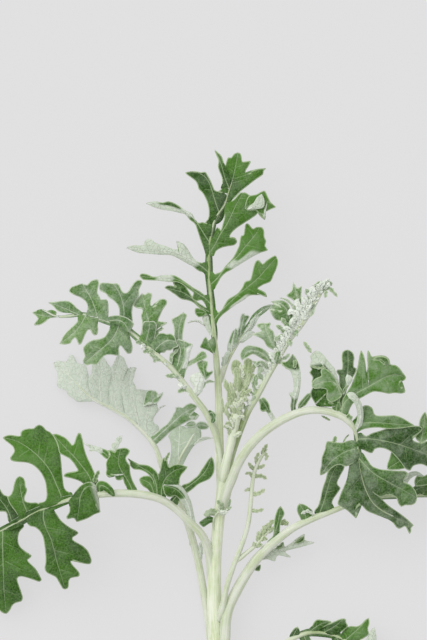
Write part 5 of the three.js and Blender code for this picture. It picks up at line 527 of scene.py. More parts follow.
LEAVES["leaf_right"]["blades"] = [
    blade([50.8, 90, 46, 51.8, 95, 48.4, 56, 98.6, 49.8, 62, 101.8, 49.8, 67.5, 105, 48.6, 72, 106.4, 46.6,
        76.5, 105.2, 44], [50.8, 93.4, 51.4, 96.6, 53, 99.4, 54.8, 102.4, 56, 105.6, 57.2, 109.4, 57.8, 113,
        58.6, 116, 59.4, 114.6, 60, 112, 60.4, 109, 60.6, 107.2, 61.2, 109.4, 61, 113, 61.2, 116.1, 62, 115,
        62.8, 113.5, 64.4, 113.8, 66.6, 114, 68.6, 113.5, 69.8, 112.2, 70.2, 110.4, 72, 110.2, 73.6, 109.2,
        75, 107.4], [53, 89.6, 54.4, 93.4, 56.4, 96, 59, 97.3, 61, 98.5, 63.6, 99.6, 67, 99.3, 69.6, 98.8,
        72, 99, 74.4, 98.8, 76, 99.2, 76, 100.4, 74.4, 101.2, 73.2, 102.2, 73.8, 103.4, 75.8, 104],
        rise=(-0.02, -0.1), tone=1.5, wool=0.6),
    blade([63, 112.4, 50, 66.4, 112.4, 50.2, 67.8, 111, 50, 68.2, 110, 49.6, 69.8, 110, 48.6], [64.6, 113.4,
        67, 113.6, 69, 112.8, 69.7, 111.4], [64, 111.8, 66, 111.6, 67.2, 110.4], free=True),
    blade([50.6, 90.4, 46, 51.4, 97, 46.4, 52.6, 103, 46.4, 53.4, 109, 45.8, 53.4, 116.2, 43.6], [49.4, 93.6,
        50.2, 99, 50, 103, 49.8, 106, 48.9, 107.4, 49.3, 108.3, 50.9, 108.4, 51.2, 110.4, 50.9, 113,
        51.4, 115.4], [52.2, 93.4, 52.6, 99, 53.8, 103, 55.4, 105.4, 56.3, 107, 56.8, 108.8, 55.8, 109.3,
        55.7, 110.8, 56, 113, 55.2, 115.2], rise=(-0.1, -0.1)),
    blade([51.4, 98, 48.8, 52.9, 102, 50.2, 53.8, 104.6, 50.6, 53, 106.2, 50.2], [51.4, 100.4, 52.6, 102.4,
        52.3, 105], [52.4, 99.8, 54, 102.4, 55.2, 104.6, 54.4, 105.9], free=True, pale=[(BOTH, 0.5, 1, 0)]),
    blade([48.6, 91, 46, 49.4, 97, 48.4, 47.8, 103, 49.6, 44.4, 108.6, 49.2, 41.4, 112.6, 48,
        39.6, 114.8, 47], [47.6, 94.8, 45.2, 95.2, 43.4, 94.2, 41, 94, 39.8, 95.8, 38.6, 98.2, 38.6, 99.8,
        39.4, 101.4, 39, 103.6, 39.4, 105.2, 38.1, 107.2, 38.9, 108.4, 38.3, 109.6, 38.8, 112, 38.4, 113.8],
        [50.2, 96.4, 50.4, 100, 50, 102.6, 49.2, 105.4, 48, 108.8, 46.4, 110.6, 45, 112.4, 43.6, 114.2,
        42, 115.5, 40.4, 115.8], rise=(-0.12, -0.06), pale=[(RIGHT, 0.3, 0.76, 0.3), (RIGHT, 0.76, 1, 0),
        (LEFT, 0.8, 1, 0)], tone=0, wool=0.1),
    blade([50.8, 97.6, 49.4, 48.6, 102.6, 51, 44.8, 103.8, 51, 39, 101.8, 49.6], [49.8, 96.8, 46.6, 95.4,
        45, 96.6, 44.8, 98.6, 44.9, 100.4, 42.4, 100.9, 40, 100.8], [51.2, 99.8, 49.8, 102, 47.8, 105.4,
        46.1, 107.4, 44.7, 108.7, 42.9, 108.6, 42.5, 107.4, 42.9, 106, 40.7, 104.9, 39.5, 103.8], free=True,
        tone=1, wool=0.9),
    blade([38.8, 115, 47.6, 37.2, 117.4, 47, 35.8, 119.4, 46], wide=0.9, free=True, tone=1, wool=1),
    blade([45, 109.2, 50.4, 41.6, 109, 50, 38.6, 109.8, 49], wide=0.5, free=True, wool=1),
    blade([40.3, 94.6, 49.4, 42.6, 96.8, 50, 45, 99.2, 50], wide=0.22, free=True),
    blade([48.6, 91.4, 46.6, 49, 94, 47.6, 49.2, 96.2, 47.2], [47.2, 92.4, 47.4, 94.4, 48.4, 96], [50.2, 92,
        50.2, 95.4], free=True),
    blade([56.2, 83.4, 44.6, 58.4, 88.4, 47.8, 57.9, 93.6, 50.4, 56, 97.2, 51.6, 53, 98.6, 51.2], [56, 86,
        57.1, 89, 56.8, 92.6, 55.6, 95.4, 53.6, 97.2], [58.4, 85.4, 59.4, 88.6, 59.2, 93, 57.9, 96.4,
        55.6, 99.2, 53.8, 99.4], pale=ALL_OVER),
    blade([52.4, 88.4, 46.4, 53.6, 89.8, 46.8, 55, 88.6, 46.4], wide=1, free=True),
    blade([55.8, 85.4, 45, 59.4, 87, 46.2, 66, 87.2, 46, 73, 86.6, 44, 79.8, 86.1, 41.2], [55, 87.6,
        57.4, 90.4, 58.6, 92.6, 59.8, 94, 61.6, 94, 63.2, 92.8, 63.7, 91, 64.8, 90.1, 68, 90, 72, 90.1,
        74.8, 89.2, 77.8, 87.4], [56.6, 83.2, 59.6, 84.6, 62, 85.1, 65, 85.3, 69, 84.8, 73, 84.9, 77, 85.3]),
    blade([57, 80.6, 43.2, 62, 80.8, 43.8, 68, 79.9, 43.2, 74, 78.4, 41.8, 82, 75.6, 38.6, 91, 72, 34],
        [56.6, 82.6, 58.6, 83.2, 60.6, 81.9, 63, 83, 66, 83.9, 68.6, 84.7, 72, 85, 76, 85.3, 80, 86,
        82.2, 85.7, 83.2, 84.7, 81.8, 83, 79.9, 81.9, 79.1, 80.8, 80, 79.8, 83, 79.2, 86, 80.2, 88.6, 78.4,
        89.8, 75.2], [57.4, 77.4, 58.8, 76.8, 60.4, 76, 62, 75.2, 63.2, 75.2, 64, 76.6, 66, 77.2, 68.6, 76.7,
        70.6, 75.6, 72.6, 73.6, 74.6, 71.2, 76.4, 68.8, 78.2, 68.1, 79.4, 69.8, 82.6, 70.6, 86, 69.4,
        89.4, 70.4]),
    blade([75.4, 72.6, 40.2, 72.4, 70.8, 39.6, 69.2, 68.7, 38.6], [77, 69.6, 75, 68.7, 72, 68.4], [73, 75,
        71, 75.6, 70.2, 73.4, 69.2, 70.4], free=True, tone=1, wool=0.2),
    blade([57.8, 73, 40.6, 63, 67.6, 40.6, 69, 63.8, 39.6, 75, 60.6, 37.6, 81.2, 57, 34], [57.4, 76,
        59.4, 75, 61.4, 72.2, 63, 70, 66, 68.7, 69, 68.3, 73, 68, 76.2, 67.8, 77.3, 67, 76, 64.8, 75.8, 63.6,
        78, 62.6, 79.2, 61.6, 80.6, 59.6], [58.6, 68, 61, 62, 64.4, 58.6, 66.4, 57.6, 69, 58.4, 71.4, 58.1,
        72.9, 57, 73.6, 55, 74.8, 53.6, 76.2, 54.2, 78.4, 54.2, 80.2, 54.8], tone=0.5, wool=0.5),
    blade([71, 70.4, 38.4, 74, 72, 38, 77, 73.4, 37], [72.2, 73.6, 74.6, 75], [73.4, 70, 76, 70.8],
        free=True),
    blade([57.2, 79, 42.8, 57.7, 74, 41, 58.5, 68.6, 38.8, 60, 62.6, 36.2, 62.6, 57, 33.4, 66.6, 52.8, 30.4,
        73, 48.8, 27, 80, 45.8, 24.6], [58.2, 77, 59.2, 72, 60.4, 67, 62, 62.6, 64, 59.6, 66.4, 57.4,
        69.6, 54.2, 73.8, 51.2, 77, 48.8, 79, 47], [56, 77, 54.6, 72.6, 53.8, 68.6, 53.2, 64.8, 51.8, 61.4,
        50.4, 58, 49.5, 54.7, 51.2, 53.4, 53.4, 52, 55.4, 50.2, 56.9, 48.9, 57, 51, 56.8, 53.2, 58.2, 54.9,
        59.6, 53.6, 61, 52, 64, 50.6, 67.6, 49.2, 70.4, 48, 72, 46.6, 73, 45.2, 74.2, 44.5, 75.4, 45,
        76.6, 45.5, 77.6, 44, 78.4, 42.4, 79, 43.4, 79, 44.8], plain=[(LEFT, 0, 0.5), (RIGHT, 0, 0.22)],
        tone=0.3, wool=0.6),
    blade([57.4, 77, 41.8, 52, 75.4, 43, 46.6, 71.6, 42.6, 42.5, 66.2, 40], [58, 72.4, 55, 70.8, 52.8, 69.8,
        50, 70.5, 48, 69.9, 46.2, 68.4, 44.2, 66.8], [57, 80, 54.4, 80.2, 51, 79.2, 48, 79.4, 45.2, 79.7,
        44.6, 78.4, 44.4, 76.8, 43.2, 73.6, 42.8, 70, 42.3, 67.6], tone=0.3, wool=0.7),
    blade([47.8, 78.8, 42.2, 48.2, 80.4, 41.8, 48.6, 81.8, 41.2], wide=0.9, free=True),
    blade([51.6, 79.4, 42, 52.8, 81.4, 41.6, 53.9, 82.4, 41], wide=0.35, free=True),
    blade([43, 89.9, 44.6, 44.8, 89, 44.2, 46.4, 88.1, 43.6], wide=0.5, free=True),
    blade([31.6, 90.6, 43.6, 32, 96, 46.2, 33.6, 103, 47.4, 33, 109, 47, 31.4, 114.4, 45], [30.6, 93.4,
        30.9, 97, 30, 99, 31.6, 99.6, 31.8, 103, 30.6, 107.6, 27.6, 110, 27, 111.4, 28.8, 111.4,
        30.2, 112.8], [32.6, 93, 33.8, 98, 34.6, 103, 34.4, 108, 33.2, 112], rise=(-0.3, -0.2),
        pale=[(BOTH, 0.25, 0.72, 0)]),
    blade([32, 112.4, 47.4, 32.4, 110.4, 47.8, 32, 108.9, 47.6], wide=0.8, free=True),
    blade([24.4, 86.6, 41.6, 22.6, 90, 43, 21, 93.6, 44, 18.8, 96.8, 43.2], [23.2, 87.8, 21.6, 90.6,
        20.6, 92, 19.6, 91.6, 18.6, 92.2, 18.4, 94.4, 17.8, 96.4], [25, 88.2, 23.4, 91, 22.4, 92.6,
        22.2, 94.2, 21.3, 95.9, 19.8, 97.3], pale=[(BOTH, 0, 0.4, 0)]),
    blade([32.6, 91.6, 44.6, 35, 94.6, 46, 38.8, 99, 46.8], [33.6, 94.2, 35.6, 97, 37.4, 98.8], [34.8, 93.4,
        36.4, 94, 37.8, 96, 38.8, 97.6]),
    blade([82.4, 79, 39, 83.6, 85, 38.4, 84.3, 91.4, 36.6], [80.4, 81.2, 82, 84.6, 81.8, 86.8, 82.8, 89.6],
        [85, 80.4, 86.6, 84.6, 85.4, 88.8], free=True),
]
# Large leaf at the lower right
LEAVES["leaf_lower_right"] = dict(
    stalk=[2.4, -34, 7, 1.2, 2.9, -26, 8.6, 1.8, 3.7, -14, 11, 2.1, 4.6, 0, 12.6, 2.15, 4.9, 6.9, 13.4, 2.15,
        6.2, 12.8, 14, 2.15, 8.9, 18.6, 14.9, 2.15, 12.3, 24.8, 15.9, 2.1, 16.4, 31, 17.2, 2,
        20.6, 35.6, 18.4, 1.9, 25.4, 39.9, 19.6, 1.8, 32, 44.8, 20.6, 1.6, 40, 48.6, 21.4, 1.4,
        48, 51.7, 21.6, 1.3, 54, 53.8, 21, 1.3, 66, 57, 18.6, 1.2, 75, 57.6, 15.8, 1.1, 85.5, 57.6, 11.6, 1,
        95, 57, 7.2, 0.7, 101, 56.7, 4.6, 0.5],
)
LEAVES["leaf_lower_right"]["blades"] = [
    blade([21.2, 36.4, 19, 24.6, 43, 20.4, 26, 48, 20.6, 26.8, 53.4, 20], [21.4, 38.6, 23.8, 41.6, 24.1, 45,
        24.6, 49, 25.8, 52.4], [25, 40.4, 26.4, 43, 26.8, 46, 27.6, 48.6, 28.4, 50.2, 27.8, 52.2]),
    blade([37, 47.4, 21.2, 36.6, 50.4, 23, 34.4, 54.4, 23.4], [35.2, 48, 34, 50.2, 33.4, 51.8, 33.6, 53.6],
        [39.6, 50, 39.6, 51.6, 37.8, 53.2, 36, 54.3]),
    blade([35, 50.4, 23.8, 37.6, 51.6, 24, 39.9, 50.2, 23.4], wide=0.7, free=True, pale=ALL_OVER),
    blade([42, 49.6, 21.5, 44.5, 56.4, 22.8, 46, 62, 23.2, 47.6, 66.6, 22.6, 50, 70.6, 21], [40.4, 51.4,
        41.9, 53.6, 42.8, 56.6, 43.6, 60.4, 44.9, 64.2, 45.8, 67.4, 47.8, 69.4], [48, 53.6, 47.5, 55,
        48, 56.4, 49.4, 58.4, 50.8, 60.8, 50, 61.7, 49.5, 62.8, 50.6, 65.4, 52.4, 69.4]),
    blade([57, 54.4, 20.6, 59.6, 60.4, 21.6, 63, 64.4, 20.8, 68, 66.6, 18.4], [57.4, 60, 60, 64.8, 64, 67.8],
        [62.4, 60.4, 66.6, 63.4, 69.4, 64.4]),
    blade([74, 57.5, 16, 76, 62, 18.6, 78, 65.4, 18.8, 81, 66.4, 17.6, 84.6, 65, 15.6], [74.6, 61,
        76.2, 64.8, 78.4, 66.8, 81.6, 67.3], [77.4, 61.6, 79, 64.4, 81.4, 65.6, 83.8, 64.6],
        pale=[(BOTH, 0.2, 1, 0)]),
    blade([80.8, 61.4, 17.4, 82.4, 63.6, 17.2, 85.6, 64.4, 15.6, 91, 64.6, 12], [80.6, 63.6, 81.6, 65.4,
        84, 65.3, 88, 67], [82, 61.4, 84.4, 61.6, 87.6, 62.4], free=True),
    blade([79.6, 57.6, 13.6, 81.6, 60, 14, 85.4, 61, 12.6, 90, 60.8, 10], [79.4, 60, 81, 61.4, 84, 61.6,
        87, 62.6], [82.4, 58.4, 85.4, 58.8, 89, 58.6]),
    blade([88, 57.5, 10.4, 92.6, 52, 9.6, 97, 47, 7, 100.6, 41, 3.4], [90.6, 56.8, 93.8, 54, 97.4, 52.6,
        99.6, 49.6, 103.4, 48, 104, 44.4], [86.4, 55.6, 88.8, 52.4, 89.4, 48.6, 92.4, 46.6, 93, 43.4,
        96, 41.6]),
    blade([83.5, 57.6, 12.6, 88, 62, 13, 94, 66, 11, 101, 68, 7.6], [83.6, 60.4, 85.4, 62.8, 87.6, 66.6,
        90.6, 67.4, 93.4, 70.6, 96.6, 70], [87.4, 58, 90.4, 60.4, 94.4, 61.4, 96.4, 64.4, 100.4, 65]),
    blade([94, 57.1, 7.6, 100, 56.8, 5.2, 105, 56, 3, 111, 54, -0.2], [94.6, 59.4, 98.4, 61, 101.4, 60.4,
        104.6, 61.4, 106.8, 59.4, 109.4, 59.6, 108.6, 57], [95, 54.6, 98.4, 53.4, 100.6, 51.2, 103.6, 51,
        105.4, 49.2, 108.4, 49.6, 108.6, 52.4]),
    blade([16.4, 31, 17.2, 21, 33.6, 14.4, 27, 35.9, 13.4, 33, 38, 13.2, 40.4, 38.6, 12.4], [18.6, 34.2,
        22.6, 35.4, 25.5, 36.8, 28, 38.9, 28.6, 37, 31.4, 38.6, 33.6, 40.4, 36.6, 42, 36.4, 39.8],
        [18.4, 31.6, 21.6, 32, 24.6, 31.2, 25.6, 33.4, 31, 32.7, 28.6, 34.8, 35, 36.8], pale=ALL_OVER),
    blade([25, 36.2, 14.6, 27, 37.2, 14.6, 28, 38.8, 14.2], wide=0.8, free=True),
    blade([32.4, 38.4, 14.4, 34.6, 39.6, 14.4, 36.4, 41.2, 14], [33.4, 39.6, 35.4, 41], [34, 38.2,
        36.4, 39.6], free=True),
    blade([15.4, 29.6, 16.8, 17.2, 28.4, 15, 18.9, 29.8, 14.2], [16.6, 28.8, 17.8, 29.4], [16.2, 27.8,
        18.4, 27.2], free=True),
]
# Small pale shoot in the lower right axil
LEAVES["shoot_axil"] = dict(
    stalk=[2.2, 7, 12.6, 1.2, 3.9, 14, 15.8, 1.15, 5.3, 21, 18, 1.1, 8.2, 30, 20.4, 1.05, 11.3, 38, 22, 1,
        13.8, 46, 23.4, 0.95, 14.8, 54, 24.4, 0.9, 15.5, 62, 25, 0.85, 16.6, 68, 25.4, 0.8,
        19, 73, 25.6, 0.7, 21.6, 76.4, 25.4, 0.5],
    twig=dict(
        stalk=[8.4, 30.6, 20.5, 0.8, 12.6, 34.2, 20.4, 0.75, 16.9, 37.7, 19.7, 0.7, 20, 41.2, 18.8, 0.65,
            23.4, 44.4, 18, 0.55, 28, 46.6, 17, 0.35],
        blades=[
            blade([18, 38.9, 19.3, 17.9, 41.2, 20, 18.3, 43.4, 19.8], wide=1),
            blade([19.6, 40.8, 18.8, 19.9, 43.4, 19.8, 20.9, 45.9, 19.6], wide=1.1),
            blade([20.8, 42.2, 18.5, 21, 44.8, 19.3, 22.4, 46.6, 19.2], wide=0.8),
            blade([21.8, 43.2, 18.3, 22.2, 45.8, 19.2, 24.2, 47.8, 19], wide=1.1),
            blade([26.6, 45.9, 17.2, 28.4, 47.2, 18, 29.8, 45.6, 17.6], wide=1.1),
            blade([19, 39.8, 19, 20.6, 40.4, 19.6, 21.6, 40, 19.4], wide=0.8),
            blade([15.6, 36.6, 20, 16.4, 38, 20.8, 16, 39.2, 20.6], wide=0.7),
            blade([16.6, 37.6, 19.8, 18.4, 37.6, 20.4, 19.6, 38.2, 20], wide=0.8),
            blade([21.6, 43, 18.4, 23, 43.6, 19, 23.8, 44.8, 18.8], wide=0.8),
        ],
    ),
)
LEAVES["shoot_axil"]["blades"] = [
    blade([14.7, 52, 24.3, 17.6, 51.6, 25, 20, 52.4, 24.6], wide=0.8),
    blade([15.4, 58.6, 24.8, 17.6, 58.4, 25.6, 20.6, 60.4, 25.4], wide=0.9),
    blade([15.4, 60, 24.8, 14.2, 60.4, 25.6, 12.4, 59.6, 25.6], wide=0.7),
    blade([16.2, 65, 25.2, 18.6, 65.8, 26, 21.4, 64.4, 25.6], wide=0.9),
    blade([16, 64.6, 25.2, 14.6, 66.8, 26, 12.6, 66.4, 25.8], wide=0.7),
    blade([17, 69, 25.4, 19, 69.2, 26.2, 20.6, 70.2, 26], wide=0.8),
    blade([16.6, 68, 25.4, 15, 69.4, 26.4, 14, 71, 26.2], wide=0.8),
    blade([20.4, 75, 25.5, 21.4, 73.4, 26.2, 20.8, 71.8, 26], wide=0.7),
    blade([19.6, 73.8, 25.6, 20, 76, 26.4, 21.6, 78.4, 26.2], wide=0.8),
    blade([17.4, 70.2, 25.4, 17, 72.6, 26.4, 18.2, 75, 26.2], wide=0.8),
]
# Small lobes on the stem
LEAVES["leaf_stem_small"] = dict(
    stalk=[0.6, 43, 20, 0.4, -0.2, 46, 21.6, 0.35, 0, 48.6, 23.2, 0.3, 1.4, 50.8, 24.6, 0.3,
        3.4, 51.6, 25.4, 0.3, 5.6, 52.2, 25.8, 0.25],
)
LEAVES["leaf_stem_small"]["blades"] = [
    blade([-0.2, 48, 23.8, -2.6, 48, 24.6, -5.8, 47, 24], [-0.2, 47.2, -1.4, 46.8, -2.8, 45.9, -4, 45.1,
        -4.8, 45.7, -5.6, 46.5], [-0.2, 49, -1.6, 49.5, -3, 49, -3.9, 48.5, -4.7, 47.9], tone=-0.5, wool=0),
    blade([0.8, 50.4, 25, -1.4, 51.2, 25.8, -4, 50, 25.4], [0.2, 49.8, -1.6, 49.7, -3, 49.3], [1.6, 51.4,
        0.6, 52.6, -0.3, 52.5, -1.1, 52.8, -2, 52, -3, 51.9, -3.5, 50.9]),
    blade([3.4, 52, 26.2, 3, 54.2, 27, 1.2, 55.8, 26.6], wide=0.9),
    blade([5.6, 52.4, 26.4, 6.2, 54.4, 27.2, 6.8, 56.4, 27], wide=0.6),
    blade([4.4, 52, 26.3, 5.6, 52.3, 27, 7.2, 53.4, 27], wide=0.6),
    blade([2.2, 51.4, 26, 4, 51.2, 26.8, 5.8, 51.2, 26.8], wide=0.8, free=True, pale=ALL_OVER),
]
# Leaf at the foot, right
LEAVES["leaf_base_right"] = dict(
    stalk=[2.2, -52, 4.6, 1.2, 2.8, -46, 6.2, 1.7, 5.4, -38, 9.6, 1.7, 10, -29, 11.4, 1.65,
        16, -18, 12.6, 1.6, 23, -8, 13.2, 1.5, 30, -1, 13.2, 1.4, 36, 1.8, 12.8, 1.3, 41, 2.6, 12.4, 1.2,
        47, 1.8, 12, 1.1, 53, -0.6, 11.4, 1, 60, -3.4, 10.6, 0.9, 68, -5.8, 9.6, 0.7, 76, -7, 8.2, 0.5,
        82, -8.4, 6.8, 0.4],
)
LEAVES["leaf_base_right"]["blades"] = [
    blade([31, -0.4, 13.2, 32.4, 2, 14, 33.8, 4.8, 13.8], [30.6, 0.8, 31.2, 2.4, 32.4, 4.2], [32.8, 0.2,
        34.2, 1.4, 34.5, 3.4]),
    blade([38, 2.4, 12.6, 40.6, 4.4, 13.2, 44, 6.4, 13.2, 47.4, 6.7, 12.6], [38, 3.4, 39.6, 5.2, 40.6, 7,
        41.8, 7.7, 44, 7.5, 46, 7.3], [40.4, 2.6, 43.4, 4.2, 46, 5.6]),
    blade([44, 2.4, 12.2, 48, 4.6, 13.4, 52.4, 8.1, 13], [42, 3, 44, 4.8, 46.6, 6, 49, 7.1, 51, 8], [49, 1.4,
        52.6, 3.6, 54, 5.2, 53.2, 6.6, 53.2, 7.8]),
    blade([53, -0.6, 11.4, 57, 3, 12.6, 62.3, 8.2, 12], [51, 1, 52.6, 3.8, 55, 5, 57.6, 5, 59.4, 5.9,
        60.8, 7.4], [56, -1.6, 60, 0, 62.4, 1.8, 62, 4, 62.6, 6]),
    blade([61, -3.6, 10.6, 63.6, 0.4, 11.4, 64.6, 4.2, 11], [61, -1, 62.6, 1.6, 63.4, 3.6], [63.4, -3.4,
        65.4, -0.6, 65.2, 2.2], pale=ALL_OVER),
    blade([66, -5.2, 9.9, 71, -3.2, 10.4, 78, -1.8, 9.4], [66.6, -3.4, 69.4, -2, 71.6, -2.2, 74.4, -0.8],
        [69, -5.4, 72.4, -4.6, 75, -4.8, 77.6, -3.4]),
    blade([24, -7, 13.2, 27, -12, 12.4, 33, -15.4, 10.4, 40, -17, 7.6], [26.4, -8.4, 28.4, -9, 31, -11.6,
        34.4, -12, 37, -14.4, 39.4, -14], [23, -9.6, 24.8, -12.4, 28, -14.8, 30.4, -17.6, 34, -17.6,
        37, -19.6]),
    blade([36, 1.8, 12.8, 39, -4, 12, 44.4, -9.4, 10, 51, -13.4, 7], [38.4, 0.8, 40.4, -1.6, 43.6, -2.8,
        46, -5.6, 50.4, -6.6, 53.4, -9.6, 51.4, -11], [34.6, 0, 36.4, -4, 36.4, -7.4, 40.4, -10.6, 41.6, -14,
        45.4, -15.6, 47.4, -12.8]),
    blade([49, 1, 11.8, 53, -5, 11, 58.4, -10.2, 9, 65.4, -14, 6], [51, 0, 54.4, -1.6, 57, -4.4, 60.4, -5.2,
        63.4, -8.4, 66.6, -9, 64.6, -11.4], [47.6, -0.6, 50.4, -5.6, 50.6, -9, 54.4, -11.4, 55.8, -15,
        59.4, -16.6, 61.4, -13.2]),
    blade([64, -4.8, 10.2, 68, -8.4, 9.4, 74, -13, 7.4, 79.4, -17.4, 4.8], [66, -5.4, 68.6, -6.4, 71, -9,
        75, -9.4, 78, -13, 80.4, -13.6], [62.4, -5.4, 64.8, -9, 65.4, -12.4, 69.4, -14.2, 71, -17.6,
        75, -18.4]),
    blade([75, -6.8, 8.4, 81, -8.2, 7, 86, -10, 5.4, 91, -12.8, 3.4], [75.6, -5, 79.6, -4.6, 82.4, -6,
        85.4, -5.2, 88, -7.4, 90.4, -7.8], [75.4, -8.6, 79.6, -10.8, 81, -13.4, 84.4, -13.6, 86.4, -16,
        89, -16]),
    blade([17, -16.6, 12.7, 14.6, -11, 13, 14, -6, 12.6], [16.4, -14.4, 13.6, -13, 12.4, -9.6, 12.6, -7],
        [18.6, -14.4, 16.8, -11, 16.6, -8, 15.2, -6.2]),
]


# ------------------------------------------------------------------ curves
def rows(flat, n):
    return np.array(flat, float).reshape(-1, n)


def smooth(points, step):
    """Points about step apart on a Catmull-Rom curve through the given ones."""
    if len(points) < 3:
        n = max(1, round(math.dist(points[0][:3], points[1][:3]) / step))
        return np.linspace(points[0], points[-1], n + 1)
    p = np.vstack([points[:1], points, points[-1:]])
    out = []
    for a, b, c, d in zip(p[:-3], p[1:-2], p[2:-1], p[3:]):
        n = max(1, round(math.dist(b[:3], c[:3]) / step))
        t = np.arange(n)[:, None] / n
        out.append(b + 0.5 * t * (c - a + t * (2 * a - 5 * b + 4 * c - d + t * (3 * (b - c) + d - a))))
    return np.vstack(out + [points[-1:]])


def rounded(points, step):
    """Points about step apart on a centripetal Catmull-Rom curve through the given ones, which never loops,
    and where the given ones are among them."""
    first, last = 2 * points[0] - points[1], 2 * points[-1] - points[-2]
    p = np.vstack([first, points, last])
    out, at = [], [0]
    for a, b, c, d in zip(p[:-3], p[1:-2], p[2:-1], p[3:]):
        k = [0.0]
        for q, r in ((a, b), (b, c), (c, d)):
            k.append(k[-1] + max(math.dist(q, r), 1e-3) ** 0.5)
        n = max(2, round(math.dist(b, c) / step))
        t = np.linspace(k[1], k[2], n, endpoint=False)[:, None]
        x = (k[1] - t) / (k[1] - k[0]) * a + (t - k[0]) / (k[1] - k[0]) * b
        y = (k[2] - t) / (k[2] - k[1]) * b + (t - k[1]) / (k[2] - k[1]) * c
        z = (k[3] - t) / (k[3] - k[2]) * c + (t - k[2]) / (k[3] - k[2]) * d
        u = (k[2] - t) / (k[2] - k[0]) * x + (t - k[0]) / (k[2] - k[0]) * y
        v = (k[3] - t) / (k[3] - k[1]) * y + (t - k[1]) / (k[3] - k[1]) * z
        out.append((k[2] - t) / (k[2] - k[1]) * u + (t - k[1]) / (k[2] - k[1]) * v)
        at.append(at[-1] + n)
    return np.vstack(out + [points[-1:]]), at


def lengths(line):
    """Length along the line at each of its points, seen from above."""
    return np.concatenate([[0.0], np.cumsum(np.hypot(*np.diff(line[:, :2], axis=0).T))])


def point_at(line, along, s):
    return np.stack([np.interp(s, along, line[:, k]) for k in range(line.shape[1])], axis=-1)


def nearest(line, along, points):
    """For each point, seen from above: the length along the line nearest to it, and the distance."""
    a, d = line[:-1, :2], np.diff(line[:, :2], axis=0)
    points = np.atleast_2d(points)[:, None, :2]
    t = np.clip(((points - a) * d).sum(-1) / np.maximum((d * d).sum(-1), 1e-9), 0, 1)
    off = np.linalg.norm(a + t[..., None] * d - points, axis=-1)
    best = off.argmin(axis=1)
    pick = np.arange(len(points)), best
    return along[best] + t[pick] * np.diff(along)[best], off[pick]


def nearest_one(line, along, point):
    """The same for a single point."""
    on, off = nearest(line, along, point)
    return on[0], off[0]


def step_between(x, low, high):
    """0 below low, 1 above high, smooth between."""
    t = np.clip((x - low) / (high - low), 0, 1)
    return t * t * (3 - 2 * t)


def place(points):
    return (np.asarray(points, float)[:, :3] - SHIFT) * MM


# ------------------------------------------------------------------ blades
class Sheets:
    """The blades of one leaf as a single open sheet mesh, with the values that its finish reads."""

    NAMES = ("vein", "twig", "edge", "pale", "wool", "tone")

    def __init__(self):
        self.points, self.faces, self.uv = [], [], []
        self.values = {name: [] for name in self.NAMES}
        self.count = 0

    def add(self, points, faces, uv, **values):
        points[:, 2] = np.maximum(points[:, 2], LIFT + THICK / 2)
        self.points.append(points)
        self.uv.append(uv)
        self.faces += [tuple(int(i) + self.count for i in f) for f in faces]
        for name in self.NAMES:
            self.values[name].append(np.broadcast_to(values[name], len(points)))
        self.count += len(points)


def leaflet_margins(vein, run, wide, rng):
    """Blunt-toothed margins of a small leaflet."""
    shares = np.array([0.1, 0.26, 0.38, 0.52, 0.64, 0.8, 0.93])
    widths = np.array([0.55, 1.05, 0.72, 1.1, 0.7, 0.9, 0.5]) * wide
    sides = []
    for side in (LEFT, RIGHT):
        s = run[-1] * shares
        p, q = point_at(vein, run, s), point_at(vein, run, s + 0.4)
        along = q[:, :2] - point_at(vein, run, s - 0.4)[:, :2]
        along /= np.maximum(np.linalg.norm(along, axis=1), 1e-6)[:, None]
        out = widths * np.array([rng.uniform(0.85, 1.15) for _ in shares]) * side
        sides.append(p[:, :2] + np.stack([-along[:, 1], along[:, 0]], axis=1) * out[:, None])
    return sides


def young_leaflets(axis, along, part, rng):
    """Small crowded leaflets along a young shoot."""
    made = []
    for start, stop, count, reach, wide, felted, side in part.get("young", ()):
        for i in range(count):
            s = along[-1] * (start + (stop - start) * (i + rng.random()) / count)
            foot = point_at(axis, along, s)
            ahead = point_at(axis, along, min(s + 1, along[-1])) - point_at(axis, along, max(s - 1, 0))
            turn = (side or rng.choice((RIGHT, LEFT))) * rng.uniform(0.1, 1.3)
            angle = math.atan2(ahead[1], ahead[0]) + turn
            bend = angle + rng.uniform(-0.9, 0.9)
            long = reach * rng.uniform(0.5, 1.1)
            high = foot[2] + foot[3] * rng.uniform(0.2, 1.0)
            mid = foot[:2] + 0.5 * long * np.array([math.cos(angle), math.sin(angle)])
            end = mid + 0.5 * long * np.array([math.cos(bend), math.sin(bend)])
            vein = [*foot[:2], high, *mid, high + rng.uniform(0.3, 1.2), *end, high + rng.uniform(-0.6, 1.4)]
            pale = ALL_OVER if rng.random() < felted else ()
            made.append(blade(vein, wide=wide * rng.uniform(0.7, 1.3), free=True, pale=pale))
    return made


def foot_end(axis, along, at, first):
    """Where a margin of a lobe meets the main vein: opposite its first point, or a little way off."""
    on, off = nearest_one(axis, along, first)
    most = FOOT_MOST if off < FOOT_NEAR else FOOT_LEAST
    return float(np.clip(on, at - most, at + most))


def tooth_tips(wide, arc):
    """Indices of the margin's teeth: where it is farthest from the vein."""
    tips = []
    for j in range(2, len(wide) - 2):
        near = np.abs(arc - arc[j]) < TOOTH_GAP
        apart = not tips or arc[j] - arc[tips[-1]] > TOOTH_GAP
        if wide[j] > TOOTH_WIDTH and wide[j] >= wide[near].max() and apart:
            tips.append(j)
    return tips


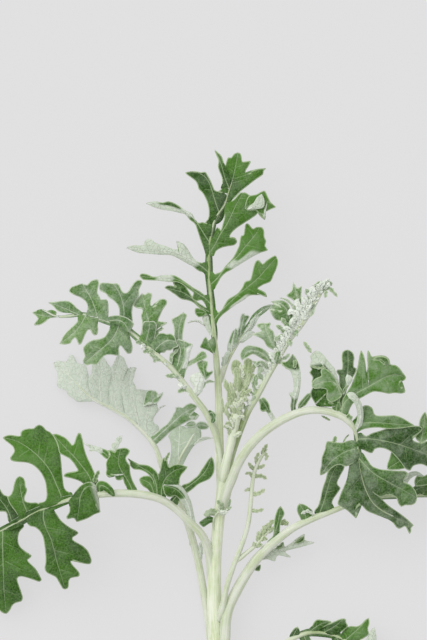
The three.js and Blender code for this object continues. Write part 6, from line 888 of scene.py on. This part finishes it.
def half_blade(vein, run, margin, end, slope, own, rng):
    """Half a blade as a grid of points, a row from the vein out to each point of the margin. Returns it,
    where its rows start along the vein, how long they are, and the ends of the veins that lead to teeth."""
    arc = lengths(margin)
    on, wide = nearest(vein, run, margin)
    s = np.clip(np.maximum.accumulate(on - SWEEP * wide), 0, LAST_FOOT * run[-1])
    s = np.convolve(np.pad(s, 2, mode="edge"), np.ones(5) / 5, mode="valid")
    s[0], s[-1] = 0, run[-1]
    feet = point_at(vein, run, s)[:, :3]
    high = feet[:, 2] + slope * wide
    high = end[2] + (high - end[2]) * step_between(arc, 0, FOOT_BLEND)
    tips = tooth_tips(wide, arc)
    gap = np.full(len(arc), SWELL_REACH)
    if tips:
        gap = np.abs(arc[:, None] - arc[tips][None, :]).min(axis=1)
    puff = np.sin(np.clip(gap / SWELL_REACH, 0, 1) * math.pi / 2)
    wave = sum(share * np.sin(arc / length + rng.uniform(0, 6.28))
               for share, length in zip(WAVE_SHARES, WAVE_LENGTHS))
    big = np.clip(wide / FULL_WIDTH, 0, 1)
    t = COLUMNS[None, :]
    z = feet[:, 2:3] + (high - feet[:, 2])[:, None] * t
    z = z + 4 * ARCH * wide[:, None] * t * (1 - t)
    z = z + (own["puff"] * big * puff)[:, None] * 4 * t * (1 - t)
    z = z + (own["wave"] * big * wave)[:, None] * t ** 2
    z = z - (SINK * big * (1 - puff))[:, None] * t ** 3
    out = margin - feet[:, :2]
    grid = np.dstack([feet[:, None, :2] + out[:, None, :] * t[..., None], z])
    return grid, s, np.linalg.norm(out, axis=1), [(feet[j, :2], margin[j]) for j in tips]


def half_faces(run, s, first, side):
    """Faces of half a blade whose grid starts at point number first: triangles between the vein and the
    first column, and quads between the columns."""
    columns = len(COLUMNS)
    faces = []

    def face(*ids):
        faces.append(ids if side == LEFT else ids[::-1])

    i = j = 0
    last_i, last_j = len(run) - 1, len(s) - 1
    while i < last_i or j < last_j:
        here = first + j * columns
        if j == last_j or (i < last_i and run[i + 1] <= s[j + 1]):
            face(i, i + 1, here)
            i += 1
        else:
            face(i, here + columns, here)
            j += 1
    for j in range(last_j):
        for here in range(first + j * columns, first + (j + 1) * columns - 1):
            face(here, here + columns, here + columns + 1, here + 1)
    return faces


def in_zone(share, across, sides, side, start, stop, inner=0):
    """1 in a part of a blade, 0 outside: on one side or both, between two shares of the vein, and beyond a
    share of the width."""
    there = step_between(share, start - ZONE_BLUR, start + ZONE_BLUR)
    if stop < 1:
        there = there * (1 - step_between(share, stop - ZONE_BLUR, stop + ZONE_BLUR))
    if inner > 0:
        there = there * step_between(across, inner - INNER_BLUR, inner + INNER_BLUR)
    return np.where((side == BOTH) | (sides == side) | (sides == BOTH), there, 0)


def twig_distance(points, sides, across, twigs):
    """Distance of each point from the nearest vein that leads to a tooth on its side, made greater towards
    the tooth, where the vein fades."""
    twig = np.full(len(points), NO_TWIG)
    for foot, tooth, side in twigs:
        line = np.array([foot, tooth])
        where, far = nearest(line, lengths(line), points)
        far = far + 0.5 * (where / max(math.dist(*line), 0.1)) ** 2
        twig = np.where((sides == side) | (across == 0), np.minimum(twig, far), twig)
    return twig


def add_blade(sheets, axis, along, lobe, own, rng):
    """Adds a lobe of a leaf, whose main vein is the axis, to the sheets."""
    control = rows(lobe["vein"], 3)
    at, off = nearest_one(axis, along, control[0])
    if off < SNAP and not lobe["free"]:
        control[0] = point_at(axis, along, at)[:3]
    vein = smooth(control, VEIN_STEP)
    run = lengths(vein)
    total = run[-1]
    if lobe["left"]:
        left, right = rows(lobe["left"], 2), rows(lobe["right"], 2)
    else:
        left, right = leaflet_margins(vein, run, lobe["wide"], rng)
    if lobe["free"]:
        ends = [control[0], control[0]]
    else:
        feet = [foot_end(axis, along, at, margin[0]) for margin in (left, right)]
        ends = [point_at(axis, along, s)[:3] for s in feet]
    given = np.vstack([ends[0][:2], left, vein[-1, :2], right[::-1], ends[1][:2]])
    outline, at_given = rounded(given, MARGIN_STEP if lobe["left"] else SMALL_MARGIN_STEP)
    tip = at_given[len(left) + 1]

    nothing = np.zeros(len(vein))
    points, faces, uv, twigs = [vein], [], [np.stack([run, nothing], axis=1)], []
    share, across, sides = [run / total], [nothing], [nothing]
    halves = zip((LEFT, RIGHT), (outline[: tip + 1], outline[tip:][::-1]), ends, lobe["rise"])
    for side, margin, end, slope in halves:
        grid, s, wide, teeth = half_blade(vein, run, margin, end, slope, own, rng)
        faces += half_faces(run, s, sum(map(len, points)), side)
        points.append(grid.reshape(-1, 3))
        along_vein = np.repeat(s, len(COLUMNS))
        uv.append(np.stack([along_vein, (side * wide[:, None] * COLUMNS).ravel()], axis=1))
        share.append(along_vein / total)
        across.append(np.tile(COLUMNS, len(s)))
        sides.append(np.full(len(along_vein), float(side)))
        twigs += [(*ends_of, side) for ends_of in teeth]
    points, share, across, sides = map(np.concatenate, (points, share, across, sides))

    on, off = nearest(vein, run, points)
    line = np.interp(on / total, [0, 1], [FOOT_LINE * min(1.0, 0.55 + total / 60), TIP_LINE])
    edge = nearest(outline, lengths(outline), points)[1]
    if not lobe["free"]:
        near = nearest(axis, along, points)[1]
        edge = edge + NO_RIM * (1 - step_between(near, own["wing"] * 0.8, own["wing"] * 0.8 + 1.2))
    for where in lobe["plain"]:
        edge = edge + NO_RIM * in_zone(share, across, sides, *where)
    pale = np.full(len(points), float(own["pale"]))
    for where in lobe["pale"]:
        there = in_zone(share, across, sides, *where)
        pale = pale + (1 - 2 * own["pale"]) * there * (np.abs(pale - own["pale"]) < 0.5)
    sheets.add(points, faces, np.vstack(uv), vein=off / line, edge=edge, pale=np.clip(pale, 0, 1),
               twig=twig_distance(points, sides, across, twigs),
               wool=own["wool"] if lobe["wool"] is None else lobe["wool"],
               tone=rng.uniform(0, 1) if lobe["tone"] is None else lobe["tone"])


def add_wings(sheets, axis, along, own, start, rng):
    """The green wings of the leaf's main vein, which join its lobes."""
    total = along[-1]
    s = np.arange(start, total, WING_STEP)
    plain = own["wing"] * step_between(s, start, start + 12) * (1 - 0.8 * step_between(s, total - 30, total))
    middle = point_at(axis, along, s)[:, :3]
    ahead = point_at(axis, along, np.minimum(s + 0.5, total)) - point_at(axis, along, np.maximum(s - 0.5, 0))
    out = np.stack([-ahead[:, 1], ahead[:, 0]], axis=1)
    out /= np.linalg.norm(out, axis=1)[:, None]
    t = WING_COLUMNS[None, :]
    k = len(WING_COLUMNS)
    for side, slope, broad in zip((LEFT, RIGHT), own["slopes"], own["broad"]):
        half = plain * (1 + 0.1 * np.sin(s / 2.3 + rng.uniform(0, 6)))
        if broad:
            beyond = np.maximum(s - broad, 0)
            half = half + WING_START * np.exp(-beyond / 1.3) * step_between(s, start, start + 3)
        half = np.maximum(half, 0.05)
        away = half[:, None] * t
        xy = middle[:, None, :2] + side * out[:, None, :] * away[..., None]
        z = middle[:, 2:3] - 0.12 - 0.35 * t ** 2 + 0.7 * slope * away
        faces = [(a, a + k, a + k + 1, a + 1)[::side] for j in range(len(s) - 1)
                 for a in range(j * k, j * k + k - 1)]
        away, room = away.ravel(), np.repeat(half, k)
        uv = np.stack([np.repeat(s, k), side * away], axis=1)
        sheets.add(np.dstack([xy, z]).reshape(-1, 3), faces, uv, vein=away / own["rib"], twig=NO_TWIG,
                   edge=room - away + 0.6, pale=own["pale"], wool=own["wool"], tone=0.5)


# ------------------------------------------------------------------ objects
def active(obj):
    bpy.ops.object.select_all(action="DESELECT")
    obj.select_set(True)
    bpy.context.view_layer.objects.active = obj


def linked(name, data):
    """A new object in the scene, active and alone selected."""
    obj = bpy.data.objects.new(name, data)
    bpy.context.collection.objects.link(obj)
    active(obj)
    return obj


def read_values(items, key, kind, width=1):
    """A value of every item of a mesh, as an array."""
    values = np.empty(len(items) * width, kind)
    items.foreach_get(key, values)
    return values


def sheet_object(name, sheets, materials):
    """The blades with their thickness: upper face, felted under face and felted margin."""
    mesh = bpy.data.meshes.new(name)
    mesh.from_pydata(place(np.vstack(sheets.points)).tolist(), [], sheets.faces)
    for key in Sheets.NAMES:
        values = np.concatenate(sheets.values[key]).astype(np.float32)
        mesh.attributes.new(key, "FLOAT", "POINT").data.foreach_set("value", values)
    uv = np.vstack(sheets.uv).astype(np.float32)
    corners = read_values(mesh.loops, "vertex_index", np.int32)
    mesh.uv_layers.new(name="UVMap").data.foreach_set("uv", (uv * 0.01)[corners].ravel())
    obj = linked(name, mesh)
    for material in materials:
        mesh.materials.append(material)
    bpy.ops.object.mode_set(mode="EDIT")
    bpy.ops.mesh.select_all(action="SELECT")
    bpy.ops.mesh.remove_doubles(threshold=0.02 * MM)
    bpy.ops.object.mode_set(mode="OBJECT")
    bpy.ops.object.shade_smooth()

    edge = read_values(mesh.attributes["edge"].data, "value", np.float32)
    body = obj.vertex_groups.new(name="body")
    weights = np.round(step_between(edge, 0, MARGIN_WIDTH) * 10).astype(int)
    for level in range(11):
        body.add(np.flatnonzero(weights == level).tolist(), level / 10, "REPLACE")
    wall = obj.modifiers.new("Thickness", "SOLIDIFY")
    wall.thickness, wall.offset = THICK * MM, 0
    wall.vertex_group, wall.thickness_vertex_group = "body", THIN_MARGIN
    wall.material_offset = wall.material_offset_rim = 1
    count = len(mesh.vertices)
    bpy.ops.object.modifier_apply(modifier=wall.name)
    raise_veins(obj.data, count)
    return obj


def raise_veins(mesh, count):
    """Veins stand out of the felted face and lie in a groove of the green one. The first count points are
    those of the upper face."""
    n = len(mesh.vertices)
    points = read_values(mesh.vertices, "co", float, 3).reshape(-1, 3)
    normals = read_values(mesh.vertex_normals, "vector", np.float32, 3).reshape(-1, 3)
    vein, twig, pale = (read_values(mesh.attributes[key].data, "value", np.float32)
                        for key in ("vein", "twig", "pale"))
    felt = np.where(np.arange(n) < count, pale, 1 - pale)
    ridge = np.exp(-(vein * VEIN_TAPER) ** 2) * (VEIN_RIDGE * felt - VEIN_GROOVE * (1 - felt))
    ridge += np.exp(-(twig / TWIG_WIDTH) ** 2) * (TWIG_RIDGE * felt - TWIG_GROOVE * (1 - felt))
    points = points + normals * ridge[:, None] * MM
    points[:, 2] = np.maximum(points[:, 2], 0.02 * MM)
    mesh.vertices.foreach_set("co", points.ravel())
    mesh.update()


def tube_object(name, points, radii, material, green, sides=STALK_SIDES):
    """A round stalk through the points, as a curve with a radius at each of them, made a mesh. Its skin reads
    two values: bare, from green, and streak, a place on the stalk stretched along it."""
    curve = bpy.data.curves.new(name, "CURVE")
    curve.dimensions = "3D"
    curve.bevel_depth = MM
    curve.bevel_resolution = max(1, sides // 4 - 1)
    curve.use_fill_caps = True
    spline = curve.splines.new("POLY")
    spline.points.add(len(points) - 1)
    at = place(points)
    spline.points.foreach_set("co", np.column_stack([at, np.ones(len(at))]).ravel())
    spline.points.foreach_set("radius", np.asarray(radii, np.float32))
    obj = linked(name, curve)
    bpy.ops.object.convert(target="MESH")
    bpy.ops.object.mode_set(mode="EDIT")
    bpy.ops.mesh.select_all(action="SELECT")
    bpy.ops.mesh.remove_doubles(threshold=0.01 * MM)
    bpy.ops.mesh.normals_make_consistent(inside=False)
    bpy.ops.object.mode_set(mode="OBJECT")
    bpy.ops.object.shade_smooth()
    obj.data.materials.clear()
    obj.data.materials.append(material)

    skin = read_values(obj.data.vertices, "co", float, 3).reshape(-1, 3) / MM + SHIFT
    along = lengths(points)
    on = nearest(points, along, skin)[0]
    shares, values = rows(green, 2).T
    bare = obj.data.attributes.new("bare", "FLOAT", "POINT")
    bare.data.foreach_set("value", np.interp(on / along[-1], shares, values).astype(np.float32))
    off = skin - point_at(points, along, on)
    ahead = point_at(points, along, np.minimum(on + 1, along[-1])) - point_at(points, along, on - 1)
    turn = np.arctan2(off[:, 2], off[:, 1] * ahead[:, 0] - off[:, 0] * ahead[:, 1])
    wide = float(np.mean(radii))
    place_on = np.stack([np.cos(turn) * wide, np.sin(turn) * wide, on * STREAK_STRETCH], axis=1) * MM
    streak = obj.data.attributes.new("streak", "FLOAT_VECTOR", "POINT")
    streak.data.foreach_set("vector", place_on.astype(np.float32).ravel())
    return obj


def joined(name, objects, node):
    """One piece from several meshes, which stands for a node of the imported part."""
    active(objects[0])
    for obj in objects:
        obj.select_set(True)
    if len(objects) > 1:
        bpy.ops.object.join()
    piece = bpy.context.view_layer.objects.active
    piece.name = piece.data.name = name
    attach(piece, "root")
    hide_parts(node)


# ------------------------------------------------------------------ nodes for the finishes
def add(tree, kind, inputs=None, **settings):
    node = tree.nodes.new("ShaderNode" + kind)
    for key, value in settings.items():
        setattr(node, key, value)
    for key, value in (inputs or {}).items():
        if isinstance(value, bpy.types.NodeSocket):
            tree.links.new(value, node.inputs[key])
        else:
            node.inputs[key].default_value = value
    return node.outputs


def mixed(tree, factor, a, b):
    return add(tree, "Mix", {0: factor, 6: a, 7: b}, data_type="RGBA")[2]


def calc(tree, operation, a, b=0.0, clamp=False):
    return add(tree, "Math", {0: a, 1: b}, operation=operation, use_clamp=clamp)[0]


def plus(tree, a, b, clamp=False):
    return calc(tree, "ADD", a, b, clamp)


def times(tree, a, b):
    return calc(tree, "MULTIPLY", a, b)


def fade(tree, value, low, high, start=0.0, end=1.0):
    """start where the value is below low, end where it is above high, smooth between."""
    inputs = {"Value": value, "From Min": low, "From Max": high, "To Min": start, "To Max": end}
    return add(tree, "MapRange", inputs, interpolation_type="SMOOTHSTEP")["Result"]


def noise(tree, where, size, detail=2.0, rough=0.5):
    """Noise whose marks are about size mm wide."""
    inputs = {"Vector": where, "Scale": 1 / (size * MM), "Detail": detail, "Roughness": rough}
    return add(tree, "TexNoise", inputs)["Fac"]


def stored(tree, key, output="Fac"):
    """A value kept with the mesh."""
    return add(tree, "Attribute", attribute_name=key)[output]


def colour(text):
    """A colour written as RRGGBB on screen, as the linear values that nodes take."""
    parts = [int(text[i:i + 2], 16) / 255 for i in (0, 2, 4)]
    return tuple(p / 12.92 if p < 0.04045 else ((p + 0.055) / 1.055) ** 2.4 for p in parts) + (1.0,)


def new_group(name, inputs):
    """A node group with the given inputs that puts out a colour, a roughness and a height."""
    group = bpy.data.node_groups.new(name, "ShaderNodeTree")
    for key, value in inputs.items():
        kind = "NodeSocketColor" if isinstance(value, tuple) else "NodeSocketFloat"
        group.interface.new_socket(key, in_out="INPUT", socket_type=kind).default_value = value
    for key, kind in (("Color", "Color"), ("Roughness", "Float"), ("Height", "Float")):
        group.interface.new_socket(key, in_out="OUTPUT", socket_type="NodeSocket" + kind)
    return group, group.nodes.new("NodeGroupInput").outputs


def put_out(group, **values):
    made = group.nodes.new("NodeGroupOutput").inputs
    for key, value in values.items():
        group.links.new(value, made[key])
    return group


def leaf_group():
    """Both faces of a felted leaf: smooth green under thin wool, or thick pale felt."""
    group, given = new_group(
        "Felted leaf",
        {"Dark green": colour("45682F"), "Light green": colour("6F8F58"), "Felt": colour("BFC7BA"),
         "Vein": colour("B4C2A6"), "Lines": 0.6, "Turned": 0.0})
    read = {key: stored(group, key) for key in Sheets.NAMES}
    where = add(group, "TexCoord")["Object"]
    broad, haze = noise(group, where, 14.0), noise(group, where, 5.5)
    patch, fine = noise(group, where, 2.6, 3.0, 0.6), noise(group, where, 0.7, 2.0, 0.6)
    fibre = noise(group, where, 0.22, 1.0)
    net = add(group, "TexVoronoi", {"Vector": where, "Scale": 1 / (1.9 * MM)}, feature="DISTANCE_TO_EDGE")[0]
    net = fade(group, net, 0.0, 0.11, 1.0, 0.0)
    vein = fade(group, read["vein"], 0.6, 1.3, 1.0, 0.0)
    near_vein = fade(group, read["vein"], 1.0, 6.0, 1.0, 0.0)
    twig = fade(group, read["twig"], 0.1, 0.3, 1.0, 0.0)
    margin = fade(group, read["edge"], 0.22, 0.5, 1.0, 0.0)
    rim = fade(group, read["edge"], 0.0, 0.06, 0.85, 0.0)

    # green face: patches of two greens, a net of fine veins, thin wool, then the veins and the margin
    shade = plus(group, times(group, broad, 0.9), times(group, read["tone"], 0.35))
    shade = plus(group, shade, fade(group, fine, 0.3, 0.7, -0.16, 0.16))
    green = mixed(group, fade(group, shade, 0.3, 0.95), given["Dark green"], given["Light green"])
    green = mixed(group, times(group, net, 0.09), green, given["Vein"])
    wool = plus(group, times(group, haze, 0.65), times(group, patch, 0.35))
    wool = plus(group, fade(group, wool, 0.38, 0.66, -0.35, 0.45), times(group, fine, 0.9))
    wool = times(group, wool, read["wool"])
    by_vein = times(group, near_vein, times(group, read["wool"], 0.25))
    wool = plus(group, wool, by_vein, clamp=True)
    green = mixed(group, times(group, wool, 0.55), green, given["Felt"])
    lines = calc(group, "MAXIMUM", times(group, vein, 0.75), times(group, twig, 0.3))
    lines = calc(group, "MAXIMUM", lines, margin)
    green = mixed(group, times(group, lines, given["Lines"]), green, given["Vein"])

    # felted face: green where the felt is thin, then the net, the raised veins and the fibres
    thin = fade(group, patch, 0.35, 0.62, 0.1, 0.0)
    thin = plus(group, thin, fade(group, read["tone"], -1.0, 0.5, 0.35, 0.0))
    felt = mixed(group, thin, given["Felt"], given["Light green"])
    felt = mixed(group, times(group, net, 0.22), felt, given["Vein"])
    lines = calc(group, "MAXIMUM", vein, times(group, twig, 0.6))
    felt = mixed(group, times(group, lines, 0.75), felt, colour("E4E8DD"))
    felt = mixed(group, times(group, fine, 0.25), felt, colour("DDE1DA"))

    turned = calc(group, "ABSOLUTE", calc(group, "SUBTRACT", given["Turned"], read["pale"]))
    rough = plus(group, times(group, turned, 0.22), times(group, wool, 0.15))
    fuzz = plus(group, times(group, fibre, 0.5), times(group, fine, 0.5))
    fuzz = times(group, fuzz, plus(group, times(group, turned, 0.6), 0.25))
    cells = times(group, net, calc(group, "SUBTRACT", turned, 0.5))
    return put_out(group, Color=mixed(group, rim, mixed(group, turned, green, felt), given["Felt"]),
                   Roughness=plus(group, rough, 0.62), Height=plus(group, fuzz, cells))


def stalk_group():
    """Pale green skin under a coat of short wool, with faint ridges along the stalk."""
    group, given = new_group(
        "Woolly stalk", {"Skin": colour("A9B88C"), "Wool": colour("DADFD2"), "Cover": 0.6})
    where = add(group, "TexCoord")["Object"]
    broad, patch = noise(group, where, 9.0), noise(group, where, 1.8, 3.0, 0.6)
    fibre = noise(group, where, 0.25, 2.0, 0.7)
    streak = noise(group, stored(group, "streak", "Vector"), 0.9, 2.0, 0.6)
    bare = stored(group, "bare")
    cover = plus(group, times(group, broad, 0.6), times(group, patch, 0.4))
    cover = plus(group, fade(group, cover, 0.35, 0.65, -0.2, 0.2), given["Cover"])
    cover = plus(group, cover, fade(group, streak, 0.35, 0.6, -0.4, 0.25))
    cover = calc(group, "SUBTRACT", cover, times(group, bare, 0.25), clamp=True)
    skin = mixed(group, bare, given["Skin"], colour("8FA566"))
    wool = mixed(group, bare, given["Wool"], colour("C3CEA9"))
    return put_out(group, Color=mixed(group, cover, skin, wool),
                   Roughness=plus(group, times(group, cover, 0.25), 0.6),
                   Height=plus(group, times(group, fibre, 0.5), times(group, streak, 0.9)))


# ------------------------------------------------------------------ finishes
SHINE = 0.12
SHEEN_ROUGHNESS = 0.6
STALK_SHEEN, STALK_BUMP = 0.45, 0.2
FELT_SHEEN = 0.08
UPPER_BUMP, UNDER_BUMP = 0.25, 0.35
PITH_BUMP = 0.3


def finish(name, group, values, sheen, bump):
    """A material that takes its colour, roughness and bump, bump mm high, from a group."""
    material = bpy.data.materials.new(name)
    material.use_nodes = True
    tree = material.node_tree
    shader = tree.nodes["Principled BSDF"]
    node = tree.nodes.new("ShaderNodeGroup")
    node.node_tree = group
    for key, value in values.items():
        node.inputs[key].default_value = value
    normal = add(tree, "Bump", {"Strength": 1.0, "Distance": bump * MM, "Height": node.outputs["Height"]})[0]
    tree.links.new(node.outputs["Color"], shader.inputs["Base Color"])
    tree.links.new(node.outputs["Roughness"], shader.inputs["Roughness"])
    tree.links.new(normal, shader.inputs["Normal"])
    shader.inputs["Specular IOR Level"].default_value = SHINE
    shader.inputs["Sheen Weight"].default_value = sheen
    shader.inputs["Sheen Roughness"].default_value = SHEEN_ROUGHNESS
    return material


LEAF, STALK = leaf_group(), stalk_group()
GREENS = {  # dark green, light green, felt, veins, strength of the veins
    "deep green": ("23440D", "4B7823", "C6CFBD", "B3C69C", 0.7),
    "woolly green": ("3F652A", "6B914A", "E2E7DC", "C9D5BA", 0.75),
    "hoary green": ("3F652A", "9CAE88", "D4DACB", "BDC8AE", 0.35),
    "young green": ("7C9060", "9DAE7E", "D0D8BC", "C6CFB2", 0.7),
    "pale felt": ("4A6E35", "6E9353", "C9D2C3", "DDE3D6", 0.7),
}
FACES = {}
for kind, (dark, light, felt, vein, lines) in GREENS.items():
    tints = {"Dark green": colour(dark), "Light green": colour(light), "Felt": colour(felt),
             "Vein": colour(vein), "Lines": lines}
    FACES[kind] = [finish(kind + " upper face", LEAF, {**tints, "Turned": 0.0}, 0.0, UPPER_BUMP),
                   finish(kind + " under face", LEAF, {**tints, "Turned": 1.0}, FELT_SHEEN, UNDER_BUMP)]
WOOLS = {  # skin, wool
    "stem": ("C6D2A2", "E6EBD6"),
    "stalk": ("BDC9A0", "D9DDCD"),
    "pale stalk": ("C6D1A9", "E2E7D4"),
    "young stalk": ("B4C090", "DDE3D2"),
}
SKINS = {}
for kind, (skin, wool) in WOOLS.items():
    SKINS[kind] = finish(kind + " wool", STALK, {"Skin": colour(skin), "Wool": colour(wool), "Cover": 0.6},
                         STALK_SHEEN, STALK_BUMP)
PITH = finish("cut end pith", STALK, {"Skin": colour("C9D2A8"), "Wool": colour("E4E6D3"), "Cover": 0.7}, 0.0,
              PITH_BUMP)


# ------------------------------------------------------------------ leaves
def look(start, wing, rib, wool, kind="deep green", skin="stalk", pale=0.0, puff=0.3, wave=0.3, rise=-0.25,
         swell=0.25, slopes=(0, 0), broad=(0, 0), slot="leaf_green"):
    """start: where the blade begins on the stalk, or None. wing: width of the blade beside the main vein.
    rib: half width of the main vein. wool: how much of it lies on the green face. kind, skin: finishes. pale:
    1 where the felted face is up. puff, wave: how far blades swell and wave. rise: of the main vein over its
    blades. swell: of the stalk's foot, as a share of its radius. slopes: of the left and right wing. broad:
    length of the stalk up to which each wing is broader. slot: not used."""
    return dict(start=start, wing=wing, rib=rib, wool=wool, kind=kind, skin=skin, pale=pale, puff=puff,
                wave=wave, rise=rise, swell=swell, slopes=slopes, broad=broad, slot=slot)


LOOKS = {
    "leaf_top": look((1.1, 113), 1.4, 0.72, 0.2, rise=0.2, swell=0.0, slopes=(-0.37, -1.14),
                     broad=(8.14, 14.03)),
    "leaf_top_side": look((4, 107), 0.8, 0.5, 0.9, "pale felt", pale=1.0, rise=0.1, puff=0.1,
                          slopes=(1.52, 0.24), broad=(4.6, 1.6), slot="leaf_pale"),
    "leaf_upper_left": look((-19, 113), 1.3, 0.5, 0.45, "woolly green", swell=0.0, slopes=(-0.08, -0.1)),
    "leaf_back_left": look((-19, 66), 0.8, 0.9, 0.9, "pale felt", pale=1.0, rise=0.25, puff=0.1, wave=0.1,
                           slopes=(0.68, 0.27), slot="leaf_pale"),
    "leaf_lower_left": look((-48, 58), 1.8, 0.6, 0.16, rise=0.25, slopes=(0.02, 1.02)),
    "shoot_upper_right": look(None, 0.0, 0.5, 0.7, "woolly green", "young stalk"),
    "shoot_centre": look(None, 0.0, 0.5, 0.6, "young green", "pale stalk"),
    "leaf_right": look((53, 88), 1.4, 0.35, 0.5, rise=0.05, slopes=(0.51, -1.25)),
    "leaf_lower_right": look((44, 50.4), 1.2, 0.9, 0.3, rise=0, slopes=(0.52, -1.77)),
    "shoot_axil": look(None, 0.0, 0.4, 0.8, "young green", slot="leaf_pale"),
    "leaf_stem_small": look(None, 0.0, 0.5, 0.5, "hoary green", slot="leaf_pale"),
    "leaf_base_right": look((28, -3), 1.6, 0.7, 0.3, rise=0, slopes=(0.43, -0.16)),
}


def stalk_parts(flat, own):
    """Points of a stalk and the main vein that it becomes, the length along them, its radius at each, and the
    length at which the leaf's blade starts, or None."""
    axis = smooth(rows(flat, 4), AXIS_STEP)
    along = lengths(axis)
    total = along[-1]
    start = float(nearest_one(axis, along, np.array(own["start"], float))[0]) if own["start"] else None
    radius = axis[:, 3].copy()
    radius *= 0.55 + 0.45 * step_between(along, 0, 3)
    radius *= 1 + own["swell"] * (1 - step_between(along, 2, 14)) * step_between(along, 0, 2)
    if start is not None:
        narrow = step_between(along, start - 4, start + 22)
        vein = np.interp(along, [start, total], [own["rib"], 0.22])
        radius = radius * (1 - narrow) + np.minimum(vein, radius) * narrow
    radius *= 1 - 0.7 * step_between(along, total - 2.0, total)
    return axis, along, radius, start


def green_shares(part, along, start, own):
    """How much wool the stalk lacks, where its table says nothing: a green leaf's main vein is barer."""
    if "green" in part:
        return part["green"]
    if start is None or own["pale"]:
        return [0, 0, 1, 0]
    share = start / along[-1]
    return [0, 0, share, 0, min(share + 0.12, 0.99), 0.75, 1, 0.75]


def make_leaf(node, leaf, own):
    rng = random.Random(node)
    sheets, tubes = Sheets(), []
    parts = [(leaf, own)]
    if "twig" in leaf:
        parts.append((leaf["twig"], {**own, "slopes": (0, 0), "broad": (0, 0)}))
    for part, own in parts:
        axis, along, radius, start = stalk_parts(part["stalk"], own)
        for lobe in part["blades"] + young_leaflets(axis, along, part, rng):
            add_blade(sheets, axis, along, lobe, own, rng)
        points = axis[:, :3].copy()
        if start is not None:
            add_wings(sheets, axis, along, own, start, rng)
            points[:, 2] += own["rise"] * step_between(along, start, start + 15)
        points[:, 2] = np.maximum(points[:, 2], radius + 0.03)
        tubes.append(tube_object(node + "_stalk", points, radius, SKINS[own["skin"]],
                                 green_shares(part, along, start, own)))
    blades = sheet_object(node + "_blades", sheets, FACES[own["kind"]])
    joined("fine_" + node, [blades] + tubes, node)


def make_stem():
    axis = smooth(rows(STEM, 4), STEM_STEP)
    stem = tube_object("stem", axis[:, :3], axis[:, 3], SKINS["stem"], STEM_GREEN, sides=STEM_SIDES)
    stem.data.materials.append(PITH)
    bpy.ops.object.mode_set(mode="EDIT")
    bpy.ops.mesh.select_all(action="DESELECT")
    bpy.ops.mesh.select_face_by_sides(number=8, type="GREATER", extend=False)
    bpy.ops.mesh.inset(thickness=PITH_INSET * MM, depth=PITH_DEPTH * MM)
    stem.active_material_index = 1
    bpy.ops.object.material_slot_assign()
    bpy.ops.object.mode_set(mode="OBJECT")
    joined("fine_stem", [stem], "stem")


# ------------------------------------------------------------------ floor, light and camera
def make_floor():
    """A pale ground that glows a little, so that shadows on it stay faint."""
    material = bpy.data.materials.new("pale floor")
    material.use_nodes = True
    shader = material.node_tree.nodes["Principled BSDF"]
    settings = {"Base Color": (0.15, 0.15, 0.15, 1), "Roughness": 0.95, "Specular IOR Level": 0.0,
                "Emission Color": (1.0, 0.99, 1.0, 1), "Emission Strength": 0.59}
    for key, value in settings.items():
        shader.inputs[key].default_value = value
    bpy.ops.mesh.primitive_plane_add(size=60, location=(0, 0, 0))
    floor = bpy.context.active_object
    floor.name = "floor"
    floor.data.materials.append(material)


def make_light():
    """An even pale room and a broad window at the upper left."""
    world = bpy.data.worlds.new("studio")
    bpy.context.scene.world = world
    world.use_nodes = True
    world.node_tree.nodes["Background"].inputs["Color"].default_value = (0.985, 0.99, 1.0, 1)
    world.node_tree.nodes["Background"].inputs["Strength"].default_value = 0.66
    sun = bpy.data.lights.new("soft window", "SUN")
    sun.energy, sun.angle = 1.7, math.radians(60)
    lamp = bpy.data.objects.new("soft window", sun)
    lamp.rotation_euler = (math.radians(-24), math.radians(-22), 0)
    bpy.context.collection.objects.link(lamp)


def make_camera():
    data = bpy.data.cameras.new("camera")
    data.sensor_width = SENSOR
    data.lens = SENSOR * (CAMERA_HEIGHT - PICTURE_LEVEL) / PICTURE_HEIGHT
    data.clip_start, data.clip_end = 0.1, 100
    camera = bpy.data.objects.new("camera", data)
    camera.location = place([[*PICTURE_MIDDLE, CAMERA_HEIGHT]])[0]
    bpy.context.collection.objects.link(camera)
    bpy.context.scene.camera = camera


for node, leaf in LEAVES.items():
    make_leaf(node, leaf, LOOKS[node])
make_stem()
make_floor()
make_light()
make_camera()
bpy.context.scene.view_settings.view_transform = "Standard"
